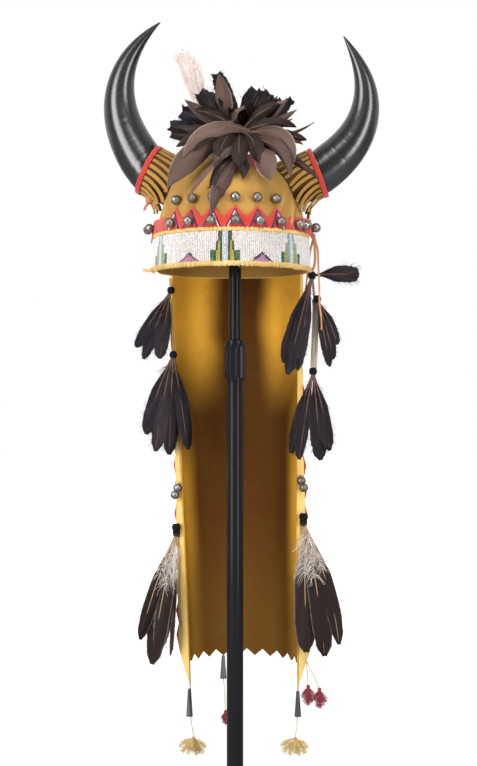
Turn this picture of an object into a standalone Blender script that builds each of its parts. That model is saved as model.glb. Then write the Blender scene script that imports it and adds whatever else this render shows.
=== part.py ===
"""Split horn headdress with a feather rosette, a beaded brow band and a long hide trailer, on its display stand.

The stand rests on z = 0 with its pole on the Z axis. The headdress faces -Y, and +X is to the right of a
viewer in front of it. All sizes are in metres. Azimuths run round the head from the front, positive to +X.
"""

import math

import bmesh
import bpy
from mathutils import Vector

# Clearances between neighbouring pieces
SEAT_GAP = 0.0003
SKIN_GAP = 0.0007
CLOTH_FACET = 0.0005

# Display stand
BASE_RADIUS = 0.140
BASE_HEIGHT = 0.018
BASE_EDGE = 0.004
BOSS_RADIUS = 0.022
BOSS_HEIGHT = 0.030
LOWER_TUBE_RADIUS = 0.0100
UPPER_TUBE_RADIUS = 0.0074
COLLAR_RADIUS = 0.0130
COLLAR_FOOT = 0.563
COLLAR_LENGTH = 0.048
COLLAR_RIBS = 10
PAD_RADIUS = 0.030
PAD_DOME = 0.012
PAD_RIM = 0.006
PAD_DROP = 0.0008

# Hide cap
CAP_X = -0.0035
RIM_HEIGHT = 0.694
CROWN_HALF_WIDTH = 0.0915
CROWN_HALF_LENGTH = 0.100
CROWN_HEIGHT = 0.140
CROWN_FULLNESS = 2.4
HIDE_WALL = 0.0020
CROWN_COLUMNS = 30
CROWN_ROWS = 7
FOLD_RAISE = 0.0045
TRIM_DEPTH = 0.0200

# Brow band and red cloth
BAND_ARC = 0.284
BAND_FOOT = 0.0030
BAND_TOP = 0.0372
BAND_WALL = 0.0026
BINDING_RADIUS = 0.0017
CLOTH_WALL = 0.0015
CLOTH_ARC = 0.300
CLOTH_VALLEY = 0.0530
CLOTH_PEAK = 0.0670
CLOTH_PLAIN = 0.0590
CLOTH_TAB = 0.0340
CLOTH_FLARE = 0.0060
FLARE_ARC = 0.115
TOOTH_PITCH = 0.0270
TOOTH_COUNT = 6
WRAP_STEP = 0.0120

# Hawk bells
BELL_RADIUS = 0.0058
BELL_COLUMNS = 10
UPPER_BELL_HEIGHT = 0.0750
LOWER_BELL_HEIGHT = 0.0485
BELL_PITCH = TOOTH_PITCH
LEFT_END_BELLS = (-0.131, -0.146)
RIGHT_END_BELLS = (0.100, 0.116, 0.144)

# Horns and their cuffs
HORN_Y = -0.008
HORN_LEAN = -0.022
HORN_WALL = 0.0045
HORN_ROOT = 0.040
HORN_STRAIGHT = 0.0040
HORN_SECTIONS = 11
HORN_STEPS = 6
HORN_TAPER = 1.5
HORN_POINT = 0.025
SPLIT_END = 0.48
TIP_START = 0.82
CUFF_WALL = 0.0018
CUFF_LENGTH = 0.044
CUFF_SIDES = 16
FRINGE_STRIPS = 12
FRINGE_LENGTH = 0.044
FRINGE_WIDTH = 0.0064
FRINGE_WALL = 0.0016
FRINGE_CLEAR = 0.0040
FRINGE_START = 0.0020
FRINGE_LIFT = 0.0030
CLOTH_EDGE = 0.0060
CLOTH_EDGE_WALL = 0.0018
CLOTH_EDGE_EASE = 0.0021

# Trailer
TRAILER_LAP = 0.0120
TRAILER_LENGTH = 0.4920
TRAILER_WALL = 0.0018
TRAILER_TEETH = 10
TRAILER_TOOTH = 0.0085
TRAILER_TAIL = 0.0330
TRAILER_TURN = 60.0
TRAILER_SWAY = 0.0094
FLANGE_WIDTH = 0.0180
FLANGE_RISE = 0.0160
FLANGE_TURN = 27.6
BORDER_WALL = 0.0014
BORDER_START = 0.30
BORDER_TEETH = 11
BORDER_POINT = 0.0050
BORDER_NOTCH = 0.0012
BORDER_GAP = 0.0010
TRAILER_TOP = RIM_HEIGHT + TRAILER_LAP
TRAILER_FOOT = TRAILER_TOP - TRAILER_LENGTH

# Feathers, ties, cones and fluffs
VANE_WALL = 0.0012
QUILL_RADIUS = 0.0007
ROSETTE_REACH = 0.100
ROSETTE_VANE = 0.031
ROSETTE_X = 0.0100
FRONT_KNOT = 0.0140
FRONT_SEAT_Y = -0.046
CROWN_KNOT = 0.0165
CROWN_SEAT_Y = -0.014
PLUME_REACH = 0.132
PLUME_VANE = 0.024
PLUME_KNOT = 0.006
PLUME_X = -0.0270
PLUME_SEAT_Y = 0.0110
SIDE_KNOT = 0.0050
SIDE_REACH = 0.092
SIDE_VANE = 0.022
DROP_REACH = 0.124
DROP_VANE = 0.025
TAIL_REACH = 0.158
TAIL_VANE = 0.030
CONE_RADIUS = 0.0042
CONE_TIP_RADIUS = 0.0020
LEFT_CONE_LENGTH = 0.0340
RIGHT_CONE_LENGTH = 0.0310
MIDDLE_CONE_LENGTH = 0.0290
FLUFF_REACH = 0.023
RED_FLUFF_REACH = 0.015
FLUFF_VANE = 0.009
FLUFF_KNOT = 0.0030
STRING_RADIUS = 0.0009
TASSEL_DROP = 0.0300
EDGE_FLUFF_GAP = 0.0026
TEMPLE_DROP = 0.1200
THONG_WIDTH = 0.0030
THONG_WALL = 0.0014
THONG_BOW = 0.0027
SLAT_WIDTH = 0.0080
SLAT_BOW = 0.0038
FEATHER_CLEAR = 0.0020
EDGE_BELL_RADIUS = 0.0056

# Folds of the crown: azimuth and half-spread in degrees, height and half-rise as shares of the crown's
# height, and raise as a share of FOLD_RAISE.
CROWN_FOLDS = (
    # azimuth, spread, height, rise, raise
    (60, 13, 0.68, 0.26, 1.00),
    (-60, 13, 0.68, 0.26, 0.85),
    (150, 12, 0.45, 0.40, 0.60),
    (-145, 12, 0.45, 0.40, 0.60),
)

# Horns. Each stands so far along its own axis from its seat, which is a share of the crown's height above the
# rim, and leaves its cuff along that axis at its pitch. Past the cuff its curve has its own length, starts at
# the angle leave above the level, and turns by turn. It bends as if it were ease times as long, so that a horn
# whose ease is over 1 still bends at its tip. Angles are in degrees.
LEFT_HORN = {
    "climb": 0.753,
    "stand": 0.0345,
    "width": 0.0540,
    "pitch": 27.0,
    "length": 0.196,
    "leave": 57.0,
    "turn": 93.0,
    "ease": 1.15,
}
RIGHT_HORN = {
    "climb": 0.7305,
    "stand": 0.0355,
    "width": 0.0520,
    "pitch": 21.0,
    "length": 0.180,
    "leave": 38.0,
    "turn": 84.0,
    "ease": 1.00,
}

# Trailer sections: down as a share of its length, seat as a share of the cap's own curve, half-width as a
# share of the crown's half-width, back and fold (the y of the back panel and of the front fold) as shares of
# the crown's half-length, flange as a share of FLANGE_WIDTH, sway as a share of TRAILER_SWAY.
TRAILER_SECTIONS = (
    # down, seat, half_width, back, fold, flange, sway
    (0.00, 1.0, 0.866, 1.000, 0.56, 0.20, -0.21),
    (0.06, 0.8, 0.863, 1.000, 0.56, 0.22, -0.21),
    (0.24, 0.0, 0.832, 0.985, 0.51, 0.32, 0.00),
    (0.48, 0.0, 0.790, 0.965, 0.48, 0.48, 0.32),
    (0.74, 0.0, 0.750, 0.960, 0.46, 0.75, 0.64),
    (1.00, 0.0, 0.724, 0.970, 0.46, 1.00, 1.00),
)

# What hangs on the trailer's edges: side, past as a share of the flange from its fold, and drop below the
# trailer's top as a share of the trailer's length.
EDGE_PLACES = {
    # name: side, past, drop
    "side_upper_left": (-1, 0.20, 0.063),
    "side_lower_left": (-1, 0.22, 0.2256),
    "tail_feathers_left": (-1, 0.95, 0.6738),
    "tail_feathers_right": (1, 0.84, 0.6443),
    "edge_bells_left": (-1, 0.53, 0.5610),
    "edge_bells_right": (1, 0.65, 0.5407),
}

# The ties that hang from the right end of the brow band, from the rim's side point, as shares of TEMPLE_DROP.
TEMPLE_PLACES = {
    # name: out, back, up
    "side_upper_right": (0.0375, -0.0333, -0.0500),
    "side_outer_right": (0.0875, -0.0083, -0.2833),
    "side_lower_right": (0.0458, 0.0250, -1.0000),
}

# How the right thong and the flat quill bow between their ends: along as a share of the way, out and back as
# shares of THONG_BOW or SLAT_BOW.
THONG_COURSE = (
    # along, out, back
    (0.577, 1.00, -0.30),
    (0.848, 0.93, -0.22),
)
SLAT_COURSE = (
    # along, out, back
    (0.147, 0.36, 0.62),
    (0.313, 0.97, 0.71),
    (0.350, 0.99, 0.70),
    (0.947, 0.28, 0.00),
)

# The left thong's ends from the middle of the tie that it holds, as shares of SIDE_KNOT, and the fluffs'
# heads from where they hang, as shares of TASSEL_DROP.
LEFT_THONG_COURSE = ((-0.30, 0.20, 3.00), (-0.04, 0.00, 1.04))
LEFT_FLUFF_DROP = (0.173, -0.067, -0.880)
RIGHT_FLUFF_DROP = (-0.100, -0.033, -0.900)
MIDDLE_FLUFF_DROP = (0.100, 0.020, -1.410)
EDGE_FLUFF_DROPS = ((0.067, 0.0, -1.000), (0.533, 0.0, -1.100))

# Feather tables: azimuth, elevation, droop and roll in degrees, length and width as shares of the
# cluster's reach and vane.
ROSETTE_FRONT = (
    # azimuth, elevation, length, width, droop, roll
    (-70, 10, 1.18, 1.00, 100, -62),
    (-60, 34, 0.84, 0.85, 110, -50),
    (-50, -12, 1.04, 0.42, 74, -50),
    (-22, -18, 1.22, 0.66, 68, -15),
    (-10, -5, 0.62, 0.70, 80, -30),
    (32, 0, 0.80, 0.95, 84, 34),
    (60, 5, 1.00, 0.85, 92, 60),
    (66, 26, 0.86, 0.90, 100, 56),
    (72, -16, 1.10, 0.30, 20, 78),
    (15, 78, 0.34, 0.40, 10, 10),
)
ROSETTE_CROWN = (
    # azimuth, elevation, length, width, droop, roll
    (-95, 71, 0.86, 0.70, 4, 90),
    (-95, 50, 0.78, 1.00, 6, 90),
    (-95, 30, 0.82, 0.85, 6, 90),
    (-99, 15, 0.92, 0.80, 4, 90),
    (-92, 4, 0.86, 0.60, -6, 80),
    (98, 74, 0.62, 0.90, 0, 84),
    (93, 59, 0.64, 0.90, 0, 96),
    (101, 46, 0.68, 0.85, 0, 86),
    (92, 37, 0.76, 0.60, -4, 80),
    (97, 25, 0.80, 0.36, -8, 84),
    (94, 4, 0.92, 0.30, -24, 80),
    (99, 7, 0.82, 0.45, 22, 84),
    (152, 54, 0.74, 1.10, 20, 20),
    (-166, 47, 0.74, 1.10, 20, -10),
    (138, 20, 0.76, 1.10, 30, 20),
    (-161, 14, 0.76, 1.20, 26, -10),
)
ROSETTE_PLUME = (
    # azimuth, elevation, length, width, droop, roll
    (-100, 73, 1.00, 0.95, 2, 86),
    (-98, 77, 0.93, 0.80, 0, 80),
)
SIDE_UPPER_LEFT = (
    # azimuth, elevation, length, width, droop, roll
    (-80, -56, 0.90, 0.85, 4, -80),
    (-72, -66, 1.00, 0.85, 4, -72),
    (-50, -77, 0.94, 0.90, 4, -50),
)
SIDE_LOWER_LEFT = (
    # azimuth, elevation, length, width, droop, roll
    (-76, -68, 0.84, 0.86, 10, -76),
    (-64, -78, 0.98, 0.90, 6, -64),
    (-20, -84, 1.00, 0.90, 2, -20),
    (60, -77, 0.96, 0.80, 4, 60),
)
SIDE_UPPER_RIGHT = (
    # azimuth, elevation, length, width, droop, roll
    (-86, -74, 0.88, 0.86, 4, 88),
    (-80, -80, 0.96, 0.86, 2, 82),
    (-60, -87, 0.94, 0.80, 0, -60),
    (90, 2, 0.44, 0.66, 10, 90),
)
SIDE_OUTER_RIGHT = (
    # azimuth, elevation, length, width, droop, roll
    (90, -56, 0.60, 0.80, 20, 90),
    (86, -70, 0.72, 0.90, 10, 84),
    (70, -84, 0.70, 0.80, 0, 70),
)
SIDE_LOWER_RIGHT = (
    # azimuth, elevation, length, width, droop, roll
    (-90, -72, 0.82, 0.72, 6, 90),
    (-84, -80, 0.86, 0.72, 2, 84),
    (86, -84, 0.86, 0.90, 2, 84),
    (92, -74, 0.78, 0.80, 8, 92),
)
TAIL_LEFT = (
    # azimuth, elevation, length, width, droop, roll
    (-74, -66, 0.88, 0.66, 10, -74),
    (-66, -76, 1.04, 0.95, 6, -66),
    (-40, -83, 0.94, 0.85, 0, -40),
    (20, -86, 0.98, 0.92, 0, 20),
)
TAIL_RIGHT = (
    # azimuth, elevation, length, width, droop, roll
    (20, -86, 1.00, 0.96, 0, 20),
    (66, -75, 1.04, 0.90, 10, 66),
    (76, -63, 0.98, 0.62, 20, 76),
)
FLUFF_LOCKS = (
    # azimuth, elevation, length, width, droop, roll
    (-90, -28, 1.00, 1.00, 22, 80),
    (-70, -62, 1.10, 1.00, 10, 90),
    (90, -34, 0.95, 1.00, 26, 100),
    (75, -66, 1.05, 1.00, 10, 90),
)

# Shares of a vane's full width along its length
VANE_SHAPE = ((0.0, 0.10), (0.17, 0.20), (0.42, 0.92), (0.75, 1.00), (1.0, 0.24))
PLUME_SHAPE = ((0.0, 0.10), (0.42, 0.14), (0.67, 1.00), (0.92, 0.90), (1.0, 0.30))
LOCK_SHAPE = ((0.0, 0.30), (0.42, 1.00), (1.0, 0.40))

MATERIALS = {
    # name: red, green, blue, roughness, metallic
    "black_paint": (0.010, 0.010, 0.012, 0.35, 0.0),
    "yellow_hide": (0.620, 0.400, 0.060, 0.85, 0.0),
    "black_horn": (0.012, 0.011, 0.011, 0.22, 0.0),
    "red_cloth": (0.600, 0.040, 0.025, 0.95, 0.0),
    "white_beads": (0.820, 0.800, 0.760, 0.30, 0.0),
    "pale_hide": (0.720, 0.520, 0.220, 0.90, 0.0),
    "bell_metal": (0.330, 0.300, 0.250, 0.35, 1.0),
    "brown_feather": (0.080, 0.050, 0.038, 0.70, 0.0),
    "black_feather": (0.016, 0.013, 0.014, 0.60, 0.0),
    "plume_down": (0.700, 0.600, 0.520, 0.95, 0.0),
    "tail_feather": (0.200, 0.140, 0.110, 0.75, 0.0),
    "tin": (0.110, 0.110, 0.120, 0.45, 1.0),
    "yellow_fluff": (0.640, 0.470, 0.140, 0.95, 0.0),
    "red_fluff": (0.380, 0.030, 0.050, 0.95, 0.0),
    "quill": (0.480, 0.400, 0.320, 0.50, 0.0),
}


def clear_scene():
    for obj in list(bpy.data.objects):
        bpy.data.objects.remove(obj, do_unlink=True)


def new_collection(name):
    made = bpy.data.collections.new(name)
    bpy.context.scene.collection.children.link(made)
    return made


def material(name):
    """The named material, made once with its colour, roughness and metallic value."""
    found = bpy.data.materials.get(name)
    if found:
        return found
    red, green, blue, roughness, metallic = MATERIALS[name]
    found = bpy.data.materials.new(name)
    found.use_nodes = True
    shader = found.node_tree.nodes["Principled BSDF"]
    shader.inputs["Base Color"].default_value = (red, green, blue, 1.0)
    shader.inputs["Roughness"].default_value = roughness
    shader.inputs["Metallic"].default_value = metallic
    return found


def add_object(name, data, finish):
    """A new object in the headdress collection, with its material."""
    data.materials.append(material(finish))
    made = bpy.data.objects.new(name, data)
    HEADDRESS.objects.link(made)
    return made


def as_cutter(obj, home=None):
    """Moves an object to the cutters, where it shapes others and is no part itself."""
    HEADDRESS.objects.unlink(obj)
    (home or CUTTERS).objects.link(obj)
    obj.hide_render = True
    obj.display_type = "WIRE"
    return obj


def mesh_of(name, build, smooth=False):
    mesh = bpy.data.meshes.new(name)
    build.to_mesh(mesh)
    build.free()
    if smooth:
        mesh.shade_smooth()
    return mesh


def band_faces(build, low, high, closed):
    """Quads between two rows of vertices."""
    count = len(low)
    for i in range(count if closed else count - 1):
        j = (i + 1) % count
        build.faces.new((low[i], low[j], high[j], high[i]))


def loft(name, rings, finish, smooth=False):
    """A capped solid through rings that have equally many points."""
    build = bmesh.new()
    loops = [[build.verts.new(point) for point in ring] for ring in rings]
    for low, high in zip(loops, loops[1:]):
        band_faces(build, low, high, closed=True)
    build.faces.new(loops[0][::-1])
    build.faces.new(loops[-1])
    bmesh.ops.recalc_face_normals(build, faces=build.faces)
    return add_object(name, mesh_of(name, build, smooth), finish)


def thicken(obj, wall, side):
    """Gives an open surface a wall, grown along its normals if side is 1 and against them if it is -1."""
    grown = obj.modifiers.new("wall", "SOLIDIFY")
    grown.thickness = wall
    grown.offset = side
    grown.use_even_offset = True
    return obj


def sheet(name, rows, wall, finish, side=1.0):
    """A wall of even thickness on an open grid of points."""
    build = bmesh.new()
    grid = [[build.verts.new(point) for point in row] for row in rows]
    for low, high in zip(grid, grid[1:]):
        band_faces(build, low, high, closed=False)
    return thicken(add_object(name, mesh_of(name, build), finish), wall, side)


def tube(name, points, radius, finish, resolution=0):
    """A round strand along the points, as a curve with a bevel and filled caps."""
    data = bpy.data.curves.new(name, "CURVE")
    data.dimensions = "3D"
    data.bevel_depth = radius
    data.bevel_resolution = resolution
    data.use_fill_caps = True
    spline = data.splines.new("POLY")
    spline.points.add(len(points) - 1)
    for knot, point in zip(spline.points, points):
        knot.co = (*point, 1.0)
    return add_object(name, data, finish)


def strand(name, start, end, radius, finish):
    """A straight string with six sides."""
    along = (end - start).normalized()
    across = along.cross(Vector((0.0, 1.0, 0.0))).normalized()
    turned_across = along.cross(across)
    turns = [math.radians(60 * k) for k in range(6)]
    spokes = [radius * (math.cos(t) * across + math.sin(t) * turned_across) for t in turns]
    return loft(name, [[end_point + spoke for spoke in spokes] for end_point in (start, end)], finish)


def turned(name, profile, finish, steps=24):
    """A solid of revolution about Z: (radius, height) pairs from the top down, both ends on the axis."""
    mesh = bpy.data.meshes.new(name)
    points = [(radius, 0.0, height) for radius, height in profile]
    mesh.from_pydata(points, [(i, i + 1) for i in range(len(points) - 1)], [])
    made = add_object(name, mesh, finish)
    spin = made.modifiers.new("turn", "SCREW")
    spin.steps = steps
    spin.render_steps = steps
    spin.use_merge_vertices = True
    spin.merge_threshold = 0.00005
    spin.use_smooth_shade = True
    return made


def ball(name, centre, radius, finish, columns=BELL_COLUMNS, rows=4, stretch=1.0):
    """A round bead, stretched along Z if asked."""
    build = bmesh.new()
    bmesh.ops.create_uvsphere(build, u_segments=columns, v_segments=rows, radius=radius)
    bmesh.ops.scale(build, vec=(1.0, 1.0, stretch), verts=build.verts)
    made = add_object(name, mesh_of(name, build, smooth=True), finish)
    made.location = centre
    return made


def fuse(body, others):
    """Joins the other solids to the body with one Boolean union."""
    joined = bpy.data.collections.new(body.name + "_joined")
    CUTTERS.children.link(joined)
    for other in others:
        as_cutter(other, joined)
    union = body.modifiers.new("join", "BOOLEAN")
    union.operation = "UNION"
    union.operand_type = "COLLECTION"
    union.collection = joined
    union.solver = "EXACT"
    return body


def cut(body, cutter):
    """Takes the cutter's space out of the body."""
    trim = body.modifiers.new("trim", "BOOLEAN")
    trim.operation = "DIFFERENCE"
    trim.object = cutter
    trim.solver = "EXACT"
    return body


def crown_plan(height):
    """The crown's plan size at a height above the rim, as a share of its size at the rim."""
    share = min(max(height / CROWN_HEIGHT, 0.0), 1.0)
    return (1.0 - share**CROWN_FULLNESS) ** (1.0 / CROWN_FULLNESS)


def fold_raise(azimuth, height):
    """How far the crown's folds stand out at a place."""
    raised = 0.0
    for centre, spread, middle, rise, share in CROWN_FOLDS:
        across = abs((azimuth - centre + 180.0) % 360.0 - 180.0) / spread
        along = abs(height / CROWN_HEIGHT - middle) / rise
        if across < 1.0 and along < 1.0:
            ridge = math.cos(across * math.pi / 2) ** 2 * math.cos(along * math.pi / 2) ** 2
            raised += FOLD_RAISE * share * ridge
    return raised


def crown_normal(azimuth, height):
    """The outward direction of the smooth crown."""
    turn = math.radians(azimuth)
    share = max(height, 0.0) / CROWN_HEIGHT
    steep = max(crown_plan(height), 1e-4) ** (CROWN_FULLNESS - 1.0)
    return Vector(
        (
            steep * math.sin(turn) / CROWN_HALF_WIDTH,
            -steep * math.cos(turn) / CROWN_HALF_LENGTH,
            share ** (CROWN_FULLNESS - 1.0) / CROWN_HEIGHT,
        )
    ).normalized()


def crown_point(azimuth, height, out=0.0):
    """A point on the crown's outer surface, or that far out from it."""
    turn = math.radians(azimuth)
    plan = crown_plan(height)
    place = Vector(
        (
            CAP_X + CROWN_HALF_WIDTH * plan * math.sin(turn),
            -CROWN_HALF_LENGTH * plan * math.cos(turn),
            RIM_HEIGHT + height,
        )
    )
    return place + (fold_raise(azimuth, height) + out) * crown_normal(azimuth, height)


def crown_level(share):
    """The height above the rim at a share of the climb from the rim to the top."""
    return CROWN_HEIGHT * math.sin(math.pi / 2 * share) ** (2.0 / CROWN_FULLNESS)


def crown_facet(azimuth, height, out):
    """A place that far out from the crown's flat facets, as its columns and rows cut them."""
    turn = 360.0 / CROWN_COLUMNS
    column = math.floor(azimuth / turn)
    across = azimuth / turn - column
    levels = [crown_level(i / CROWN_ROWS) for i in range(CROWN_ROWS)]
    row = max(i for i in range(CROWN_ROWS - 1) if levels[i] <= height or i == 0)
    along = (height - levels[row]) / (levels[row + 1] - levels[row])
    low, high = (
        crown_point(column * turn, level).lerp(crown_point((column + 1) * turn, level), across)
        for level in (levels[row], levels[row + 1])
    )
    return low.lerp(high, along) + crown_normal(azimuth, height) * out


def wrap_azimuth(arc):
    """The azimuth reached by walking an arc's length round the rim from the front."""
    step = 0.25
    azimuth = 0.0
    walked = 0.0
    while walked < abs(arc):
        turn = math.radians(azimuth)
        across = CROWN_HALF_WIDTH * math.cos(turn)
        along = CROWN_HALF_LENGTH * math.sin(turn)
        walked += math.radians(step) * math.hypot(across, along)
        azimuth += step
    return math.copysign(azimuth, arc)


def wrap_arcs(length, step):
    """Evenly spaced arcs over a length that is centred on the front."""
    count = max(2, round(length / step))
    return [length * (i / count - 0.5) for i in range(count + 1)]


def push_clear(place, clearance):
    """Moves a point level with the crown out of it, to the clearance."""
    azimuth = math.degrees(
        math.atan2((place.x - CAP_X) / CROWN_HALF_WIDTH, -place.y / CROWN_HALF_LENGTH)
    )
    height = min(max(place.z - RIM_HEIGHT, 0.0), CROWN_HEIGHT * 0.97)
    surface = crown_point(azimuth, height)
    normal = crown_normal(azimuth, height)
    depth = (place - surface).dot(normal)
    if depth >= clearance:
        return place
    return place + normal * (clearance - depth)


def make_stand():
    """Round foot, two tubes that telescope, their ribbed collar, and the pad that carries the cap."""
    turned(
        "stand_base",
        (
            (0.0, BOSS_HEIGHT),
            (BOSS_RADIUS, BOSS_HEIGHT),
            (BOSS_RADIUS * 1.25, BASE_HEIGHT + BASE_EDGE),
            (BASE_RADIUS - 3 * BASE_EDGE, BASE_HEIGHT),
            (BASE_RADIUS, BASE_HEIGHT - BASE_EDGE),
            (BASE_RADIUS, 0.0),
            (0.0, 0.0),
        ),
        "black_paint",
        steps=24,
    )
    stand_rod("stand_lower_tube", LOWER_TUBE_RADIUS, BOSS_HEIGHT, COLLAR_FOOT)
    make_collar()
    stand_rod("stand_upper_tube", UPPER_TUBE_RADIUS, COLLAR_FOOT + COLLAR_LENGTH, pad_foot())
    make_pad()


def pad_foot():
    """The height of the pad's underside."""
    return RIM_HEIGHT + CROWN_HEIGHT - HIDE_WALL - PAD_DROP - PAD_DOME - PAD_RIM


def stand_rod(name, radius, foot, top):
    """One of the pole's tubes, with a seat gap at both ends."""
    low = foot + SEAT_GAP
    high = top - SEAT_GAP
    turned(
        name,
        ((0.0, high), (radius, high), (radius, low), (0.0, low)),
        "black_paint",
        steps=16,
    )


def make_collar():
    """The clamping collar, with grip ribs round its lower two thirds."""
    high = COLLAR_FOOT + COLLAR_LENGTH
    shoulder = high - COLLAR_LENGTH * 0.30
    corners = COLLAR_RIBS * 2
    rings = []
    for height, scale, depth in (
        (COLLAR_FOOT, 1.0, 0.10),
        (shoulder, 1.0, 0.10),
        (shoulder + COLLAR_LENGTH * 0.06, 0.92, 0.0),
        (high, 0.88, 0.0),
    ):
        ring = []
        for i in range(corners):
            turn = 2 * math.pi * i / corners
            radius = COLLAR_RADIUS * scale * (1.0 - depth * (i % 2))
            ring.append(Vector((radius * math.cos(turn), radius * math.sin(turn), height)))
        rings.append(ring)
    loft("stand_collar", rings, "black_paint")


def make_pad():
    """The domed pad on the pole's end, under the inside of the crown."""
    foot = pad_foot()
    rounds = 4
    dome = [
        (
            PAD_RADIUS * math.sin(math.pi / 2 * i / rounds),
            foot + PAD_RIM + PAD_DOME * math.cos(math.pi / 2 * i / rounds),
        )
        for i in range(rounds + 1)
    ]
    turned("stand_pad", (*dome, (PAD_RADIUS, foot), (0.0, foot)), "black_paint", steps=18)


def crown_build(out):
    """The crown's outer surface as an open dome, grown out by a length; the rim's vertices come with it."""
    build = bmesh.new()
    grid = []
    for i in range(CROWN_ROWS):
        height = crown_level(i / CROWN_ROWS)
        grid.append(
            [
                build.verts.new(crown_point(360.0 * k / CROWN_COLUMNS, height, out))
                for k in range(CROWN_COLUMNS)
            ]
        )
    for low, high in zip(grid, grid[1:]):
        band_faces(build, low, high, closed=True)
    top = build.verts.new((CAP_X, 0.0, RIM_HEIGHT + CROWN_HEIGHT + out))
    last = grid[-1]
    for k in range(CROWN_COLUMNS):
        build.faces.new((last[k], last[(k + 1) % CROWN_COLUMNS], top))
    return build, grid[0]


def make_crown():
    """The hide cap: a dome grown inwards from its outer form, with its folds."""
    build, _ = crown_build(0.0)
    cap = add_object("hide_cap", mesh_of("hide_cap", build, smooth=True), "yellow_hide")
    thicken(cap, HIDE_WALL, -1.0)


def crown_cutter(name, clearance):
    """A closed dome a little larger than the crown, which trims what seats on it."""
    build, rim = crown_build(clearance)
    deep = [build.verts.new((v.co.x, v.co.y, v.co.z - TRIM_DEPTH)) for v in rim]
    band_faces(build, deep, rim, closed=True)
    build.faces.new(deep[::-1])
    bmesh.ops.recalc_face_normals(build, faces=build.faces)
    return as_cutter(add_object(name, mesh_of(name, build), "yellow_hide"))


def wrap_strip(name, arcs, lows, highs, wall, finish, outs=None):
    """A strip on the crown between a low and a high height at each arc, and so far out from it."""
    outs = outs or [SKIN_GAP] * len(arcs)
    rows = [
        [
            crown_point(wrap_azimuth(arc), height, out)
            for arc, height, out in zip(arcs, heights, outs)
        ]
        for heights in (lows, highs)
    ]
    return sheet(name, rows, wall, finish)


def cloth_out(arc):
    """How far the red cloth stands off the hide: its ends flare away from the cap."""
    share = max(abs(arc) - FLARE_ARC, 0.0) / (CLOTH_ARC / 2 - FLARE_ARC)
    return SKIN_GAP + CLOTH_FLARE * share


def make_brow_band():
    """The beaded panel over the forehead, with a rolled hide binding along each long edge."""
    arcs = wrap_arcs(BAND_ARC, WRAP_STEP)
    feet = [BAND_FOOT] * len(arcs)
    tops = [BAND_TOP] * len(arcs)
    wrap_strip("brow_band", arcs, feet, tops, BAND_WALL, "white_beads")
    out = SKIN_GAP + BINDING_RADIUS
    upper = BAND_TOP + SEAT_GAP + BINDING_RADIUS
    lower = BAND_FOOT - SEAT_GAP - BINDING_RADIUS
    for name, height in (("brow_binding_top", upper), ("brow_binding_foot", lower)):
        course = [crown_point(wrap_azimuth(arc), height, out) for arc in arcs]
        tube(name, course, BINDING_RADIUS, "pale_hide")


def make_cloth_strip():
    """The red cloth over the brow, pinked to points on the front, with a tab at each end."""
    foot = BAND_TOP + 2 * SEAT_GAP + 2 * BINDING_RADIUS
    half = TOOTH_PITCH / 2
    arcs = [half * k for k in range(-TOOTH_COUNT, TOOTH_COUNT + 1)]
    highs = [CLOTH_PEAK if k % 2 else CLOTH_VALLEY for k in range(-TOOTH_COUNT, TOOTH_COUNT + 1)]
    end = CLOTH_ARC / 2
    plain = [arcs[-1] + WRAP_STEP * k for k in range(1, 6)]
    plain = [arc for arc in plain if arc < end - WRAP_STEP / 2]
    sides = [*plain, end]
    arcs = [-arc for arc in reversed(sides)] + arcs + sides
    highs = [CLOTH_PLAIN] * len(sides) + highs + [CLOTH_PLAIN] * len(sides)
    lows = [foot] * len(arcs)
    lows[0] = lows[-1] = CLOTH_TAB
    outs = [cloth_out(arc) for arc in arcs]
    wrap_strip("red_cloth_points", arcs, lows, highs, CLOTH_WALL, "red_cloth", outs)


def make_bells():
    """Hawk bells: one row on the hide over the points, and one on the cloth between their legs."""
    on_hide = SEAT_GAP + BELL_RADIUS * math.cos(math.pi / BELL_COLUMNS)
    middle = [BELL_PITCH * (k + 0.5) for k in range(-3, 3)]
    for number, arc in enumerate(middle, 1):
        place = crown_facet(wrap_azimuth(arc), UPPER_BELL_HEIGHT, on_hide)
        ball(f"bell_upper_{number}", place, BELL_RADIUS, "bell_metal")
    lower = sorted([*LEFT_END_BELLS, *middle, *RIGHT_END_BELLS])
    for number, arc in enumerate(lower, 1):
        out = cloth_out(arc) + CLOTH_WALL + SEAT_GAP + BELL_RADIUS - CLOTH_FACET
        place = crown_point(wrap_azimuth(arc), LOWER_BELL_HEIGHT, out)
        ball(f"bell_lower_{number}", place, BELL_RADIUS, "bell_metal")


def smooth_rise(share):
    """0 at 0 and 1 at 1, level at both: 3 s^2 - 2 s^3."""
    share = min(max(share, 0.0), 1.0)
    return share * share * (3.0 - 2.0 * share)


def horn_course(horn, side):
    """(centre, width, hollow) of each section, from the base to the tip. Past the straight stretch the curve
    heads at leave + turn times the smooth rise of its share over ease. The width tapers by 1 - share^taper,
    and the groove behind ends between SPLIT_END and TIP_START, which are shares of the length."""
    course = [(horn["base"], horn["width"], 1.0)]
    place = horn["base"] + horn_axis(horn, side) * HORN_STRAIGHT
    steps = HORN_SECTIONS * HORN_STEPS
    for step in range(steps + 1):
        share = step / steps
        if step % HORN_STEPS == 0:
            girth = HORN_POINT + (1.0 - HORN_POINT) * (1.0 - share**HORN_TAPER)
            hollow = 1.0 - smooth_rise((share - SPLIT_END) / (TIP_START - SPLIT_END))
            lean = Vector((0.0, HORN_LEAN * share * share, 0.0))
            course.append((place + lean, girth * horn["width"], hollow))
        middle = (share + 0.5 / steps) / horn["ease"]
        heading = math.radians(horn["leave"] + horn["turn"] * smooth_rise(middle))
        along = Vector((side * math.cos(heading), 0.0, math.sin(heading)))
        place = place + along * (horn["length"] / steps)
    return course


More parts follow.
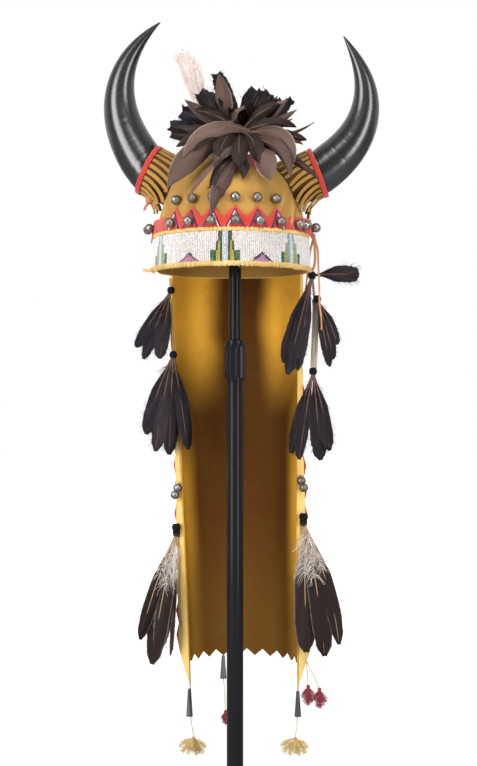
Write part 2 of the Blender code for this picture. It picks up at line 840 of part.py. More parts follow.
def horn_axis(horn, side):
    """The direction in which the horn leaves its cuff."""
    pitch = math.radians(horn["pitch"])
    return Vector((side * math.cos(pitch), 0.0, math.sin(pitch)))


def horn_base(horn, side):
    """The middle of the cuff's outer end: so far along the horn's axis from its seat on the crown."""
    height = horn["climb"] * CROWN_HEIGHT
    spread = math.sqrt(crown_plan(height) ** 2 - (HORN_Y / CROWN_HALF_LENGTH) ** 2)
    seat = Vector((CAP_X + side * CROWN_HALF_WIDTH * spread, HORN_Y, RIM_HEIGHT + height))
    return seat + horn_axis(horn, side) * horn["stand"]


def split_ring(centre, along, width, hollow):
    """A horn section: round in front, and behind either a groove, if hollow is 1, or round."""
    front = Vector((0.0, -1.0, 0.0))
    across = along.cross(front).normalized()
    front = across.cross(along).normalized()
    radius = width / 2
    wall = min(HORN_WALL, radius * 0.45)
    outer_count, inner_count, reach = 9, 5, 112.0
    ring = []
    for i in range(outer_count):
        turn = math.radians(-reach + 2 * reach * i / (outer_count - 1))
        ring.append(centre + radius * (math.cos(turn) * front + math.sin(turn) * across))
    inner = radius - wall
    for i in range(inner_count):
        share = 1.0 - 2.0 * (i + 0.5) / inner_count
        turn = math.radians(reach * share)
        groove = inner * (math.cos(turn) * front + math.sin(turn) * across)
        back_turn = math.radians(180.0 - (180.0 - reach) * share)
        rounded = radius * (math.cos(back_turn) * front + math.sin(back_turn) * across)
        ring.append(centre + groove.lerp(rounded, 1.0 - hollow))
    return ring


def make_horn(name, horn, side, trim):
    """A split horn: it is seated on the crown, and is hollow behind up to its solid tip."""
    course = horn_course(horn, side)
    axis = horn_axis(horn, side)
    root = (course[0][0] - axis * HORN_ROOT, horn["width"] * 0.97, 1.0)
    places = [root, *course]
    rings = []
    for i, (centre, width, hollow) in enumerate(places):
        after = places[min(i + 1, len(places) - 1)][0]
        before = places[max(i - 1, 0)][0]
        along = axis if i < 3 else (after - before).normalized()
        rings.append(split_ring(centre, along, width, hollow))
    cut(loft(name, rings, "black_horn", smooth=True), trim)


def cuff_frame(horn, side):
    """The cuff's axis, and two directions across it: towards the front and upwards."""
    axis = horn_axis(horn, side)
    front = Vector((0.0, -1.0, 0.0))
    upward = front.cross(axis) if side > 0 else axis.cross(front)
    return axis, front, upward.normalized()


def cuff_bore(horn):
    """The cuff's inner radius, clear of the horn."""
    return horn["width"] / 2 + SKIN_GAP


def sleeve(name, horn, side, stations, wall, finish):
    """An open sleeve round the horn; stations are (along the axis from the base, inner radius) pairs."""
    axis, front, upward = cuff_frame(horn, side)
    build = bmesh.new()
    grid = []
    for along, radius in stations:
        centre = horn["base"] + axis * along
        turns = [2 * math.pi * k / CUFF_SIDES * side for k in range(CUFF_SIDES)]
        grid.append(
            [
                build.verts.new(
                    centre + radius * (math.cos(turn) * front + math.sin(turn) * upward)
                )
                for turn in turns
            ]
        )
    for low, high in zip(grid, grid[1:]):
        band_faces(build, low, high, closed=True)
    build.normal_update()
    build.faces.ensure_lookup_table()
    face = build.faces[0]
    if face.normal.dot(face.calc_center_median() - horn["base"]) < 0:
        bmesh.ops.reverse_faces(build, faces=build.faces)
    made = add_object(name, mesh_of(name, build, smooth=True), finish)
    return thicken(made, wall, 1.0)


def fringe_course(horn, side, share):
    """The path of one fringe strip: back along the cuff, then down under its own weight."""
    axis, front, upward = cuff_frame(horn, side)
    turn = 2 * math.pi * share
    radial = math.cos(turn) * front + math.sin(turn) * upward
    hold = cuff_bore(horn) + CUFF_WALL / 2
    under = 0.5 - 0.5 * radial.z
    steps = 3
    points = []
    for i in range(steps + 1):
        run = i / steps
        drop = (0.22 + 0.18 * under) * run**1.6
        forth = run * (1.0 - 0.55 * under * run)
        lift = FRINGE_LIFT * min(1.0, run * 3.0)
        place = horn["base"] + radial * (hold + lift)
        place -= axis * (CLOTH_EDGE / 2 + FRINGE_START + FRINGE_LENGTH * forth)
        place.z -= FRINGE_LENGTH * drop
        if i:
            place = lift_off_cuff(place, horn, axis, hold + CUFF_WALL / 2 + FRINGE_WALL)
            level_with_cloth = place.z < RIM_HEIGHT + CLOTH_PLAIN + FRINGE_WALL
            past_cloth = cloth_out(CLOTH_ARC / 2) + CLOTH_WALL + FRINGE_WALL
            place = push_clear(place, past_cloth if level_with_cloth else FRINGE_CLEAR)
        points.append(place)
    return points, radial


def lift_off_cuff(place, horn, axis, clear_radius):
    """Moves a point out to the clear radius round the cuff's axis."""
    offset = place - horn["base"]
    across = offset - axis * offset.dot(axis)
    if across.length >= clear_radius:
        return place
    return place + across.normalized() * (clear_radius - across.length)


def ribbon(name, points, face, widths, wall, finish):
    """A flat strip along a path; face is the way that its broad side looks."""
    rings = []
    for i, (point, width) in enumerate(zip(points, widths)):
        before = points[max(i - 1, 0)]
        after = points[min(i + 1, len(points) - 1)]
        along = (after - before).normalized()
        across = along.cross(face).normalized() * width / 2
        thick = across.cross(along).normalized() * wall / 2
        rings.append(
            [
                point - across - thick,
                point + across - thick,
                point + across + thick,
                point - across + thick,
            ]
        )
    return loft(name, rings, finish)


def make_cuff(tag, horn, side, trim):
    """The fringed hide cuff at a horn's base, and the red cloth that edges it."""
    bore = cuff_bore(horn)
    end = -CLOTH_EDGE / 2 - SEAT_GAP
    stations = ((-CUFF_LENGTH, bore), (end, bore))
    cuff = sleeve(f"horn_cuff_{tag}", horn, side, stations, CUFF_WALL, "yellow_hide")
    cut(cuff, trim)
    strips = []
    for number in range(FRINGE_STRIPS):
        points, radial = fringe_course(horn, side, (number + 0.5) / FRINGE_STRIPS)
        widths = [FRINGE_WIDTH] * len(points)
        strips.append(
            ribbon(f"fringe_{tag}_{number}", points, radial, widths, FRINGE_WALL, "yellow_hide")
        )
    fuse(cuff, strips)
    eased = bore + CLOTH_EDGE_EASE
    edge = ((-CLOTH_EDGE / 2, eased), (CLOTH_EDGE / 2, eased))
    sleeve(f"cuff_edge_{tag}", horn, side, edge, CLOTH_EDGE_WALL, "red_cloth")


def trailer_section(down):
    """The trailer's section sizes at a share of its length, blended between the table's rows."""
    rows = TRAILER_SECTIONS
    for low, high in zip(rows, rows[1:]):
        if down <= high[0]:
            blend = (down - low[0]) / (high[0] - low[0])
            return [a + (b - a) * blend for a, b in zip(low[1:], high[1:])]
    return list(rows[-1][1:])


def flange_out(side):
    """The level direction across a flange, away from its fold."""
    turn = math.radians(FLANGE_TURN)
    return Vector((side * math.cos(turn), math.sin(turn), 0.0))


def trailer_plan(column, down):
    """A point of the inner face in plan. Column is -1 to 1 from fold to fold; past 1 is the flange."""
    seat, half_width, back, fold, flange, sway = trailer_section(down)
    side = math.copysign(1.0, column)
    inside = min(abs(column), 1.0)
    turn = math.radians(TRAILER_TURN * inside)
    on_rim = Vector(
        (
            (CROWN_HALF_WIDTH + SKIN_GAP) * math.sin(turn),
            (CROWN_HALF_LENGTH + SKIN_GAP) * math.cos(turn),
            0.0,
        )
    )
    turn = math.radians(88.0 * inside)
    back_y = CROWN_HALF_LENGTH * back
    fold_y = CROWN_HALF_LENGTH * fold
    trough = Vector(
        (
            CROWN_HALF_WIDTH * half_width * math.sin(turn),
            fold_y + (back_y - fold_y) * math.cos(turn),
            0.0,
        )
    )
    place = trough.lerp(on_rim, seat)
    past = max(abs(column) - 1.0, 0.0) * FLANGE_WIDTH * flange
    place += flange_out(1) * past
    shift = CAP_X + TRAILER_SWAY * sway * (1.0 - seat)
    return Vector((shift + side * place.x, place.y, 0.0))


def trailer_foot(column):
    """The height of the trailer's lower edge: pinked between the folds, with a tail at each fold."""
    across = abs(column)
    if across > 1.0:
        return TRAILER_FOOT - TRAILER_TAIL + (across - 1.0) * (TRAILER_TAIL + FLANGE_RISE)
    if across > 0.999:
        return TRAILER_FOOT - TRAILER_TAIL
    tooth = abs((across * TRAILER_TEETH) % 2.0 - 1.0)
    return TRAILER_FOOT + TRAILER_TOOTH * tooth


def trailer_point(column, down, out=0.0):
    """A point on the trailer, that far behind its inner face."""
    place = trailer_plan(column, down)
    if out:
        nudge = 0.01
        ahead = trailer_plan(column + nudge, down) - trailer_plan(column - nudge, down)
        place += Vector((0.0, 0.0, 1.0)).cross(ahead).normalized() * out
    place.z = TRAILER_TOP + (trailer_foot(column) - TRAILER_TOP) * down
    return place


def edge_seat(name, radius):
    """The middle of a round tie that hangs in front of one of the trailer's flanges."""
    side, past, drop = EDGE_PLACES[name]
    column = side * (1.0 + past)
    down = drop * TRAILER_LENGTH / (TRAILER_TOP - trailer_foot(column))
    clear = (radius + SEAT_GAP) / math.cos(math.radians(FLANGE_TURN))
    return trailer_point(column, down) - Vector((0.0, clear, 0.0))


def temple_seat(name):
    """The middle of a tie that hangs below the right end of the brow band."""
    side_point = Vector((CAP_X + CROWN_HALF_WIDTH, 0.0, RIM_HEIGHT))
    return side_point + Vector(TEMPLE_PLACES[name]) * TEMPLE_DROP


def bowed(start, end, course, bow):
    """The points from a start to an end that stand out and back from the straight line between them."""
    middle = [
        start.lerp(end, along) + Vector((out, back, 0.0)) * bow for along, out, back in course
    ]
    return [start, *middle, end]


def trailer_columns():
    """Columns at each point and notch of the pinked edge, at both folds and across the flanges."""
    pinked = [k / TRAILER_TEETH for k in range(-TRAILER_TEETH + 1, TRAILER_TEETH)]
    return [-2.0, -1.0, -0.985, *pinked, 0.985, 1.0, 2.0]


def make_trailer():
    """The hide trailer: a trough that hangs from the back of the cap, its edges folded outwards."""
    rows = [
        [trailer_point(column, section[0]) for column in trailer_columns()]
        for section in TRAILER_SECTIONS
    ]
    sheet("hide_trailer", rows, TRAILER_WALL, "yellow_hide", side=1.0)


def make_border(tag, side):
    """The red cloth behind one edge of the trailer, pinked where it shows past the flange."""
    spans = 2 * BORDER_TEETH
    rows = []
    for k in range(spans + 1):
        down = BORDER_START + (1.0 - BORDER_START) * k / spans
        past = BORDER_POINT if k % 2 else BORDER_NOTCH
        row = []
        for column, beyond in ((1.5, 0.0), (2.0, past)):
            place = trailer_point(side * column, down, TRAILER_WALL + BORDER_GAP)
            place += flange_out(side) * beyond
            row.append(place)
        rows.append(row)
    sheet(f"trailer_border_{tag}", rows, BORDER_WALL, "red_cloth", side=side)


def clear_of_bells(place):
    """Moves a point at the bells' height out from the crown until it is clear of them."""
    if place.z > RIM_HEIGHT + UPPER_BELL_HEIGHT + 2 * BELL_RADIUS:
        return place
    return push_clear(place, SEAT_GAP + 2 * BELL_RADIUS + FEATHER_CLEAR)


def feather_course(root, azimuth, elevation, length, droop, steps, clear=None):
    """Points of a shaft that leaves its root at an elevation and turns down by the droop."""
    turn = math.radians(azimuth)
    flat = Vector((math.sin(turn), -math.cos(turn), 0.0))
    points = [Vector(root)]
    tangents = []
    for i in range(steps):
        angle = math.radians(elevation - droop * (i + 0.5) / steps)
        tangent = flat * math.cos(angle) + Vector((0.0, 0.0, math.sin(angle)))
        place = points[-1] + tangent * length / steps
        points.append(clear(place) if clear else place)
        tangents.append(tangent)
    tangents.append(tangents[-1])
    return points, tangents


def feather(name, root, row, reach, vane, finish, shape=VANE_SHAPE, clear=None):
    """One feather as a thin closed vane: its shape gives (along, width) shares, from the quill to the tip."""
    azimuth, elevation, length, width, droop, roll = row
    turn = math.radians(azimuth)
    tilt = math.radians(roll)
    level = Vector((math.cos(turn), math.sin(turn), 0.0))
    points, tangents = feather_course(root, azimuth, elevation, reach * length, droop, 12, clear)
    rings = []
    for share, girth in shape:
        i = min(round(share * 12), 12)
        along = tangents[i]
        upright = along.cross(level).normalized()
        across = level * math.cos(tilt) + upright * math.sin(tilt)
        face = across.cross(along).normalized()
        half = max(vane * width * girth / 2, QUILL_RADIUS)
        rings.append(
            [
                points[i] - across * half,
                points[i] - face * (VANE_WALL / 2 - 0.04 * half),
                points[i] + across * half,
                points[i] + face * (VANE_WALL / 2 + 0.08 * half),
            ]
        )
    return loft(name, rings, finish)


def feather_cluster(name, tie, root, table, reach, vane, finish, shape=VANE_SHAPE, clear=None):
    """Feathers that spring from a root inside their tie, fused to it."""
    blades = [
        feather(f"{name}_blade_{i}", root, row, reach, vane, finish, shape, clear)
        for i, row in enumerate(table)
    ]
    return fuse(tie, blades)


def crown_seat(x, y, out):
    """A place that far above the crown, near its top."""
    share = math.hypot((x - CAP_X) / CROWN_HALF_WIDTH, y / CROWN_HALF_LENGTH)
    height = CROWN_HEIGHT * (1.0 - share**CROWN_FULLNESS) ** (1.0 / CROWN_FULLNESS)
    return Vector((x, y, RIM_HEIGHT + height + out))


def make_rosette(trim):
    """The rosette: broad feathers that droop over the brow, clipped ones behind them, and a plume."""
    front = crown_seat(ROSETTE_X, FRONT_SEAT_Y, FRONT_KNOT)
    tie = ball("rosette_front", front, FRONT_KNOT, "brown_feather", 8, stretch=1.3)
    root = front + Vector((0.0, 0.0, FRONT_KNOT * 0.9))
    feather_cluster(
        "rosette_front", tie, root, ROSETTE_FRONT, ROSETTE_REACH, ROSETTE_VANE, "brown_feather",
        clear=clear_of_bells,
    )
    cut(tie, trim)
    behind = crown_seat(ROSETTE_X, CROWN_SEAT_Y, CROWN_KNOT * 0.95)
    tie = ball("rosette_crown", behind, CROWN_KNOT, "black_feather", 8)
    feather_cluster(
        "rosette_crown", tie, behind, ROSETTE_CROWN, ROSETTE_REACH, ROSETTE_VANE, "black_feather"
    )
    cut(tie, trim)
    plume = crown_seat(PLUME_X, PLUME_SEAT_Y, PLUME_KNOT * 0.8)
    tie = ball("rosette_plume", plume, PLUME_KNOT, "plume_down", 8)
    feather_cluster(
        "rosette_plume", tie, plume, ROSETTE_PLUME, PLUME_REACH, PLUME_VANE, "plume_down", PLUME_SHAPE
    )
    cut(tie, trim)


def make_side_feathers():
    """The dark feathers that hang at both temples."""
    clusters = (
        ("side_upper_left", SIDE_UPPER_LEFT, SIDE_REACH, SIDE_VANE),
        ("side_lower_left", SIDE_LOWER_LEFT, DROP_REACH, DROP_VANE),
        ("side_upper_right", SIDE_UPPER_RIGHT, DROP_REACH, DROP_VANE),
        ("side_outer_right", SIDE_OUTER_RIGHT, DROP_REACH, SIDE_VANE),
        ("side_lower_right", SIDE_LOWER_RIGHT, DROP_REACH, DROP_VANE),
    )
    for name, table, reach, vane in clusters:
        if name in EDGE_PLACES:
            root = edge_seat(name, SIDE_KNOT)
        else:
            root = temple_seat(name)
        tie = ball(name, root, SIDE_KNOT, "black_feather", 8)
        feather_cluster(name, tie, root, table, reach, vane, "black_feather")


def make_tail_feathers():
    """The pale-rooted brown feathers low on the trailer's edges."""
    for name, table in (("tail_feathers_left", TAIL_LEFT), ("tail_feathers_right", TAIL_RIGHT)):
        root = edge_seat(name, SIDE_KNOT)
        tie = ball(name, root, SIDE_KNOT, "tail_feather", 8)
        feather_cluster(name, tie, root, table, TAIL_REACH, TAIL_VANE, "tail_feather")


def make_thongs():
    """Hide thongs at the temples, the right one tied on the cloth under the last bell, and a flat quill."""
    front = Vector((0.0, -1.0, 0.0))
    upper = temple_seat("side_upper_right")
    lower = temple_seat("side_lower_right")
    above = Vector((0.0, 0.0, SIDE_KNOT + SEAT_GAP))
    behind = Vector((0.0, SIDE_KNOT + SEAT_GAP + THONG_WALL / 2, 0.0))
    arc = RIGHT_END_BELLS[-1]
    tied = cloth_out(arc) + CLOTH_WALL + SEAT_GAP + THONG_WIDTH / 2 + CLOTH_FACET
    below_bell = LOWER_BELL_HEIGHT - BELL_RADIUS - 2 * SEAT_GAP
    on_cloth = crown_point(wrap_azimuth(arc), below_bell, tied)
    right = bowed(on_cloth, upper + above, THONG_COURSE, THONG_BOW)
    ribbon("thong_right", right, front, [THONG_WIDTH] * len(right), THONG_WALL, "pale_hide")
    held = edge_seat("side_upper_left", SIDE_KNOT)
    left = [held + Vector(place) * SIDE_KNOT for place in LEFT_THONG_COURSE]
    ribbon("thong_left", left, front, [THONG_WIDTH] * len(left), THONG_WALL, "pale_hide")
    slat = bowed(upper + behind, lower + above, SLAT_COURSE, SLAT_BOW)
    widths = [THONG_WIDTH, THONG_WIDTH, THONG_WIDTH, SLAT_WIDTH, SLAT_WIDTH, THONG_WIDTH]
    ribbon("quill_slat_right", slat, front, widths, THONG_WALL, "quill")


def make_edge_bells():
    """Pairs of bells that hang on the trailer's edges."""
    for tag, side in (("left", -1), ("right", 1)):
        place = edge_seat(f"edge_bells_{tag}", EDGE_BELL_RADIUS)
        pair = ball(f"edge_bells_{tag}", place, EDGE_BELL_RADIUS, "bell_metal")
        offset = Vector((0.55 * side, -0.4, -1.5)) * EDGE_BELL_RADIUS
        other = ball(f"edge_bell_{tag}_low", place + offset, EDGE_BELL_RADIUS, "bell_metal")
        fuse(pair, [other])


def cone(name, top, length):
    """A rolled tin cone that hangs with its slim end up."""
    build = bmesh.new()
    bmesh.ops.create_cone(
        build,
        cap_ends=True,
        segments=10,
        radius1=CONE_RADIUS,
        radius2=CONE_TIP_RADIUS,
        depth=length,
    )
    made = add_object(name, mesh_of(name, build, smooth=True), "tin")
    made.location = top - Vector((0.0, 0.0, length / 2))
    return made


def fluff(name, hang, head, reach, finish, more=()):
    """A tuft of dyed down: locks from its head, and the string that it hangs by."""
    heads = [head, *more]
    tie = ball(name, head, FLUFF_KNOT, finish, 8)
    others = []
    for number, place in enumerate(heads):
        for i, row in enumerate(FLUFF_LOCKS):
            lock = f"{name}_{number}_{i}"
            others.append(
                feather(lock, place, row, reach, FLUFF_VANE, finish, LOCK_SHAPE)
            )
        others.append(strand(f"{name}_string_{number}", hang, place, STRING_RADIUS, finish))
    return fuse(tie, others)


def make_tassels():
    """Tin cones and dyed fluffs that hang from the trailer's tails and pinked edge."""
    for tag, column, length, drop, reach, finish in (
        ("left", -1.0, LEFT_CONE_LENGTH, LEFT_FLUFF_DROP, FLUFF_REACH, "yellow_fluff"),
        ("right", 1.0, RIGHT_CONE_LENGTH, RIGHT_FLUFF_DROP, FLUFF_REACH, "yellow_fluff"),
        ("middle", -0.3, MIDDLE_CONE_LENGTH, MIDDLE_FLUFF_DROP, RED_FLUFF_REACH, "red_fluff"),
    ):
        top = trailer_lowest(column) - Vector((0.0, 0.0, SEAT_GAP))
        cone(f"tin_cone_{tag}", top, length)
        hang = top - Vector((0.0, 0.0, length + SEAT_GAP))
        fluff(f"fluff_{tag}", hang, hang + Vector(drop) * TASSEL_DROP, reach, finish)
    hang = trailer_lowest(1.75) - Vector((0.0, 0.0, EDGE_FLUFF_GAP))
    near, far = (hang + Vector(drop) * TASSEL_DROP for drop in EDGE_FLUFF_DROPS)
    fluff("fluff_edge_right", hang, near, RED_FLUFF_REACH, "red_fluff", more=[far])


def trailer_lowest(column):
    """The trailer's lower edge at a column, in the middle of its wall."""
    return trailer_point(column, 1.0, TRAILER_WALL / 2)


def make_headdress():
    make_stand()
    make_crown()
    make_brow_band()
    make_cloth_strip()
    make_bells()
    trim = crown_cutter("crown_trim", SEAT_GAP)
    for tag, sizes, side in (("left", LEFT_HORN, -1), ("right", RIGHT_HORN, 1)):
        horn = {**sizes, "base": horn_base(sizes, side)}
        make_horn(f"horn_{tag}", horn, side, trim)
        make_cuff(tag, horn, side, trim)
        make_border(tag, side)
    make_trailer()
    make_rosette(trim)
    make_side_feathers()
    make_tail_feathers()
    make_thongs()
    make_edge_bells()
    make_tassels()


clear_scene()
HEADDRESS = new_collection("split_horn_headdress")
CUTTERS = new_collection("cutters")
make_headdress()
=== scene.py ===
"""Split horn headdress on its display stand: its visible surfaces, finishes, studio and camera.

Sizes are in metres, in the part's own frame: the stand rests on z = 0 with its pole on the Z axis, the
headdress faces -Y, and +X is to the right of a viewer in front. Azimuths run round the head from the front,
positive to +X. A form is a tuple of points, faces, course and tint: faces are rows of corner numbers, with
-1 in the last place of a triangle, course is how far across and along the piece a point lies, and tint is its
colour or its masks.
"""

import itertools
import math

import bpy
import numpy as np
from bpy.props import FloatProperty, FloatVectorProperty, IntProperty, PointerProperty
from bpy.types import Operator, Panel, PropertyGroup
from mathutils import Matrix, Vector


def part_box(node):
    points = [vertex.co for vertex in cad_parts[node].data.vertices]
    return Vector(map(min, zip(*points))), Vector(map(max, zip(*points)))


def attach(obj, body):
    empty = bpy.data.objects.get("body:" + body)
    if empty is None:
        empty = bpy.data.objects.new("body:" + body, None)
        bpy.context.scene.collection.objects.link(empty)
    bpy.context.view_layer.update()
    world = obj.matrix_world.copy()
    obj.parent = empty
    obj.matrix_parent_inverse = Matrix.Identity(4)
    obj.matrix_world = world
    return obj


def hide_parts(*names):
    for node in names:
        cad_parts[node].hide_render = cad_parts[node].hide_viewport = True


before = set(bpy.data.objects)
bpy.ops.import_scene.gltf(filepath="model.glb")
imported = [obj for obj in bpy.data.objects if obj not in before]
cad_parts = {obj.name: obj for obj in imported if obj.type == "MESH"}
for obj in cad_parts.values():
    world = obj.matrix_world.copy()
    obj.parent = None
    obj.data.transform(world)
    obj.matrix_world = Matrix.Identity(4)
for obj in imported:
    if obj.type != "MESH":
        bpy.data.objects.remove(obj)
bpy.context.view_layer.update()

bl_info = {
    "name": "Split Horn Headdress",
    "version": (1, 0, 0),
    "blender": (4, 5, 0),
    "location": "3D View > Sidebar > Headdress",
    "description": "Makes the surfaces, finishes and studio of a split horn headdress on its stand",
    "category": "Object",
}

LIGHT_AIM = (0.0, 0.0, 0.62)
FRONT = np.array([0.0, -1.0, 0.0])
SIDES = (("left", -1), ("right", 1))

# Display stand
BASE_RADIUS = 0.140
BASE_HEIGHT = 0.018
BOSS_RADIUS = 0.022
BOSS_HEIGHT = 0.030
LOWER_TUBE_RADIUS = 0.0100
UPPER_TUBE_RADIUS = 0.0074
COLLAR_RADIUS = 0.0130
PAD_RADIUS = 0.030

# Hide cap
CAP_X = -0.0035
RIM_HEIGHT = 0.694
CROWN_HALF_WIDTH = 0.0915
CROWN_HALF_LENGTH = 0.100
CROWN_HEIGHT = 0.140
CROWN_FULLNESS = 2.4
FOLD_RAISE = 0.0045
SKIN_GAP = 0.0007
RIM_RADIUS = 0.095
STITCH_HEIGHT = 0.0075
SEAM_THREAD = 0.00042
PATCH_HALF_WIDTH = 0.024
PATCH_HALF_LENGTH = 0.028

# Brow band, red cloth and bells
BAND_ARC = 0.284
BAND_FOOT = 0.0030
BAND_TOP = 0.0372
BACKING_WALL = 0.0008
BEAD_SEAT = 0.0018
BINDING_SEAT = 0.0019
BINDING_THREAD = 0.00030
TOWER_ARCS = (-0.0925, 0.0017, 0.0866)
TRIANGLE_ARCS = (-0.0405, 0.0445)
CLOTH_FOOT = 0.0412
CLOTH_ARC = 0.300
CLOTH_VALLEY = 0.0530
CLOTH_PEAK = 0.0670
CLOTH_PLAIN = 0.0590
CLOTH_TAB = 0.0340
CLOTH_FLARE = 0.0060
CLOTH_WALL = 0.0015
CLOTH_SLOPE = 0.012
FLARE_ARC = 0.115
TOOTH_PITCH = 0.0270
TOOTH_COUNT = 6
BELL_RADIUS = 0.0058
BELL_HEIGHT = 0.0750
LAST_BELL_ARC = 0.144
LAST_BELL_HEIGHT = 0.0485

# Horns and cuffs
HORN_Y = -0.008
HORN_LEAN = -0.022
HORN_WALL = 0.0045
HORN_ROOT = 0.040
HORN_STRAIGHT = 0.0040
HORN_SECTIONS = 106
FIRST_SECTIONS = 4
HORN_TAPER = 1.5
HORN_POINT = 0.025
SPLIT_END = 0.48
TIP_START = 0.82
SPLIT_REACH = 112.0
CUFF_WALL = 0.0018
CUFF_LENGTH = 0.044
CLOTH_EDGE = 0.0060
FRINGE_LENGTH = 0.044
EDGE_HALF_WIDTH = 0.0030
CUFF_TIE = (-0.1000, -0.0240, 0.7780)

# Trailer
TRAILER_LENGTH = 0.4920
TRAILER_TOP = 0.706
TRAILER_FOOT = TRAILER_TOP - TRAILER_LENGTH
TRAILER_WALL = 0.0018
TRAILER_TEETH = 10
TRAILER_TOOTH = 0.0085
TRAILER_TAIL = 0.0330
TRAILER_TURN = 60.0
TRAILER_SWAY = 0.0094
FLANGE_WIDTH = 0.0180
FLANGE_RISE = 0.0160
FLANGE_TURN = 27.6
BORDER_START = 0.30
BORDER_TEETH = 11
BORDER_POINT = 0.0050
BORDER_NOTCH = 0.0012
BORDER_GAP = 0.0010
BORDER_WALL = 0.0014

# Feathers and ties
ROSETTE_REACH = 0.100
ROSETTE_VANE = 0.031
ROSETTE_X = 0.0100
FRONT_KNOT = 0.0140
FRONT_SEAT_Y = -0.046
CROWN_KNOT = 0.0165
CROWN_SEAT_Y = -0.014
PLUME_REACH = 0.132
PLUME_VANE = 0.024
PLUME_KNOT = 0.006
PLUME_X = -0.0270
PLUME_SEAT_Y = 0.0110
SIDE_REACH = 0.092
SIDE_VANE = 0.022
DROP_REACH = 0.124
DROP_VANE = 0.025
TAIL_REACH = 0.158
TAIL_VANE = 0.030
SIDE_KNOT = 0.0050
SHAFT_STEPS = 12
THREAD_RADIUS = 0.00022
CONE_RADIUS = 0.0042
CONE_TIP_RADIUS = 0.0020
EDGE_BELL_RADIUS = 0.0056
SEAT_GAP = 0.0003
STRING_RADIUS = 0.0009
TASSEL_DROP = 0.0300
HEAD_RADIUS = 0.0024
EDGE_FLUFF_GAP = 0.0026
TEMPLE_DROP = 0.1200
STRIP_WALL = 0.0007
THONG_BOW = 0.0027
SLAT_BOW = 0.0038

# Folds of the crown: azimuth and half-spread in degrees, height and half-rise as shares of the crown's
# height, raise as a share of FOLD_RAISE
CROWN_FOLDS = (
    (60, 13, 0.68, 0.26, 1.00),
    (-60, 13, 0.68, 0.26, 0.85),
    (150, 12, 0.45, 0.40, 0.60),
    (-145, 12, 0.45, 0.40, 0.60),
)

# Creases of the cap's hide
CAP_CREASES = (
    # azimuth, height, lean in degrees, half-width, half-length, raise
    (58, 0.058, 64, 0.0035, 0.024, 0.0034),
    (66, 0.050, 70, 0.0026, 0.020, 0.0028),
    (49, 0.072, 50, 0.0028, 0.016, 0.0022),
    (76, 0.066, 80, 0.0030, 0.020, 0.0024),
    (-62, 0.066, -62, 0.0034, 0.020, 0.0026),
    (-70, 0.056, -74, 0.0026, 0.018, 0.0022),
    (-50, 0.078, -48, 0.0030, 0.014, 0.0016),
    (118, 0.070, 96, 0.0040, 0.030, 0.0020),
    (-115, 0.074, -98, 0.0042, 0.028, 0.0020),
    (168, 0.060, 88, 0.0060, 0.034, 0.0016),
    (-160, 0.046, 100, 0.0050, 0.026, 0.0016),
    (20, 0.096, 30, 0.0040, 0.016, 0.0010),
)

# Horns: seat as a share of the crown's height, stand and length in metres, and pitch, leave and turn in
# degrees. The curve bends as if it were ease times as long.
LEFT_HORN = {
    "climb": 0.753,
    "stand": 0.0345,
    "width": 0.0540,
    "pitch": 27.0,
    "length": 0.196,
    "leave": 57.0,
    "turn": 93.0,
    "ease": 1.15,
}
RIGHT_HORN = {
    "climb": 0.7305,
    "stand": 0.0355,
    "width": 0.0520,
    "pitch": 21.0,
    "length": 0.180,
    "leave": 38.0,
    "turn": 84.0,
    "ease": 1.00,
}

# Trailer sections: down as a share of its length, seat as a share of the cap's own curve, half-width as a
# share of the crown's half-width, back and fold as shares of the crown's half-length, flange and sway as
# shares of their sizes
TRAILER_SECTIONS = (
    # down, seat, half_width, back, fold, flange, sway
    (0.00, 1.0, 0.866, 1.000, 0.56, 0.20, -0.21),
    (0.06, 0.8, 0.863, 1.000, 0.56, 0.22, -0.21),
    (0.24, 0.0, 0.832, 0.985, 0.51, 0.32, 0.00),
    (0.48, 0.0, 0.790, 0.965, 0.48, 0.48, 0.32),
    (0.74, 0.0, 0.750, 0.960, 0.46, 0.75, 0.64),
    (1.00, 0.0, 0.724, 0.970, 0.46, 1.00, 1.00),
)

# Ties on the trailer's edges: side, past as a share of the flange from its fold, and drop below the trailer's
# top as a share of its length
EDGE_PLACES = {
    # name: side, past, drop
    "side_upper_left": (-1, 0.20, 0.063),
    "side_lower_left": (-1, 0.22, 0.2256),
    "tail_feathers_left": (-1, 0.95, 0.6738),
    "tail_feathers_right": (1, 0.84, 0.6443),
    "edge_bells_left": (-1, 0.53, 0.5610),
    "edge_bells_right": (1, 0.65, 0.5407),
}

# Ties below the right end of the brow band, from the rim's side point, as shares of TEMPLE_DROP
TEMPLE_PLACES = {
    # name: out, back, up
    "side_upper_right": (0.0375, -0.0333, -0.0500),
    "side_outer_right": (0.0875, -0.0083, -0.2833),
    "side_lower_right": (0.0458, 0.0250, -1.0000),
}

# Bows of the right thong and the flat quill: along as a share of the way, out and back as shares of their bow
THONG_COURSE = (
    # along, out, back
    (0.577, 1.00, -0.30),
    (0.848, 0.93, -0.22),
)
SLAT_COURSE = (
    # along, out, back
    (0.147, 0.36, 0.62),
    (0.313, 0.97, 0.71),
    (0.350, 0.99, 0.70),
    (0.947, 0.28, 0.00),
)

# The left thong's ends from its tie as shares of SIDE_KNOT, and the fluffs' heads as shares of TASSEL_DROP
LEFT_THONG_COURSE = ((-0.30, 0.20, 3.00), (-0.04, 0.00, 1.04))
LEFT_FLUFF_DROP = (0.173, -0.067, -0.880)
RIGHT_FLUFF_DROP = (-0.100, -0.033, -0.900)
MIDDLE_FLUFF_DROP = (0.100, 0.020, -1.410)
EDGE_FLUFF_DROPS = ((0.067, 0.0, -1.000), (0.533, 0.0, -1.100))

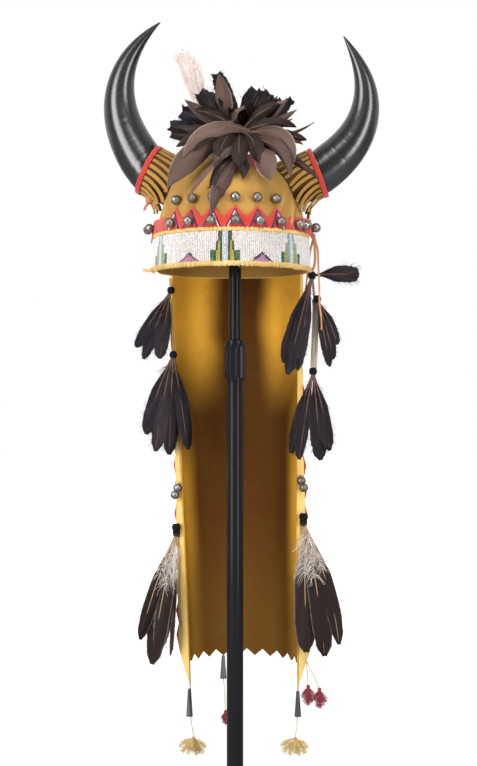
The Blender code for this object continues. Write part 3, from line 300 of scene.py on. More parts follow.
# Feather tables, in rows of azimuth, elevation, length, width, droop and roll: the angles are in degrees, and
# length and width are shares of the cluster's reach and vane. The broad feathers have more columns.
# A broad feather's shade darkens it: partly its own tone, partly painted shade where it lies in a hollow or
# behind others.
ROSETTE_BROAD = (
    # azimuth, elevation, length, width, droop, root roll, tip roll, shade, root out, back and up
    (-66, 30, 1.04, 0.72, 100, 34, -24, 0.00, 0.18, -0.08, -0.02),
    (-64, -6, 1.06, 0.98, 62, -18, 16, 0.35, -0.05, -0.16, -0.08),
    (-30, 4, 0.46, 0.56, 90, 24, -36, 0.70, 0.12, -0.02, -0.08),
    (-60, -10, 0.52, 0.38, 50, 60, -40, 0.60, 0.10, -0.25, -0.15),
    (-52, -24, 0.95, 0.26, 40, 46, 8, 0.00, 0.00, -0.22, -0.20),
    (-42, -46, 0.94, 0.56, 34, 12, -40, 0.45, 0.03, -0.22, -0.24),
    (-48, -30, 0.72, 0.50, 36, -24, 24, 0.90, 0.05, -0.16, -0.20),
    (62, 22, 0.84, 0.72, 108, -30, 30, 0.25, 0.11, -0.10, -0.03),
    (58, 4, 0.82, 0.56, 86, 34, -8, 0.50, 0.13, -0.18, -0.11),
    (34, -20, 0.66, 1.00, 50, -6, 44, 0.10, 0.15, -0.22, -0.18),
    (70, -14, 0.96, 0.32, 30, 24, 0, 0.90, 0.16, -0.12, -0.14),
    (8, -34, 0.50, 0.50, 50, -50, 40, 1.00, 0.04, -0.14, -0.17),
    (100, 44, 0.57, 0.54, 8, 6, 36, 0.00, 0.12, 0.05, 0.05),
    (96, 18, 0.56, 0.34, -16, -24, 34, 0.30, 0.16, 0.02, 0.04),
    (92, -8, 0.70, 0.20, -44, 30, 60, 0.40, 0.20, 0.00, -0.04),
    (90, 2, 0.54, 0.44, 30, -10, 44, 0.30, 0.22, -0.05, -0.02),
    (88, -4, 0.44, 0.32, 6, 34, -16, 0.30, 0.24, -0.08, -0.06),
    (100, 66, 0.32, 0.50, 20, 14, -14, 0.15, -0.12, -0.06, 0.06),
    (94, 4, 0.46, 0.28, -30, 0, 40, 0.50, 0.18, 0.02, 0.03),
    (-92, 12, 0.62, 0.50, 6, -10, 30, 0.85, -0.12, 0.04, 0.02),
    (-86, -6, 0.62, 0.40, 40, 20, -20, 0.55, -0.16, -0.06, -0.06),
    (-110, 84, 0.68, 0.74, 4, -10, 12, 0.50, -0.16, -0.02, 0.04),
    (-94, 40, 0.66, 0.60, 8, 10, 40, 0.75, -0.12, 0.02, 0.04),
)
ROSETTE_CROWN = (
    (-95, 71, 0.86, 0.70, 4, 90),
    (-95, 50, 0.78, 1.00, 6, 90),
    (-95, 30, 0.82, 0.85, 6, 90),
    (-99, 15, 0.92, 0.80, 4, 90),
    (-92, 4, 0.86, 0.60, -6, 80),
    (98, 74, 0.62, 0.90, 0, 84),
    (93, 59, 0.64, 0.90, 0, 96),
    (101, 46, 0.68, 0.85, 0, 86),
    (92, 37, 0.76, 0.60, -4, 80),
    (152, 54, 0.74, 1.10, 20, 20),
    (-166, 47, 0.74, 1.10, 20, -10),
    (138, 20, 0.76, 1.10, 30, 20),
    (-161, 14, 0.76, 1.20, 26, -10),
)
ROSETTE_PLUME = (
    (-100, 73, 1.00, 0.95, 2, 86),
    (-98, 77, 0.93, 0.80, 0, 80),
)
SIDE_UPPER_LEFT = (
    (-80, -56, 0.90, 0.85, 4, -80),
    (-72, -66, 1.00, 0.85, 4, -72),
    (-50, -77, 0.94, 0.90, 4, -50),
)
SIDE_LOWER_LEFT = (
    (-76, -64, 0.84, 0.86, 14, -76),
    (-64, -75, 0.98, 0.90, 8, -64),
    (-20, -84, 1.00, 0.90, 2, -20),
    (60, -77, 0.96, 0.80, 4, 60),
)
SIDE_UPPER_RIGHT = (
    (-86, -70, 0.88, 0.76, 4, 88),
    (-82, -75, 0.98, 0.76, 2, 82),
    (-80, -81, 0.92, 0.66, 0, -70),
    (90, 6, 0.45, 0.88, 12, 90),
)
SIDE_OUTER_RIGHT = (
    (90, -58, 0.48, 0.56, 16, 90),
    (88, -70, 0.60, 0.60, 10, 84),
    (86, -79, 0.66, 0.60, 0, 70),
)
SIDE_LOWER_RIGHT = (
    (-90, -72, 0.82, 0.72, 6, 90),
    (-84, -80, 0.86, 0.72, 2, 84),
    (86, -84, 0.86, 0.90, 2, 84),
    (92, -74, 0.78, 0.80, 8, 92),
)
TAIL_LEFT = (
    (-74, -66, 0.88, 0.66, 10, -74),
    (-66, -76, 1.04, 0.95, 6, -66),
    (-60, -81, 0.92, 0.80, 0, -50),
    (-70, -87, 0.96, 0.80, 0, 0),
)
TAIL_RIGHT = (
    (20, -86, 1.00, 0.96, 0, 20),
    (66, -75, 1.04, 0.90, 10, 66),
    (76, -63, 0.98, 0.62, 20, 76),
)

# Narrow feathers between the rosette's broad ones, in the same rows, painted dark as the shade between them
ROSETTE_FILL = (
    (-84, 24, 0.80, 0.60, 70, -80),
    (-52, 14, 0.72, 0.60, 70, -40),
    (-24, 6, 0.62, 0.70, 84, -20),
    (4, -6, 0.66, 0.70, 76, 6),
    (30, 2, 0.70, 0.70, 80, 30),
    (54, 16, 0.66, 0.70, 84, 50),
    (80, 30, 0.70, 0.46, 52, 84),
    (84, 8, 0.80, 0.40, 30, 78),
    (76, 56, 0.58, 0.44, 44, 84),
    (-78, 52, 0.60, 0.48, 50, 86),
)

# Locks of a tuft of down, in the same rows
DOWN_LOCKS = (
    (-90, -14, 0.98, 1.00, 34, 80),
    (-84, -40, 1.08, 1.00, 20, 90),
    (-60, -64, 1.00, 1.00, 10, 90),
    (90, -20, 0.94, 1.00, 34, 100),
    (80, -46, 1.06, 1.00, 20, 90),
    (60, -70, 1.00, 1.00, 10, 90),
    (0, -30, 0.70, 1.00, 40, 90),
    (20, -56, 0.86, 1.00, 20, 90),
    (180, -34, 0.70, 1.00, 40, 90),
)
RED_LOCKS = (
    (-80, -58, 0.80, 1.00, 20, 90),
    (80, -52, 0.86, 1.00, 26, 90),
    (-30, -74, 1.06, 1.00, 10, 90),
    (40, -70, 1.02, 1.00, 10, 90),
    (10, -84, 1.15, 1.00, 0, 90),
    (170, -66, 0.84, 1.00, 20, 90),
)

# Shares of a vane's full width along its length
POINTED_SHAPE = (
    (0.0, 0.14), (0.10, 0.30), (0.34, 0.92), (0.66, 1.00), (0.86, 0.74), (0.96, 0.36), (1.0, 0.05),
)
BROAD_SHAPE = (
    (0.0, 0.14), (0.12, 0.46), (0.38, 0.98), (0.60, 0.94), (0.80, 0.62), (0.93, 0.26), (1.0, 0.02),
)
VANE_SHAPE = ((0.0, 0.10), (0.17, 0.20), (0.42, 0.92), (0.75, 1.00), (0.92, 0.74), (1.0, 0.16))
CLIPPED_SHAPE = ((0.0, 0.10), (0.17, 0.22), (0.42, 0.92), (0.75, 1.00), (1.0, 0.62))
PLUME_SHAPE = ((0.0, 0.10), (0.42, 0.14), (0.67, 1.00), (0.92, 0.90), (1.0, 0.30))


def length_setting(name, description, value, low, high):
    """A length in metres that a user may change."""
    return FloatProperty(name=name, description=description, default=value, min=low, max=high, unit="LENGTH")


def count_setting(name, description, value, low, high):
    """A number of pieces that a user may change."""
    return IntProperty(name=name, description=description, default=value, min=low, max=high)


def power_setting(name, description, value):
    """A light's power in watts, which a user may change."""
    return FloatProperty(name=name, description=description, default=value, min=0.0, max=500.0, unit="POWER")


def colour_setting(name, description, value):
    """A linear colour that a user may change."""
    return FloatVectorProperty(
        name=name, description=description, default=value, size=3, min=0.0, max=1.0, subtype="COLOR"
    )


class HeaddressSizes(PropertyGroup):
    bead_pitch: length_setting("Bead pitch", "Between the strings of beads on the band", 0.0022, 0.001, 0.006)
    bead_rise: length_setting("Bead rise", "Height that one bead takes on its string", 0.00155, 0.0008, 0.005)
    stitch_pitch: length_setting("Stitch pitch", "Between the sinew stitches of a seam", 0.0060, 0.002, 0.03)
    fringe_strips: count_setting("Fringe strips", "Cut hide strips round each horn's cuff", 24, 6, 60)
    fringe_width: length_setting("Fringe width", "Width of one strip of the fringe", 0.0050, 0.001, 0.02)
    horn_ridge: length_setting("Horn ridge", "How far the growth ridges stand out", 0.00008, 0.0, 0.002)
    vane_wall: length_setting("Vane thickness", "Thickness of a feather's vane", 0.0004, 0.0001, 0.002)
    hide_wall: length_setting("Hide thickness", "Thickness of the cap's hide", 0.0020, 0.0005, 0.005)
    down_barbs: count_setting("Down barbs", "Fine barbs in each lock of dyed down", 80, 10, 400)


class HeaddressColours(PropertyGroup):
    hide: colour_setting("Hide", "Smoked golden hide of the cap and cuffs", (0.43, 0.240, 0.050))
    # Hide shade is the hide's handled places; darkened, it is also the painted shade on the cuffs under their
    # fringes.
    hide_shade: colour_setting("Hide shade", "Handled places on the hide", (0.27, 0.120, 0.022))
    # The trailer's dark colour is painted shade for its middle, and its gold colour is painted light for its
    # sides, top and folds.
    trailer_dark: colour_setting("Trailer dark", "Darkened middle of the trailer", (0.080, 0.028, 0.004))
    trailer_olive: colour_setting("Trailer olive", "Olive lower end of the trailer", (0.15, 0.068, 0.010))
    trailer_gold: colour_setting("Trailer gold", "Bright places on the trailer", (0.92, 0.47, 0.050))
    # The flange colour is the folded hide's pale face, painted brighter still as light falling from the
    # sides.
    flange: colour_setting("Flange", "Pale face of the trailer's folded edges", (0.83, 0.58, 0.20))
    binding: colour_setting("Binding", "Rolled hide along the brow band", (0.80, 0.55, 0.20))
    thong: colour_setting("Thong", "Orange tan hide thongs", (0.62, 0.27, 0.11))
    cloth: colour_setting("Red cloth", "Red wool cloth", (0.62, 0.046, 0.032))
    horn: colour_setting("Horn", "Polished black horn", (0.007, 0.0065, 0.0075))
    white_bead: colour_setting("White beads", "Ground of the brow band", (0.95, 0.91, 0.90))
    pale_bead: colour_setting("Pale blue beads", "Light lines in the stepped towers", (0.62, 0.76, 0.88))
    dark_bead: colour_setting("Dark green beads", "Uprights of the stepped towers", (0.006, 0.085, 0.065))
    green_bead: colour_setting("Green beads", "Feet of the stepped towers", (0.012, 0.20, 0.10))
    yellow_bead: colour_setting("Yellow beads", "Cores of the stepped towers", (0.62, 0.46, 0.05))
    pink_bead: colour_setting("Pink beads", "Filling of the triangles", (0.60, 0.30, 0.50))
    navy_bead: colour_setting("Navy beads", "Outlines of triangles and points", (0.020, 0.016, 0.085))
    bell: colour_setting("Bell metal", "Tarnished bell metal", (0.13, 0.118, 0.112))
    brown_feather: colour_setting("Brown feather", "Broad rosette feathers", (0.120, 0.076, 0.058))
    black_feather: colour_setting("Black feather", "Dark feathers", (0.0105, 0.0068, 0.0062))
    feather_edge: colour_setting("Feather edge", "Pale edge of a worn vane", (0.56, 0.42, 0.38))
    shaft: colour_setting("Shaft", "Shafts of the dark feathers", (0.075, 0.042, 0.028))
    plume: colour_setting("Plume", "White and tan plume", (0.84, 0.73, 0.68))
    tail_pale: colour_setting("Tail root", "Pale root of a tail feather", (0.88, 0.80, 0.72))
    tail_brown: colour_setting("Tail tip", "Brown end of a tail feather", (0.038, 0.022, 0.017))
    tin: colour_setting("Tin", "Dark rolled tin", (0.075, 0.075, 0.085))
    yellow_down: colour_setting("Yellow down", "Yellow dyed down", (0.74, 0.53, 0.17))
    red_down: colour_setting("Red down", "Red dyed down", (0.30, 0.012, 0.030))
    quill: colour_setting("Quill", "Flat tan quill", (0.42, 0.34, 0.26))
    stand: colour_setting("Stand", "Black satin paint", (0.010, 0.010, 0.012))
    floor: colour_setting("Floor", "Pale studio floor", (0.90, 0.90, 0.90))


class StudioSettings(PropertyGroup):
    camera_azimuth: FloatProperty(
        name="Camera azimuth",
        description="Turn of the camera round the stand",
        default=math.radians(5.6),
        subtype="ANGLE",
    )
    camera_height: length_setting("Camera height", "Height of the lens above the floor", 0.560, 0.0, 10.0)
    camera_distance: length_setting("Camera distance", "From the lens to the pole", 1.600, 0.2, 20.0)
    lens: FloatProperty(name="Lens", description="Focal length in mm on a 36 mm sensor", default=62.65)
    frame_shift: FloatProperty(
        name="Frame shift", description="Sideways shift as a share of the long side", default=3.5 / 766
    )
    key_power: power_setting("Key light", "Power of the soft light at the left", 38.0)
    fill_power: power_setting("Fill light", "Power of the soft light at the right", 24.0)
    top_power: power_setting("Top light", "Power of the soft light above the front", 24.0)
    sky: FloatProperty(name="Surround", description="Strength of the light from the front", default=0.20)


def sizes():
    """The sizes that a user has set."""
    return bpy.context.scene.headdress_sizes


def colours():
    """The colours that a user has set."""
    return bpy.context.scene.headdress_colours


def studio():
    """The studio settings that a user has set."""
    return bpy.context.scene.headdress_studio


def unit(vectors):
    """Vectors divided by their lengths."""
    vectors = np.asarray(vectors, float)
    return vectors / np.maximum(np.linalg.norm(vectors, axis=-1, keepdims=True), 1e-12)


def smooth_step(value, low, high):
    """0 below low, 1 above high and 3t^2 - 2t^3 between them."""
    share = np.clip((np.asarray(value, float) - low) / (high - low), 0.0, 1.0)
    return share * share * (3.0 - 2.0 * share)


def eased(table, count):
    """A table of rows carried to count rows: a cubic through them, whose slopes are their own differences."""
    rows = np.asarray(table, float)
    at = np.linspace(0.0, len(rows) - 1.0, count)
    low = np.minimum(at.astype(int), len(rows) - 2)
    share = (at - low)[:, None]
    slopes = np.gradient(rows, axis=0)
    return (
        (2 * share**3 - 3 * share**2 + 1) * rows[low]
        + (share**3 - 2 * share**2 + share) * slopes[low]
        + (3 * share**2 - 2 * share**3) * rows[low + 1]
        + (share**3 - share**2) * slopes[low + 1]
    )


def form_of(points, faces, course=None, tint=(0.0, 0.0, 0.0)):
    """A form from points of any grid, its faces, and its course and tint at each point."""
    points = np.asarray(points, float).reshape(-1, 3)
    course = np.zeros((len(points), 2)) if course is None else np.asarray(course, float).reshape(-1, 2)
    tint = np.broadcast_to(np.asarray(tint, float), (len(points), 3)) if np.ndim(tint) == 1 else tint
    return points, np.asarray(faces, int), course, np.asarray(tint, float).reshape(-1, 3)


def grid_faces(rows, columns, around=False, along=False):
    """The corners of each cell of a grid of points. Around joins its last column to its first, and along does
    the same for its rows."""
    i = np.arange(rows if along else rows - 1)[:, None]
    j = np.arange(columns if around else columns - 1)[None, :]
    beside, above = (j + 1) % columns, (i + 1) % rows
    cells = (i * columns + j, i * columns + beside, above * columns + beside, above * columns + j)
    return np.stack(np.broadcast_arrays(*cells), axis=-1).reshape(-1, 4)


def shares(rows, columns):
    """Across and along shares at each point of a grid."""
    along, across = np.meshgrid(np.linspace(0, 1, rows), np.linspace(0, 1, columns), indexing="ij")
    return np.stack([across, along], axis=-1)


def ring_shares(rows, columns):
    """Across and along shares of a grid of rings: across goes to 1 and back again round each."""
    course = shares(rows, columns)
    course[..., 0] = 1.0 - np.abs(2.0 * course[..., 0] - 1.0)
    return course.reshape(-1, 2)


def fan(ring, pole):
    """Triangles from each side of a closed ring of point numbers to a pole."""
    return np.stack([ring, np.roll(ring, -1), np.full(len(ring), pole), np.full(len(ring), -1)], axis=1)


def turned_over(faces):
    """The faces with their corners in the other order."""
    back = faces[:, ::-1]
    return np.where(faces[:, 3:] < 0, np.roll(back, -1, axis=1), back)


def joined(forms):
    """Several forms as one."""
    starts = np.cumsum([0] + [len(form[0]) for form in forms[:-1]])
    faces = [np.where(form[1] < 0, -1, form[1] + start) for form, start in zip(forms, starts)]
    return (
        np.concatenate([form[0] for form in forms]),
        np.concatenate(faces),
        np.concatenate([form[2] for form in forms]),
        np.concatenate([form[3] for form in forms]),
    )


def triangles_of(faces):
    """Each face's triangles, as three corner numbers."""
    fourth = faces[:, 3] >= 0
    return np.concatenate([faces[:, :3], faces[fourth][:, [0, 2, 3]]])


def outward(form):
    """The closed form with its faces turned outwards, which makes the volume (a . b x c) / 6 positive."""
    points, faces, course, tint = form
    a, b, c = (points[triangles_of(faces)[:, k]] for k in range(3))
    if (a * np.cross(b, c)).sum() >= 0:
        return form
    return points, turned_over(faces), course, tint


def point_normals(points, faces):
    """At each point the unit sum of the cross products of the triangles that meet there."""
    triangles = triangles_of(faces)
    a, b, c = (points[triangles[:, k]] for k in range(3))
    normals = np.zeros_like(points)
    np.add.at(normals, triangles.ravel(), np.repeat(np.cross(b - a, c - a), 3, axis=0))
    return unit(normals)


def walled(form, wall, side=1.0):
    """A closed wall on an open surface: a copy moved by wall along the normals (side 1), against them (side
    -1) or half each way (side 0), joined to it round every open edge."""
    points, faces, course, tint = form
    normals = point_normals(points, faces) * wall
    top = points + normals * (1.0 if side > 0 else 0.0 if side < 0 else 0.5)
    under = points - normals * (0.0 if side > 0 else 1.0 if side < 0 else 0.5)
    count = len(points)
    starts = np.concatenate([faces[:, k] for k in range(4)])
    after = np.roll(faces, -1, axis=1)
    ends = np.concatenate([np.where(after[:, k] < 0, faces[:, 0], after[:, k]) for k in range(4)])
    real = starts >= 0
    starts, ends = starts[real], ends[real]
    key = np.minimum(starts, ends) * count + np.maximum(starts, ends)
    _, place, uses = np.unique(key, return_inverse=True, return_counts=True)
    rim = uses[place] == 1
    a, b = starts[rim], ends[rim]
    edge = np.stack([b, a, a + count, b + count], axis=1)
    lower = turned_over(faces)
    lower = np.where(lower < 0, -1, lower + count)
    return (
        np.concatenate([top, under]),
        np.concatenate([faces, lower, edge]),
        np.concatenate([course, course]),
        np.concatenate([tint, tint]),
    )


def loft(rings, first=None, last=None, tint=(0.0, 0.0, 0.0)):
    """A closed form through rings of points, a grid of rings by points: it ends in a pole at first and at
    last, or its last ring joins its first."""
    count, corners = rings.shape[:2]
    turning = first is None
    faces = grid_faces(count, corners, around=True, along=turning)
    points = rings.reshape(-1, 3)
    course = ring_shares(count, corners)
    if not turning:
        ring, final = np.arange(corners), (count - 1) * corners
        faces = np.concatenate([faces, fan(ring[::-1], len(points)), fan(final + ring, len(points) + 1)])
        points = np.concatenate([points, [first], [last]])
        course = np.concatenate([course, [(0.5, 0.0), (0.5, 1.0)]])
    return outward(form_of(points, faces, course, tint))


def strands(paths, face, half_widths, half_walls, sides=8, square=1.0, tint=(0.0, 0.0, 0.0)):
    """Round or flat strands, all at once, along paths given as strands by steps by three. Each ring is
    path + w c(t) across + h s(t) up, with across square to the path and the face, up across the two, and
    c and s the cosine and sine to the power square, which makes a box of a small square. Both ends close."""
    paths = np.asarray(paths, float)
    count, steps = paths.shape[:2]
    tangents = unit(np.gradient(paths, axis=1))
    across = unit(np.cross(tangents, np.broadcast_to(face, paths.shape)))
    up = np.cross(across, tangents)
    turn = 2 * math.pi * np.arange(sides) / sides + math.pi / sides
    wide = np.sign(np.cos(turn)) * np.abs(np.cos(turn)) ** square
    high = np.sign(np.sin(turn)) * np.abs(np.sin(turn)) ** square
    half_widths = np.broadcast_to(half_widths, (count, steps))[..., None, None]
    half_walls = np.broadcast_to(half_walls, (count, steps))[..., None, None]
    rings = (
        paths[:, :, None]
        + half_widths * wide[None, None, :, None] * across[:, :, None]
        + half_walls * high[None, None, :, None] * up[:, :, None]
    )
    each = steps * sides + 2
    points = np.concatenate([rings.reshape(count, -1, 3), paths[:, :1], paths[:, -1:]], axis=1)
    cells = grid_faces(steps, sides, around=True)[:, ::-1]
    ring, final = np.arange(sides), (steps - 1) * sides
    one = np.concatenate([cells, fan(ring, each - 2), fan(final + ring[::-1], each - 1)])
    faces = one[None] + (np.arange(count) * each)[:, None, None]
    faces = np.where(one[None] < 0, -1, faces).reshape(-1, 4)
    course = np.concatenate([ring_shares(steps, sides), [(0.5, 0.0), (0.5, 1.0)]])
    tint = np.asarray(tint, float)
    tint = np.repeat(tint, each, axis=0) if tint.ndim > 1 else tint
    return form_of(points, faces, np.tile(course, (count, 1)), tint)


def lathe(profile, columns=64, swell=None):
    """A solid of revolution about the Z axis: point = (r cos t, r sin t, z) for each (r, z) of the profile,
    which starts and ends on the axis; swell gives each ring's radius a factor by the turn."""
    profile = np.asarray(profile, float)
    turn = 2 * math.pi * np.arange(columns) / columns
    radius = profile[1:-1, 0][:, None] * np.ones(columns)
    if swell is not None:
        radius = radius * swell(profile[1:-1, 1][:, None], turn[None, :])
    height = np.broadcast_to(profile[1:-1, 1][:, None], radius.shape)
    rings = np.stack([radius * np.cos(turn), radius * np.sin(turn), height], axis=-1)
    return loft(rings, (0.0, 0.0, profile[0, 1]), (0.0, 0.0, profile[-1, 1]))


def rounded(corners, radius, steps=4):
    """A profile whose inner corners are cut back by a radius and bowed: each is the curve
    (1-t)^2 a + 2t(1-t) c + t^2 b between the points a and b on its two sides."""
    corners = np.asarray(corners, float)
    before, corner, after = corners[:-2], corners[1:-1], corners[2:]
    reach = np.minimum(
        radius,
        0.45 * np.minimum(np.linalg.norm(before - corner, axis=1), np.linalg.norm(after - corner, axis=1)),
    )[:, None]
    a = (corner + unit(before - corner) * reach)[:, None]
    b = (corner + unit(after - corner) * reach)[:, None]
    t = np.linspace(0.0, 1.0, steps)[None, :, None]
    bows = (1 - t) ** 2 * a + 2 * t * (1 - t) * corner[:, None] + t**2 * b
    return np.concatenate([corners[:1], bows.reshape(-1, corners.shape[1]), corners[-1:]])


def ball_form(columns=24, rows=14, ridge=0.0, slit=0.0):
    """A unit ball about its own Z: r = 1 + ridge e^(-(z / 0.07)^2), less slit e^(-(x / 0.09)^2) on its lower
    half."""
    lift = np.pi * (np.arange(1, rows) / rows) - np.pi / 2
    turn = 2 * np.pi * np.arange(columns) / columns
    level, around = np.meshgrid(lift, turn, indexing="ij")
    base = np.stack([np.cos(level) * np.cos(around), np.cos(level) * np.sin(around), np.sin(level)], axis=-1)
    x, y, z = np.moveaxis(base, -1, 0)
    radius = 1.0 + ridge * np.exp(-((z / 0.07) ** 2))
    radius -= slit * np.exp(-((x / 0.09) ** 2)) * (z < -0.1) * (np.abs(y) < 0.8)
    return loft(base * radius[..., None], (0, 0, -1.0), (0, 0, 1.0))


def bead_form():
    """A seed bead about its own Z: six sides, a waist of full width and drawn-in ends."""
    turn = 2 * np.pi * np.arange(6) / 6
    rings = [
        np.stack([r * np.cos(turn), r * np.sin(turn), np.full(6, z)], axis=-1)
        for r, z in ((0.62, -1.0), (1.0, -0.45), (1.0, 0.45), (0.62, 1.0))
    ]
    return loft(np.array(rings), (0, 0, -0.86), (0, 0, 0.86))


def copies(form, places, frames, scale, tints):
    """One small form at many places at once: point = place + scale (x a + y b + z c) for its frame abc."""
    points, faces, course, _ = form
    places = np.asarray(places, float)
    count = len(places)
    scaled = points * np.broadcast_to(scale, (count, 3))[:, None]
    moved = places[:, None] + np.einsum("npk,nkc->npc", scaled, frames)
    starts = (np.arange(count) * len(points))[:, None, None]
    many = np.where(faces[None] < 0, -1, faces[None] + starts).reshape(-1, 4)
    return form_of(moved, many, np.tile(course, (count, 1)), np.repeat(tints, len(points), axis=0))


def frames_along(direction, beside):
    """Frames whose third axis is the direction and whose first is as near as can be to beside."""
    direction = unit(direction)
    second = unit(np.cross(direction, np.broadcast_to(beside, direction.shape)))
    first = np.cross(second, direction)
    return np.stack([first, second, direction], axis=-2)


def add_piece(name, form, material, nodes=(), crease=40.0):
    """A mesh object at the origin that rides on the headdress and stands for its CAD nodes."""
    points, faces, course, tint = form
    corners = faces.ravel()
    corners = corners[corners >= 0]
    totals = (faces >= 0).sum(axis=1)
    mesh = bpy.data.meshes.new(name)
    mesh.vertices.add(len(points))
    mesh.vertices.foreach_set("co", points.astype(np.float32).ravel())
    mesh.loops.add(len(corners))
    mesh.polygons.add(len(faces))
    mesh.polygons.foreach_set("loop_start", np.concatenate([[0], np.cumsum(totals)[:-1]]).astype(np.int32))
    mesh.polygons.foreach_set("vertices", corners.astype(np.int32))
    mesh.update(calc_edges=True)
    layer = mesh.uv_layers.new(name="course")
    layer.data.foreach_set("uv", course[corners].astype(np.float32).ravel())
    tinted = mesh.attributes.new("tint", "FLOAT_COLOR", "POINT")
    colour = np.concatenate([tint, np.ones((len(tint), 1))], axis=1)
    tinted.data.foreach_set("color", colour.astype(np.float32).ravel())
    if mesh.validate():
        raise ValueError(f"{name} has faces that don't close")
    mesh.shade_smooth()
    mesh.set_sharp_from_angle(angle=math.radians(crease))
    mesh.materials.append(material)
    made = bpy.data.objects.new(name, mesh)
    bpy.context.scene.collection.objects.link(made)
    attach(made, "root")
    if nodes:
        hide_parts(*nodes)
    return made


def crown_plan(height):
    """The crown's plan size at a height: (1 - (h / H)^F)^(1 / F)."""
    share = np.clip(np.asarray(height, float) / CROWN_HEIGHT, 0.0, 1.0)
    return (1.0 - share**CROWN_FULLNESS) ** (1.0 / CROWN_FULLNESS)


def fold_raise(azimuth, height):
    """How far the folds stand out: the sum of raise cos^2 cos^2 over each fold's spread and rise."""
    azimuth, height = np.broadcast_arrays(azimuth, height)
    raised = np.zeros(azimuth.shape)
    for centre, spread, middle, rise, share in CROWN_FOLDS:
        across = np.minimum(np.abs((azimuth - centre + 180.0) % 360.0 - 180.0) / spread, 1.0)
        along = np.minimum(np.abs(height / CROWN_HEIGHT - middle) / rise, 1.0)
        raised += FOLD_RAISE * share * np.cos(across * np.pi / 2) ** 2 * np.cos(along * np.pi / 2) ** 2
    return raised


def crown_normal(azimuth, height):
    """The outward direction: (p sin a / W, -p cos a / L, (h / H)^(F - 1) / H) as a unit, p = plan^(F - 1)."""
    turn = np.radians(azimuth)
    share = np.clip(np.asarray(height, float), 0.0, CROWN_HEIGHT) / CROWN_HEIGHT
    steep = np.maximum(crown_plan(height), 1e-4) ** (CROWN_FULLNESS - 1.0)
    climb = share ** (CROWN_FULLNESS - 1.0) / CROWN_HEIGHT
    across = steep * np.sin(turn) / CROWN_HALF_WIDTH
    forth = -steep * np.cos(turn) / CROWN_HALF_LENGTH
    return unit(np.stack(np.broadcast_arrays(across, forth, climb), axis=-1))


def crown_point(azimuth, height, out=0.0):
    """A place on the crown, so far out: (X + W plan sin a, -L plan cos a, rim + h) + (fold + out) normal."""
    azimuth, height, out = (np.asarray(value, float) for value in (azimuth, height, out))
    turn = np.radians(azimuth)
    plan = crown_plan(height)
    across = CAP_X + CROWN_HALF_WIDTH * plan * np.sin(turn)
    forth = -CROWN_HALF_LENGTH * plan * np.cos(turn)
    place = np.stack(np.broadcast_arrays(across, forth, RIM_HEIGHT + height), axis=-1)
    stand = np.broadcast_to(fold_raise(azimuth, height) + out, place.shape[:-1])
    return place + stand[..., None] * crown_normal(azimuth, height)


def crown_level(share):
    """The height at a share of the climb from the rim to the top: H sin(90 s)^(2 / F)."""
    return CROWN_HEIGHT * np.sin(np.pi / 2 * np.asarray(share, float)) ** (2.0 / CROWN_FULLNESS)


def level_along(azimuth):
    """The level direction round the crown at an azimuth: (cos a, sin a, 0)."""
    turn = np.radians(azimuth)
    return np.stack([np.cos(turn), np.sin(turn), 0.0 * turn], axis=-1)


def wrap_azimuth(arc):
    """The azimuth reached by walking an arc round the rim: the sum of hypot(W cos a, L sin a) da."""
    turn = np.radians(np.arange(0.0, 140.0, 0.05))
    steps = np.hypot(CROWN_HALF_WIDTH * np.cos(turn), CROWN_HALF_LENGTH * np.sin(turn)) * math.radians(0.05)
    walked = np.concatenate([[0.0], np.cumsum(steps)[:-1]])
    return np.sign(arc) * np.degrees(np.interp(np.abs(arc), walked, turn))


def crown_seat(x, y, out):
    """A place so far above the crown, near its top: h = H (1 - s^F)^(1 / F), s the plan share of x and y."""
    share = np.hypot((x - CAP_X) / CROWN_HALF_WIDTH, y / CROWN_HALF_LENGTH)
    height = CROWN_HEIGHT * (1.0 - share**CROWN_FULLNESS) ** (1.0 / CROWN_FULLNESS)
    return np.array([x, y, RIM_HEIGHT + height + out])


def push_clear(places, clearance):
    """Points moved out of the crown along its normal until they stand at least the clearance off it."""
    places = np.asarray(places, float)
    across = (places[..., 0] - CAP_X) / CROWN_HALF_WIDTH
    azimuth = np.degrees(np.arctan2(across, -places[..., 1] / CROWN_HALF_LENGTH))
    height = np.clip(places[..., 2] - RIM_HEIGHT, 0.0, CROWN_HEIGHT * 0.97)
    normal = crown_normal(azimuth, height)
    depth = ((places - crown_point(azimuth, height)) * normal).sum(axis=-1)
    return places + normal * np.maximum(clearance - depth, 0.0)[..., None]


def cloth_out(arc):
    """How far the red cloth stands off the hide: its ends flare away from the cap in a straight line."""
    share = np.maximum(np.abs(arc) - FLARE_ARC, 0.0) / (CLOTH_ARC / 2 - FLARE_ARC)
    return SKIN_GAP + CLOTH_FLARE * share


def down_to_crown(starts, axis, furthest):
    """How far each point goes back along the axis until it meets the crown, by halving the interval 24 times.
    The crown is where hypot(x / W, y / L)^F + (z / H)^F = 1."""

    def within(distance):
        """Whether each point is in the crown once it has gone back so far."""
        places = starts - axis * distance[:, None]
        across = (places[:, 0] - CAP_X) / (CROWN_HALF_WIDTH + SEAT_GAP)
        plan = np.hypot(across, places[:, 1] / (CROWN_HALF_LENGTH + SEAT_GAP))
        climb = np.maximum(places[:, 2] - RIM_HEIGHT, 0.0) / (CROWN_HEIGHT + SEAT_GAP)
        return plan**CROWN_FULLNESS + climb**CROWN_FULLNESS < 1.0

    low = np.zeros(len(starts))
    high = np.full(len(starts), furthest)
    met = within(high)
    for _ in range(24):
        middle = (low + high) / 2
        inside = within(middle)
        high = np.where(inside, middle, high)
        low = np.where(inside, low, middle)
    return np.where(met, high, furthest)


def waves(values, seed, count=5):
    """A smooth wandering value of unit size: the mean of sines with random speeds and starts."""
    dice = np.random.default_rng(seed)
    speeds, starts = dice.uniform(0.6, 3.2, count), dice.uniform(0.0, 2 * np.pi, count)
    return np.mean([np.sin(speed * values + start) for speed, start in zip(speeds, starts)], axis=0) * 1.6


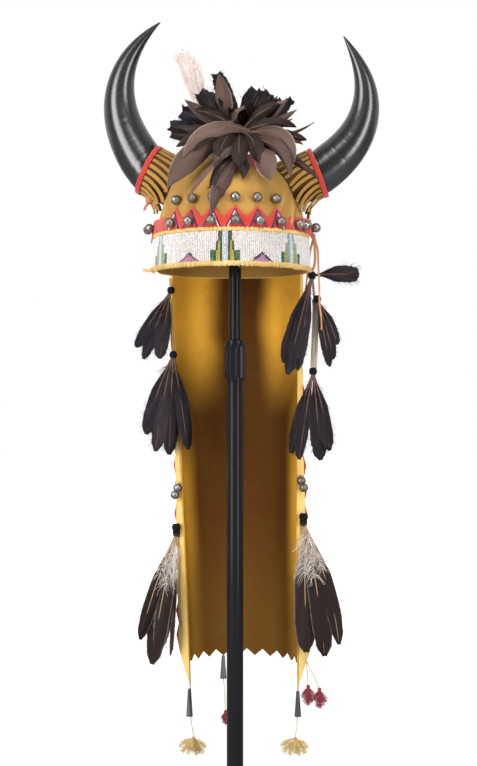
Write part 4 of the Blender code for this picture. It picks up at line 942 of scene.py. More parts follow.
class Recipe:
    """A node tree under way, with a short word for each node that the finishes use."""

    def __init__(self, tree, name="", shader=None):
        self.tree, self.name, self.shader = tree, name, shader

    def put(self, value, socket):
        """A value or another node's output, given to an input."""
        if isinstance(value, bpy.types.NodeSocket):
            self.tree.links.new(value, socket)
        else:
            socket.default_value = value

    def node(self, kind, inputs=(), **settings):
        """The outputs of a new node."""
        made = self.tree.nodes.new("ShaderNode" + kind)
        for name, value in settings.items():
            setattr(made, name, value)
        for key, value in dict(inputs).items():
            self.put(value, made.inputs[key])
        return made.outputs

    def math(self, operation, first, second=0.0, clamp=False):
        """One sum of two values."""
        return self.node("Math", {0: first, 1: second, 2: 0.0}, operation=operation, use_clamp=clamp)[0]

    def times(self, first, second):
        """first x second."""
        return self.math("MULTIPLY", first, second)

    def plus(self, first, second):
        """first + second."""
        return self.math("ADD", first, second)

    def less(self, first, second):
        """first - second."""
        return self.math("SUBTRACT", first, second)

    def size(self, value):
        """|value|."""
        return self.math("ABSOLUTE", value)

    def ramp(self, value, low, high, start=0.0, end=1.0):
        """A value carried smoothly from start at low to end at high."""
        inputs = {"Value": value, "From Min": low, "From Max": high, "To Min": start, "To Max": end}
        return self.node("MapRange", inputs, interpolation_type="SMOOTHSTEP")[0]

    def blend(self, share, first, second, mode="MIX"):
        """Two colours blended by a share."""
        return self.node("Mix", {0: share, 6: first, 7: second}, data_type="RGBA", blend_type=mode)[2]

    def noise(self, vector, scale, detail=3.0, rough=0.55, warp=0.0):
        """Soft noise from 0 to 1."""
        inputs = {"Vector": vector, "Scale": scale, "Detail": detail, "Roughness": rough, "Distortion": warp}
        return self.node("TexNoise", inputs)["Fac"]

    def streaks(self, across, along, scale=1.0, detail=3.0, rough=0.55, warp=0.0):
        """Noise drawn out along a piece, by how often it changes across it and along it."""
        course = self.course()
        ways = {k: self.times(course[k], often) for k, often in enumerate((across, along)) if often}
        return self.noise(self.node("CombineXYZ", ways)[0], scale, detail, rough, warp)

    def spot(self):
        """The place in the part's own frame."""
        return self.node("TexCoord")["Object"]

    def parts(self, vector):
        """The x, y and z of a vector."""
        return self.node("SeparateXYZ", {0: vector})

    def course(self):
        """The across and along shares of a piece."""
        return self.parts(self.node("UVMap", uv_map="course")[0])

    def tint(self):
        """The colour that a piece carries at each point."""
        return self.node("Attribute", attribute_name="tint")["Color"]

    def masks(self):
        """The three masks that a piece carries."""
        return self.node("SeparateColor", {0: self.tint()})

    def group(self, group, **inputs):
        """The outputs of one of the effects below."""
        made = self.tree.nodes.new("ShaderNodeGroup")
        made.node_tree = group
        for key, value in inputs.items():
            self.put(value, made.inputs[key])
        return made.outputs

    def grain(self, scale):
        """The grain effect at a scale."""
        return self.group(grain_group(), Scale=scale)

    def look(self, colour, rough, relief=None, **sockets):
        """The shader's colour and roughness, its relief as a height and a distance, and more values."""
        self.put(colour, self.shader.inputs["Base Color"])
        self.put(rough, self.shader.inputs["Roughness"])
        for name, value in sockets.items():
            self.put(value, self.shader.inputs[name.replace("_", " ")])
        if relief:
            bump = self.node("Bump", {"Height": relief[0], "Distance": relief[1], "Strength": 1.0})
            self.put(bump[0], self.shader.inputs["Normal"])


def rgba(colour, scale=1.0):
    """A colour setting as four numbers."""
    return (*(min(1.0, channel * scale) for channel in colour), 1.0)


def effect(inputs, *outputs):
    """Turns build(use, given) into a function that makes its node group once."""

    def kept(build):
        def group():
            name = build.__name__
            made = bpy.data.node_groups.get(name)
            if made:
                return made
            made = bpy.data.node_groups.new(name, "ShaderNodeTree")
            for label, value in inputs.items():
                socket = made.interface.new_socket(label, in_out="INPUT", socket_type="NodeSocketFloat")
                socket.default_value = value
            for label in outputs:
                made.interface.new_socket(label, in_out="OUTPUT", socket_type="NodeSocketFloat")
            start, end = made.nodes.new("NodeGroupInput"), made.nodes.new("NodeGroupOutput")
            for label, socket in zip(outputs, build(Recipe(made), start.outputs)):
                made.links.new(socket, end.inputs[label])
            return made

        return group

    return kept


@effect({"Scale": 900.0}, "Height", "Patches", "Flecks")
def grain_group(use, given):
    """Fine relief and wear of skin, paint and metal: pores, a broad patch mask and small flecks."""
    place, scale = use.spot(), given["Scale"]
    fine = use.noise(place, scale, 6.0, 0.65)
    cells = use.node("TexVoronoi", {"Vector": place, "Scale": scale}, feature="F1")
    pores = use.ramp(cells["Distance"], 0.0, 0.35)
    broad = use.noise(place, use.times(scale, 0.022), 5.0, 0.60, 0.6)
    flecks = use.noise(place, use.times(scale, 0.35), 4.0, 0.7)
    height = use.plus(use.times(fine, 0.6), use.times(pores, 0.4))
    return height, use.ramp(broad, 0.30, 0.76), use.ramp(flecks, 0.60, 0.72)


@effect({"Count": 150.0, "Slant": 0.5}, "Lines", "Clumps", "Worn")
def barbs_group(use, given):
    """A feather's barbs: slanting lines from the shaft outwards, uneven along it, with a worn edge mask."""
    across, along, _ = use.course()
    reach = use.size(use.less(across, 0.5))
    slanted = use.less(along, use.times(reach, given["Slant"]))
    place = {0: use.times(slanted, given["Count"]), 1: use.times(reach, 3.0), 2: use.times(across, 2.0)}
    lines = use.noise(use.node("CombineXYZ", place)[0], 1.0, 2.0, 0.6)
    place = {0: use.times(slanted, 9.0), 1: use.times(across, 1.3)}
    clumps = use.noise(use.node("CombineXYZ", place)[0], 1.0, 3.0, 0.5)
    worn = use.times(use.ramp(use.masks()[0], 0.20, 0.95), use.ramp(lines, 0.25, 0.60, 0.5, 1.0))
    return lines, clumps, worn


@effect({"Scale": 7500.0}, "Height", "Patches")
def wool_weave(use, given):
    """Felted wool: two crossing threads under a soft nap."""
    x, y, z = use.parts(use.spot())
    across, along = (
        use.math("SINE", use.times(place, given["Scale"])) for place in (use.plus(x, use.times(y, 0.7)), z)
    )
    nap = use.noise(use.spot(), 1500.0, 5.0, 0.7)
    patches = use.noise(use.spot(), 60.0, 3.0, 0.6)
    return use.plus(use.times(use.times(across, along), 0.18), nap), use.ramp(patches, 0.35, 0.70)


def finish(build):
    """Turns build(use, shade) into a function that makes its material once, by its own or another name."""

    def material(name=build.__name__):
        made = bpy.data.materials.get(f"{name}_finish")
        if made:
            return made
        made = bpy.data.materials.new(f"{name}_finish")
        made.use_nodes = True
        tree = made.node_tree
        tree.nodes.clear()
        shader = tree.nodes.new("ShaderNodeBsdfPrincipled")
        tree.links.new(shader.outputs[0], tree.nodes.new("ShaderNodeOutputMaterial").inputs[0])
        build(Recipe(tree, name, shader), colours())
        return made

    return material


@finish
def black_paint(use, shade):
    """Satin black paint over steel, a little dusty in patches."""
    grain = use.grain(1400.0)
    base = use.blend(use.times(grain["Patches"], 0.25), rgba(shade.stand), rgba(shade.stand, 2.0))
    rough = use.ramp(grain["Height"], 0.2, 0.9, 0.13, 0.20)
    use.look(base, rough, (grain["Height"], 0.00001), Specular_IOR_Level=0.10)


@finish
def yellow_hide(use, shade):
    """Smoked golden hide: pores, handled places, pale flecks, and crease ridges painted paler as a painted
    highlight; the cuff's sleeve is painted dark, a painted shade under its fringe.
    """
    grain, masks = use.grain(950.0), use.masks()
    base = use.blend(use.times(grain["Patches"], 0.55), rgba(shade.hide), rgba(shade.hide_shade))
    base = use.blend(use.times(grain["Flecks"], 0.30), base, rgba(shade.binding))
    # Crease ridges painted paler: a painted highlight.
    base = use.blend(use.times(masks[0], 0.35), base, rgba(shade.binding))
    # The third mask is painted shade: it darkens the cuff's sleeve under the fringe.
    base = use.blend(masks[2], base, rgba(shade.hide_shade, 0.28))
    rough = use.ramp(grain["Height"], 0.2, 0.9, 0.62, 0.82)
    use.look(base, rough, (grain["Height"], 0.00022), Specular_IOR_Level=0.25, Sheen_Weight=0.08)


@finish
def trailer_hide(use, shade):
    """The trailer's hide: golden painted light at its sides, top and folds, painted shade in its dark middle,
    olive at its foot, and pale folded edges painted brighter as light from the sides."""
    grain, masks, place = use.grain(900.0), use.masks(), use.spot()
    x, _, z = use.parts(place)
    broad = use.noise(place, 9.0, 4.0, 0.55, 0.5)
    drift = use.times(use.less(broad, 0.5), 0.03)
    level = use.plus(z, drift)
    # golden is painted light: bright on the trough's sides in its upper part, leaving painted shade in the
    # middle.
    golden = use.ramp(use.size(use.plus(use.plus(x, 0.002), drift)), 0.018, 0.052)
    golden = use.times(golden, use.ramp(level, 0.51, 0.64))
    # fold adds painted light where the trough turns to its folds.
    fold = use.plus(use.size(use.less(use.course()[0], 0.5)), drift)
    fold = use.ramp(fold, 0.23, 0.36, 0.0, use.ramp(z, 0.44, 0.52, 0.80, 0.35))
    inner = use.blend(use.math("MAXIMUM", golden, fold), rgba(shade.trailer_dark), rgba(shade.trailer_gold))
    low = use.ramp(level, 0.24, 0.42, 1.0, 0.0)
    inner = use.blend(use.times(low, 0.70), inner, rgba(shade.trailer_olive))
    outer = use.blend(use.times(grain["Patches"], 0.5), rgba(shade.hide), rgba(shade.hide_shade))
    base = use.blend(masks[2], outer, inner)
    # The flanges' pale face, painted brighter still as light from the sides.
    base = use.blend(use.times(masks[0], 0.92), base, rgba(shade.flange))
    base = use.blend(use.times(grain["Flecks"], 0.28), base, rgba(shade.hide_shade, 0.8))
    stains = use.ramp(use.noise(place, 34.0, 4.0, 0.6), 0.56, 0.70)
    base = use.blend(use.times(stains, use.ramp(z, 0.24, 0.46, 0.30, 0.12)), base, (0.10, 0.075, 0.020, 1.0))
    rough = use.ramp(grain["Height"], 0.2, 0.9, 0.58, 0.82)
    use.look(base, rough, (grain["Height"], 0.00024), Specular_IOR_Level=0.07)


@finish
def pale_hide(use, shade):
    """Pale soft hide with tan speckle; its stitches are sinew."""
    grain = use.grain(1100.0)
    base = use.blend(use.times(grain["Patches"], 0.5), rgba(shade.binding), rgba(shade.hide, 0.9))
    base = use.blend(use.times(grain["Flecks"], 0.6), base, rgba(shade.thong, 0.8))
    base = use.blend(use.times(use.masks()[0], 0.75), base, (0.55, 0.42, 0.25, 1.0))
    use.look(base, 0.75, (grain["Height"], 0.00022))


@finish
def sinew(use, shade):
    """Twisted sinew thread."""
    twist = use.math("SINE", use.times(use.course()[1], 220.0))
    base = use.blend(use.noise(use.spot(), 900.0), (0.50, 0.36, 0.20, 1.0), (0.72, 0.58, 0.38, 1.0))
    use.look(base, 0.6, (twist, 0.00008))


@finish
def tan_thong(use, shade):
    """Orange tan hide thong, darker in patches."""
    grain = use.grain(1300.0)
    base = use.blend(grain["Patches"], rgba(shade.thong), rgba(shade.thong, 0.55))
    use.look(base, 0.7, (grain["Height"], 0.00018))


@finish
def red_wool(use, shade):
    """Red wool cloth: a fine twill under its nap, worn paler along the cut edges."""
    wool = use.group(wool_weave())
    base = use.blend(use.times(wool["Patches"], 0.4), rgba(shade.cloth), rgba(shade.cloth, 0.62))
    base = use.blend(use.times(use.masks()[0], 0.25), base, (0.85, 0.16, 0.10, 1.0))
    rough = use.ramp(wool["Height"], 0.2, 0.9, 0.8, 0.95)
    use.look(base, rough, (wool["Height"], 0.00030), Sheen_Weight=0.35, Specular_IOR_Level=0.2)


@finish
def bead_glass(use, shade):
    """Glass seed beads: each its own colour, with a clouded body under a clear skin."""
    cloud = use.noise(use.spot(), 1300.0, 2.0)
    clouded = use.ramp(cloud, 0.3, 0.7, 0.0, 0.35)
    base = use.blend(clouded, use.tint(), (0.02, 0.018, 0.02, 1.0), "MULTIPLY")
    use.look(base, use.ramp(cloud, 0.2, 0.8, 0.12, 0.30), Coat_Weight=0.35)


@finish
def bell_metal(use, shade):
    """Tarnished bell metal: bright wear on a dull brown grey skin."""
    grain = use.grain(1500.0)
    base = use.blend(use.masks()[0], rgba(shade.bell), (0.24, 0.20, 0.15, 1.0))
    base = use.blend(grain["Patches"], base, (0.34, 0.33, 0.325, 1.0))
    base = use.blend(use.times(grain["Flecks"], 0.5), base, (0.10, 0.12, 0.08, 1.0))
    rough = use.ramp(grain["Patches"], 0.0, 1.0, 0.42, 0.24)
    use.look(base, rough, (grain["Height"], 0.00006), Metallic=0.9)


@finish
def black_horn(use, shade):
    """Polished black horn: fine streaks along it, duller and paler in the split hollow."""
    groove, along = use.masks()[0], use.course()[1]
    streaks = use.streaks(26.0, 1.6, 1.0, 4.0, 0.5, 0.2)
    rings = use.streaks(0.0, 60.0, 1.0, 4.0)
    base = use.blend(use.ramp(streaks, 0.45, 0.75, 0.0, 0.5), rgba(shade.horn), (0.018, 0.016, 0.017, 1.0))
    base = use.blend(use.times(groove, 0.6), base, (0.075, 0.065, 0.055, 1.0))
    rough = use.plus(use.ramp(streaks, 0.3, 0.8, 0.23, 0.30), use.times(groove, 0.3))
    relief = use.times(rings, use.ramp(along, 0.10, 0.45, 1.0, 0.0))
    use.look(base, rough, (relief, 0.00002), Specular_IOR_Level=0.95)


def vane_look(
    use, root, tip, edge, sheen, shaft, turning=(0.0, 0.05), lift=0.35, frayed=0.6, brown=0.0, gloss=0.25
):
    """A feather's vane and shaft: root colour to tip colour, barb lines, a worn pale edge and a sheen."""
    barbs, masks = use.group(barbs_group()), use.masks()
    lines, clumps = barbs["Lines"], barbs["Clumps"]
    wander = use.plus(use.course()[1], use.times(use.less(clumps, 0.5), 0.25))
    base = use.blend(use.ramp(wander, *turning), rgba(root), rgba(tip))
    base = use.blend(use.ramp(clumps, 0.50, 0.72, 0.0, brown), base, (0.062, 0.027, 0.017, 1.0))
    base = use.blend(use.ramp(lines, 0.35, 0.70, 0.0, lift), base, rgba(tip, 2.0))
    # The third mask darkens a whole feather: its random tone, or painted shade in the rosette.
    base = use.blend(use.times(masks[2], 0.95), base, rgba(tip, 0.12))
    base = use.blend(use.times(barbs["Worn"], edge[1]), base, rgba(edge[0]))
    base = use.blend(masks[1], base, rgba(shaft))
    if frayed:
        gaps = use.times(use.ramp(masks[0], 0.2, 1.0, 0.0, frayed), use.ramp(lines, 0.40, 0.50, 1.0, 0.0))
        use.put(use.math("SUBTRACT", 1.0, gaps, clamp=True), use.shader.inputs["Alpha"])
    rough = use.ramp(lines, 0.2, 0.8, 0.30, 0.52)
    use.look(base, rough, (lines, 0.00035), Specular_Tint=rgba(sheen), Specular_IOR_Level=gloss)


@finish
def brown_feather(use, shade):
    """Broad brown feathers with thin pale edges."""
    root = tuple(0.30 * channel for channel in shade.brown_feather)
    edge, sheen, shaft = (shade.feather_edge, 0.85), (1.0, 0.84, 0.86), (0.16, 0.085, 0.055)
    vane_look(use, root, shade.brown_feather, edge, sheen, shaft, (0.08, 0.62), frayed=0.0, gloss=0.22)


@finish
def black_feather(use, shade):
    """Near-black feathers with a violet sheen and a few brown worn edges."""
    edge, sheen, shaft = (shade.shaft, 0.45), (0.72, 0.70, 0.88), (0.15, 0.080, 0.050)
    vane_look(use, shade.black_feather, shade.black_feather, edge, sheen, shaft, brown=0.6)


@finish
def tail_feather(use, shade):
    """Tail feathers, cream and wispy at the root and brown at the end."""
    edge, sheen, shaft = (shade.feather_edge, 0.30), (0.7, 0.6, 0.6), (0.42, 0.28, 0.18)
    vane_look(use, shade.tail_pale, shade.tail_brown, edge, sheen, shaft, (0.24, 0.46))


@finish
def plume_down(use, shade):
    """A soft plume, tan at its base and white at its tip."""
    edge, sheen, shaft = ((0.95, 0.92, 0.90), 0.6), (1.0, 0.95, 0.9), (0.075, 0.042, 0.028)
    vane_look(use, (0.42, 0.28, 0.21), shade.plume, edge, sheen, shaft, (0.15, 0.55), lift=0.3, frayed=0.0)


@finish
def dyed_down(use, shade):
    """Dyed down, each barb a little lighter or darker than the next."""
    colour = getattr(shade, use.name)
    base = use.blend(use.masks()[0], rgba(colour, 0.50), rgba(colour, 1.35))
    base = use.blend(use.ramp(use.noise(use.spot(), 500.0), 0.3, 0.8, 0.0, 0.5), base, rgba(colour))
    use.look(base, 0.85, Sheen_Weight=0.4)


@finish
def rolled_tin(use, shade):
    """Dark rolled tin, streaked along its length."""
    grain = use.grain(1200.0)
    lines = use.streaks(40.0, 0.0)
    base = use.blend(grain["Patches"], rgba(shade.tin), (0.22, 0.215, 0.22, 1.0))
    base = use.blend(use.times(grain["Flecks"], 0.6), base, (0.09, 0.045, 0.022, 1.0))
    use.look(base, use.ramp(lines, 0.3, 0.7, 0.30, 0.50), (lines, 0.00006), Metallic=0.85)


@finish
def flat_quill(use, shade):
    """A flat tan quill with darker streaks along it."""
    streaks = use.streaks(9.0, 5.0, 2.0, 5.0)
    base = use.blend(use.ramp(streaks, 0.4, 0.7), rgba(shade.quill), rgba(shade.quill, 0.35))
    use.look(base, 0.45, (streaks, 0.0002))


@finish
def studio_floor(use, shade):
    """A matt pale floor: where the camera sees it, a painted glow makes it brighter with distance, and
    other rays see it a darker grey.
    """
    fine = use.noise(use.spot(), 40.0)
    seen = use.node("LightPath")["Is Camera Ray"]
    base = use.blend(use.ramp(fine, 0.3, 0.7, 0.0, 0.04), rgba(shade.floor), (0.8, 0.8, 0.8, 1.0))
    base = use.blend(seen, (0.42, 0.42, 0.42, 1.0), base)
    away = use.node("VectorMath", {0: use.spot()}, operation="LENGTH")["Value"]
    # A painted glow, seen by the camera only.
    glow = use.times(seen, use.ramp(away, 0.4, 3.0, 0.22, 1.0))
    use.look(base, 0.9, Specular_IOR_Level=0.1, Emission_Color=(1.0, 1.0, 1.0, 1.0), Emission_Strength=glow)


def make_stand():
    """The round foot, the pole's two tubes, their ribbed clamp and the domed rest under the cap."""

    def turned_part(name, node, profile, columns=64, swell=None, crease=40):
        """A painted solid of revolution that stands for one node."""
        add_piece(name, lathe(profile, columns, swell=swell), black_paint(), (node,), crease)

    foot = ((0, 0), (BASE_RADIUS, 0), (BASE_RADIUS, 0.014), (BASE_RADIUS - 0.012, BASE_HEIGHT))
    boss = ((BOSS_RADIUS * 1.25, BASE_HEIGHT + 0.003), (BOSS_RADIUS, BOSS_HEIGHT), (0, BOSS_HEIGHT))
    turned_part("stand_foot", "stand_base", rounded((*foot, *boss), 0.0022, 6), 128, crease=30)
    for level, radius in (("lower", LOWER_TUBE_RADIUS), ("upper", UPPER_TUBE_RADIUS)):
        node = f"stand_{level}_tube"
        low, high = (corner.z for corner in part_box(node))
        profile = rounded(((0, low), (radius, low), (radius, high), (0, high)), 0.0008)
        turned_part(f"stand_pole_{level}", node, profile)
    low, high = (corner.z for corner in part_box("stand_collar"))
    share = np.linspace(0.0, 1.0, 30)
    barrel = COLLAR_RADIUS * (1.0 - 0.07 * (2 * share - 1.0) ** 4)
    barrel *= 1.0 - 0.05 * smooth_step(share, 0.86, 0.92)

    def ribs(height, turn):
        """Radius factor 1 - 0.09 (0.5 - 0.5 cos 10t)^0.6, fading out at both ends."""
        along = (height - low) / (high - low)
        window = smooth_step(along, 0.02, 0.08) * (1.0 - smooth_step(along, 0.84, 0.90))
        return 1.0 - 0.09 * window * (0.5 - 0.5 * np.cos(10 * turn)) ** 0.6

    profile = [(0, low), *zip(barrel, low + (high - low) * share), (0, high)]
    turned_part("stand_clamp", "stand_collar", profile, 160, ribs, 60)
    low, high = (corner.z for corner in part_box("stand_pad"))
    turn = np.radians(np.linspace(90, 4, 12))
    dome = np.stack([PAD_RADIUS * np.sin(turn), low + 0.006 + (high - low - 0.006) * np.cos(turn)], axis=1)
    profile = ((0, low), (PAD_RADIUS - 0.002, low), (PAD_RADIUS, low + 0.003), *dome, (0, high))
    turned_part("stand_rest", "stand_pad", rounded(profile, 0.0008))


def creases(azimuth, height):
    """Low ridges where the hide is drawn up: the sum of raise e^(-(u / w)^2 - (v / l)^2) over each crease,
    with v along the crease and u across it, on arc and height."""
    stand = np.zeros(np.broadcast(azimuth, height).shape)
    for centre, middle, lean, width, length, raised in CAP_CREASES:
        across = np.radians((azimuth - centre + 180.0) % 360.0 - 180.0) * RIM_RADIUS
        up, turn = height - middle, math.radians(lean)
        v = across * math.cos(turn) + up * math.sin(turn)
        u = -across * math.sin(turn) + up * math.cos(turn)
        stand += raised * np.exp(-((u / width) ** 2) - (v / length) ** 2)
    return stand


def make_cap():
    """The hide cap: the crown's dome with its creases, grown inwards to the hide's thickness."""
    columns, rows = 288, 72
    azimuth = 360.0 * np.arange(columns)[None, :] / columns
    height = crown_level(np.arange(rows) / rows)[:, None]
    lumps = 0.00022 * waves(azimuth * 0.11 + height * 190.0, 3) * np.sin(np.pi * height / CROWN_HEIGHT)
    out = creases(azimuth, height) + lumps
    dome = crown_point(azimuth, height, out).reshape(-1, 3)
    points = np.concatenate([dome, [(CAP_X, 0.0, RIM_HEIGHT + CROWN_HEIGHT)]])
    top = fan((rows - 1) * columns + np.arange(columns), len(dome))
    course = np.concatenate([shares(rows, columns).reshape(-1, 2), [(0.5, 1.0)]])
    tint = np.zeros((len(points), 3))
    # Crease mask: the raised hide is painted paler, a painted highlight on the ridges.
    tint[:-1, 0] = np.clip(out / 0.003, 0, 1).ravel()
    form = form_of(points, np.concatenate([grid_faces(rows, columns, around=True), top]), course, tint)
    add_piece("cap", walled(form, sizes().hide_wall, -1.0), yellow_hide(), ("hide_cap",))
    make_rim_stitches()
    make_under_patch()


def whip_stitches(centres, outs, ups, alongs, radius, thread, slant=0.5, reach=80.0):
    """Thread that goes over a roll: each stitch is centre + R (cos f out + sin f up) + slant R f along, for f
    from -reach to reach degrees."""
    turn = np.radians(np.linspace(-reach, reach, 7))[None, :, None]
    over = np.cos(turn) * outs[:, None] + np.sin(turn) * ups[:, None]
    paths = centres[:, None] + radius * over + slant * radius * turn * alongs[:, None]
    return strands(paths, alongs[:, None], thread, thread, 5)


def make_rim_stitches():
    """Sinew stitches that hold the trailer to the cap, round the back, and a rolled hem along the rim."""
    azimuth = np.linspace(100, 260, 260)
    lumps = 1.0 + 0.10 * waves(azimuth * 1.3, 11)
    rim, outs = crown_point(azimuth, 0.0008, 0.0004), crown_normal(azimuth, 0.0)
    hem = strands(rim[None], outs, 0.0017 * lumps, 0.0013 * lumps, 10)
    add_piece("cap_rim_hem", hem, pale_hide("rim_hem_hide"), ())
    azimuth = np.arange(124.0, 237.0, math.degrees(sizes().stitch_pitch / 0.096))
    outs, alongs = crown_normal(azimuth, STITCH_HEIGHT), level_along(azimuth)
    ups = unit(np.cross(alongs, outs))
    seats = crown_point(azimuth, STITCH_HEIGHT, 0.0012)
    thread = whip_stitches(seats, outs, ups, alongs, 0.0023, SEAM_THREAD, reach=88.0)
    add_piece("trailer_stitches", thread, sinew(), ())


def make_under_patch():
    """The pinked disc of red cloth that the rosette is sewn on: r = R (1 + 0.1 zigzag) on the crown."""
    turns, rings = 96, 14
    turn = 2 * np.pi * np.arange(turns) / turns
    pinked = 1.0 + 0.10 * np.abs((np.arange(turns) / 4.0) % 2.0 - 1.0)
    reach = np.linspace(0.12, 1.0, rings)[:, None] * pinked
    across = (ROSETTE_X - 0.004 + PATCH_HALF_WIDTH * reach * np.cos(turn) - CAP_X) / CROWN_HALF_WIDTH
    forth = (FRONT_SEAT_Y + 0.006 + PATCH_HALF_LENGTH * reach * np.sin(turn)) / CROWN_HALF_LENGTH
    plan = np.minimum(np.hypot(across, forth), 0.955)
    height = CROWN_HEIGHT * (1.0 - plan**CROWN_FULLNESS) ** (1.0 / CROWN_FULLNESS)
    points = crown_point(np.degrees(np.arctan2(across, -forth)), height, 0.0006)
    disc = form_of(points, grid_faces(rings, turns, around=True), shares(rings, turns))
    disc = outward(walled(disc, 0.0010, 1.0))
    add_piece("rosette_cloth", disc, red_wool("rosette_wool"), ())


def bead_tints(arc, row):
    """Bead colours by the arc and the row's share of the height: stepped towers and outlined triangles."""
    pitch = sizes().bead_pitch
    white, pale, dark, green, yellow, pink, navy = (
        np.array(getattr(colours(), f"{name}_bead")[:])
        for name in ("white", "pale", "dark", "green", "yellow", "pink", "navy")
    )
    tint = np.broadcast_to(white, (*arc.shape, 3)).copy()
    for centre, core in zip(TOWER_ARCS, (green, dark, green)):
        step = np.abs(np.round((arc - centre) / pitch))
        outer = dark if core is dark else 0.5 * (core + pale)
        for inside, colour in (
            (step <= 1, pale),
            ((step == 0) & (np.round(row * 22) % 3 > 0), white),
            (step == 2, outer),
            ((step == 3) & (row > 0.70), outer if core is dark else white),
            ((step == 3) & (row <= 0.70), yellow),
            ((step == 4) & (row <= 0.70), outer),
            ((step >= 5) & (step <= 7) & (row <= 0.38), green),
            ((step == 5) & (row <= 0.38), outer),
            ((step >= 3) & (step <= 4) & (row <= 0.38), yellow),
        ):
            tint[inside] = colour
    for centre in TRIANGLE_ARCS:
        step = np.abs(arc - centre) / pitch
        top = 0.32 * (1.0 - step / 6.6)
        tint[(row <= top) & (step < 6.6)] = pink
        tint[(row <= top) & (row > top - 0.075) & (step < 6.6)] = navy
    return tint


def make_brow_band():
    """Strings of seed beads on a hide backing, between two rolled hide bindings with whip stitches."""
    pitch, rise = sizes().bead_pitch, sizes().bead_rise
    arcs = np.linspace(-BAND_ARC / 2, BAND_ARC / 2, 160)[None, :]
    heights = np.linspace(BAND_FOOT, BAND_TOP, 6)[:, None]
    back = form_of(crown_point(wrap_azimuth(arcs), heights, SKIN_GAP), grid_faces(6, 160), shares(6, 160))
    add_piece("brow_band_backing", walled(back, BACKING_WALL), pale_hide("backing_hide"), ())
    count, rows = int(BAND_ARC / pitch), int((BAND_TOP - BAND_FOOT) / rise)
    dice = np.random.default_rng(7)
    arc, row = np.meshgrid((np.arange(count) + 0.5 - count / 2) * pitch, (np.arange(rows) + 0.5) / rows)
    sway = 0.0005 * waves(np.arange(count) * 0.35, 5)[None, :]
    height = BAND_FOOT + (BAND_TOP - BAND_FOOT) * row + sway * np.sin(np.pi * row)
    azimuth = wrap_azimuth(arc + 0.00020 * dice.standard_normal(arc.shape)).ravel()
    out = SKIN_GAP + BEAD_SEAT + 0.00008 * dice.standard_normal(arc.size)
    upward = unit(np.array([0.0, 0.0, 1.0]) + 0.05 * dice.standard_normal((arc.size, 3)))
    tints = bead_tints(arc, row).reshape(-1, 3) * (1.0 + 0.07 * dice.standard_normal((arc.size, 1)))
    scale = np.array([0.00100, 0.00092, 0.00074]) * (1.0 + 0.06 * dice.standard_normal((arc.size, 1)))
    frames = frames_along(upward, level_along(azimuth))
    places = crown_point(azimuth, height.ravel(), out)
    beads = copies(bead_form(), places, frames, scale, np.clip(tints, 0, 1))
    add_piece("brow_beads", beads, bead_glass(), ("brow_band",), 80)
    make_bindings()


def make_bindings():
    """The rolled bindings: tubes along the band whose size wanders, crossed by slanting stitches."""
    arcs = np.linspace(-BAND_ARC / 2, BAND_ARC / 2, 420)
    azimuth = wrap_azimuth(arcs)
    turn = wrap_azimuth(np.arange(-BAND_ARC / 2 + 0.003, BAND_ARC / 2, sizes().stitch_pitch))
    for end, height, tall, thick, seed, threads, reach in (
        ("top", 0.0393, 0.0023, 0.0019, 21, 90, 0.0018),
        ("foot", 0.0007, 0.0029, 0.0018, 22, 260, 0.0036),
    ):
        path = crown_point(azimuth, height + 0.00045 * waves(arcs * 160, seed), SKIN_GAP + BINDING_SEAT)
        crinkle = 1.0 + 0.26 * waves(arcs * 1500, seed + 1) + 0.12 * np.sin(arcs * 2 * np.pi / 0.0052)
        roll = strands(path[None], crown_normal(azimuth, 0.0), tall * crinkle, thick * crinkle, 12)
        seats, alongs = crown_point(turn, height, SKIN_GAP + BINDING_SEAT), level_along(turn)
        ups = np.broadcast_to((0.0, 0.0, 1.0), alongs.shape)
        thread = whip_stitches(seats, crown_normal(turn, 0.0), ups, alongs, tall * 0.98, BINDING_THREAD)
        parts = [roll, (*thread[:3], np.ones_like(thread[3]))]
        if end == "foot":
            parts.append(end_flap())
        parts.append(frayed_hide(height, threads, reach))
        name = f"band_binding_{end}"
        add_piece(name, joined(parts), pale_hide(f"{name}_hide"), (f"brow_binding_{end}",))


def frayed_hide(height, count, reach):
    """Fine threads of frayed hide along a binding: thread = seat + reach (s out + wander s^1.5)."""
    dice = np.random.default_rng(24 + count)
    azimuth = wrap_azimuth(dice.uniform(-BAND_ARC / 2, BAND_ARC / 2, count))
    seats, outs = crown_point(azimuth, height, SKIN_GAP + 0.0022), crown_normal(azimuth, 0.0)
    out = unit(outs * 0.5 + dice.normal(0.0, 0.7, (count, 3)) + (0.0, 0.0, -0.5))
    run = np.linspace(0.0, 1.0, 6)[None, :, None]
    long = (reach * dice.uniform(0.4, 1.0, count))[:, None, None]
    wander = dice.normal(0.0, 0.5, (count, 1, 3))
    paths = seats[:, None] + long * (run * out[:, None] + run**1.5 * wander)
    thick = 0.00028 * (1.0 - 0.5 * run[..., 0])
    return strands(paths, outs[:, None], thick, thick, 4)


def end_flap():
    """The loose end of the lower binding at the left: a flat strand that leaves the cap's side."""
    start = crown_point(wrap_azimuth(-BAND_ARC / 2), 0.0010, SKIN_GAP + 0.0016)
    run = np.linspace(0.0, 1.0, 14)[:, None]
    path = start + run * np.array([-0.0125, -0.004, 0.0010]) + np.sin(run * 7) * np.array([0, 0, 0.0006])
    half = 0.0030 * (1.0 - 0.45 * run[:, 0]) * (1.0 + 0.15 * np.sin(run[:, 0] * 23))
    return strands(path[None], FRONT, half, 0.0013, 10)


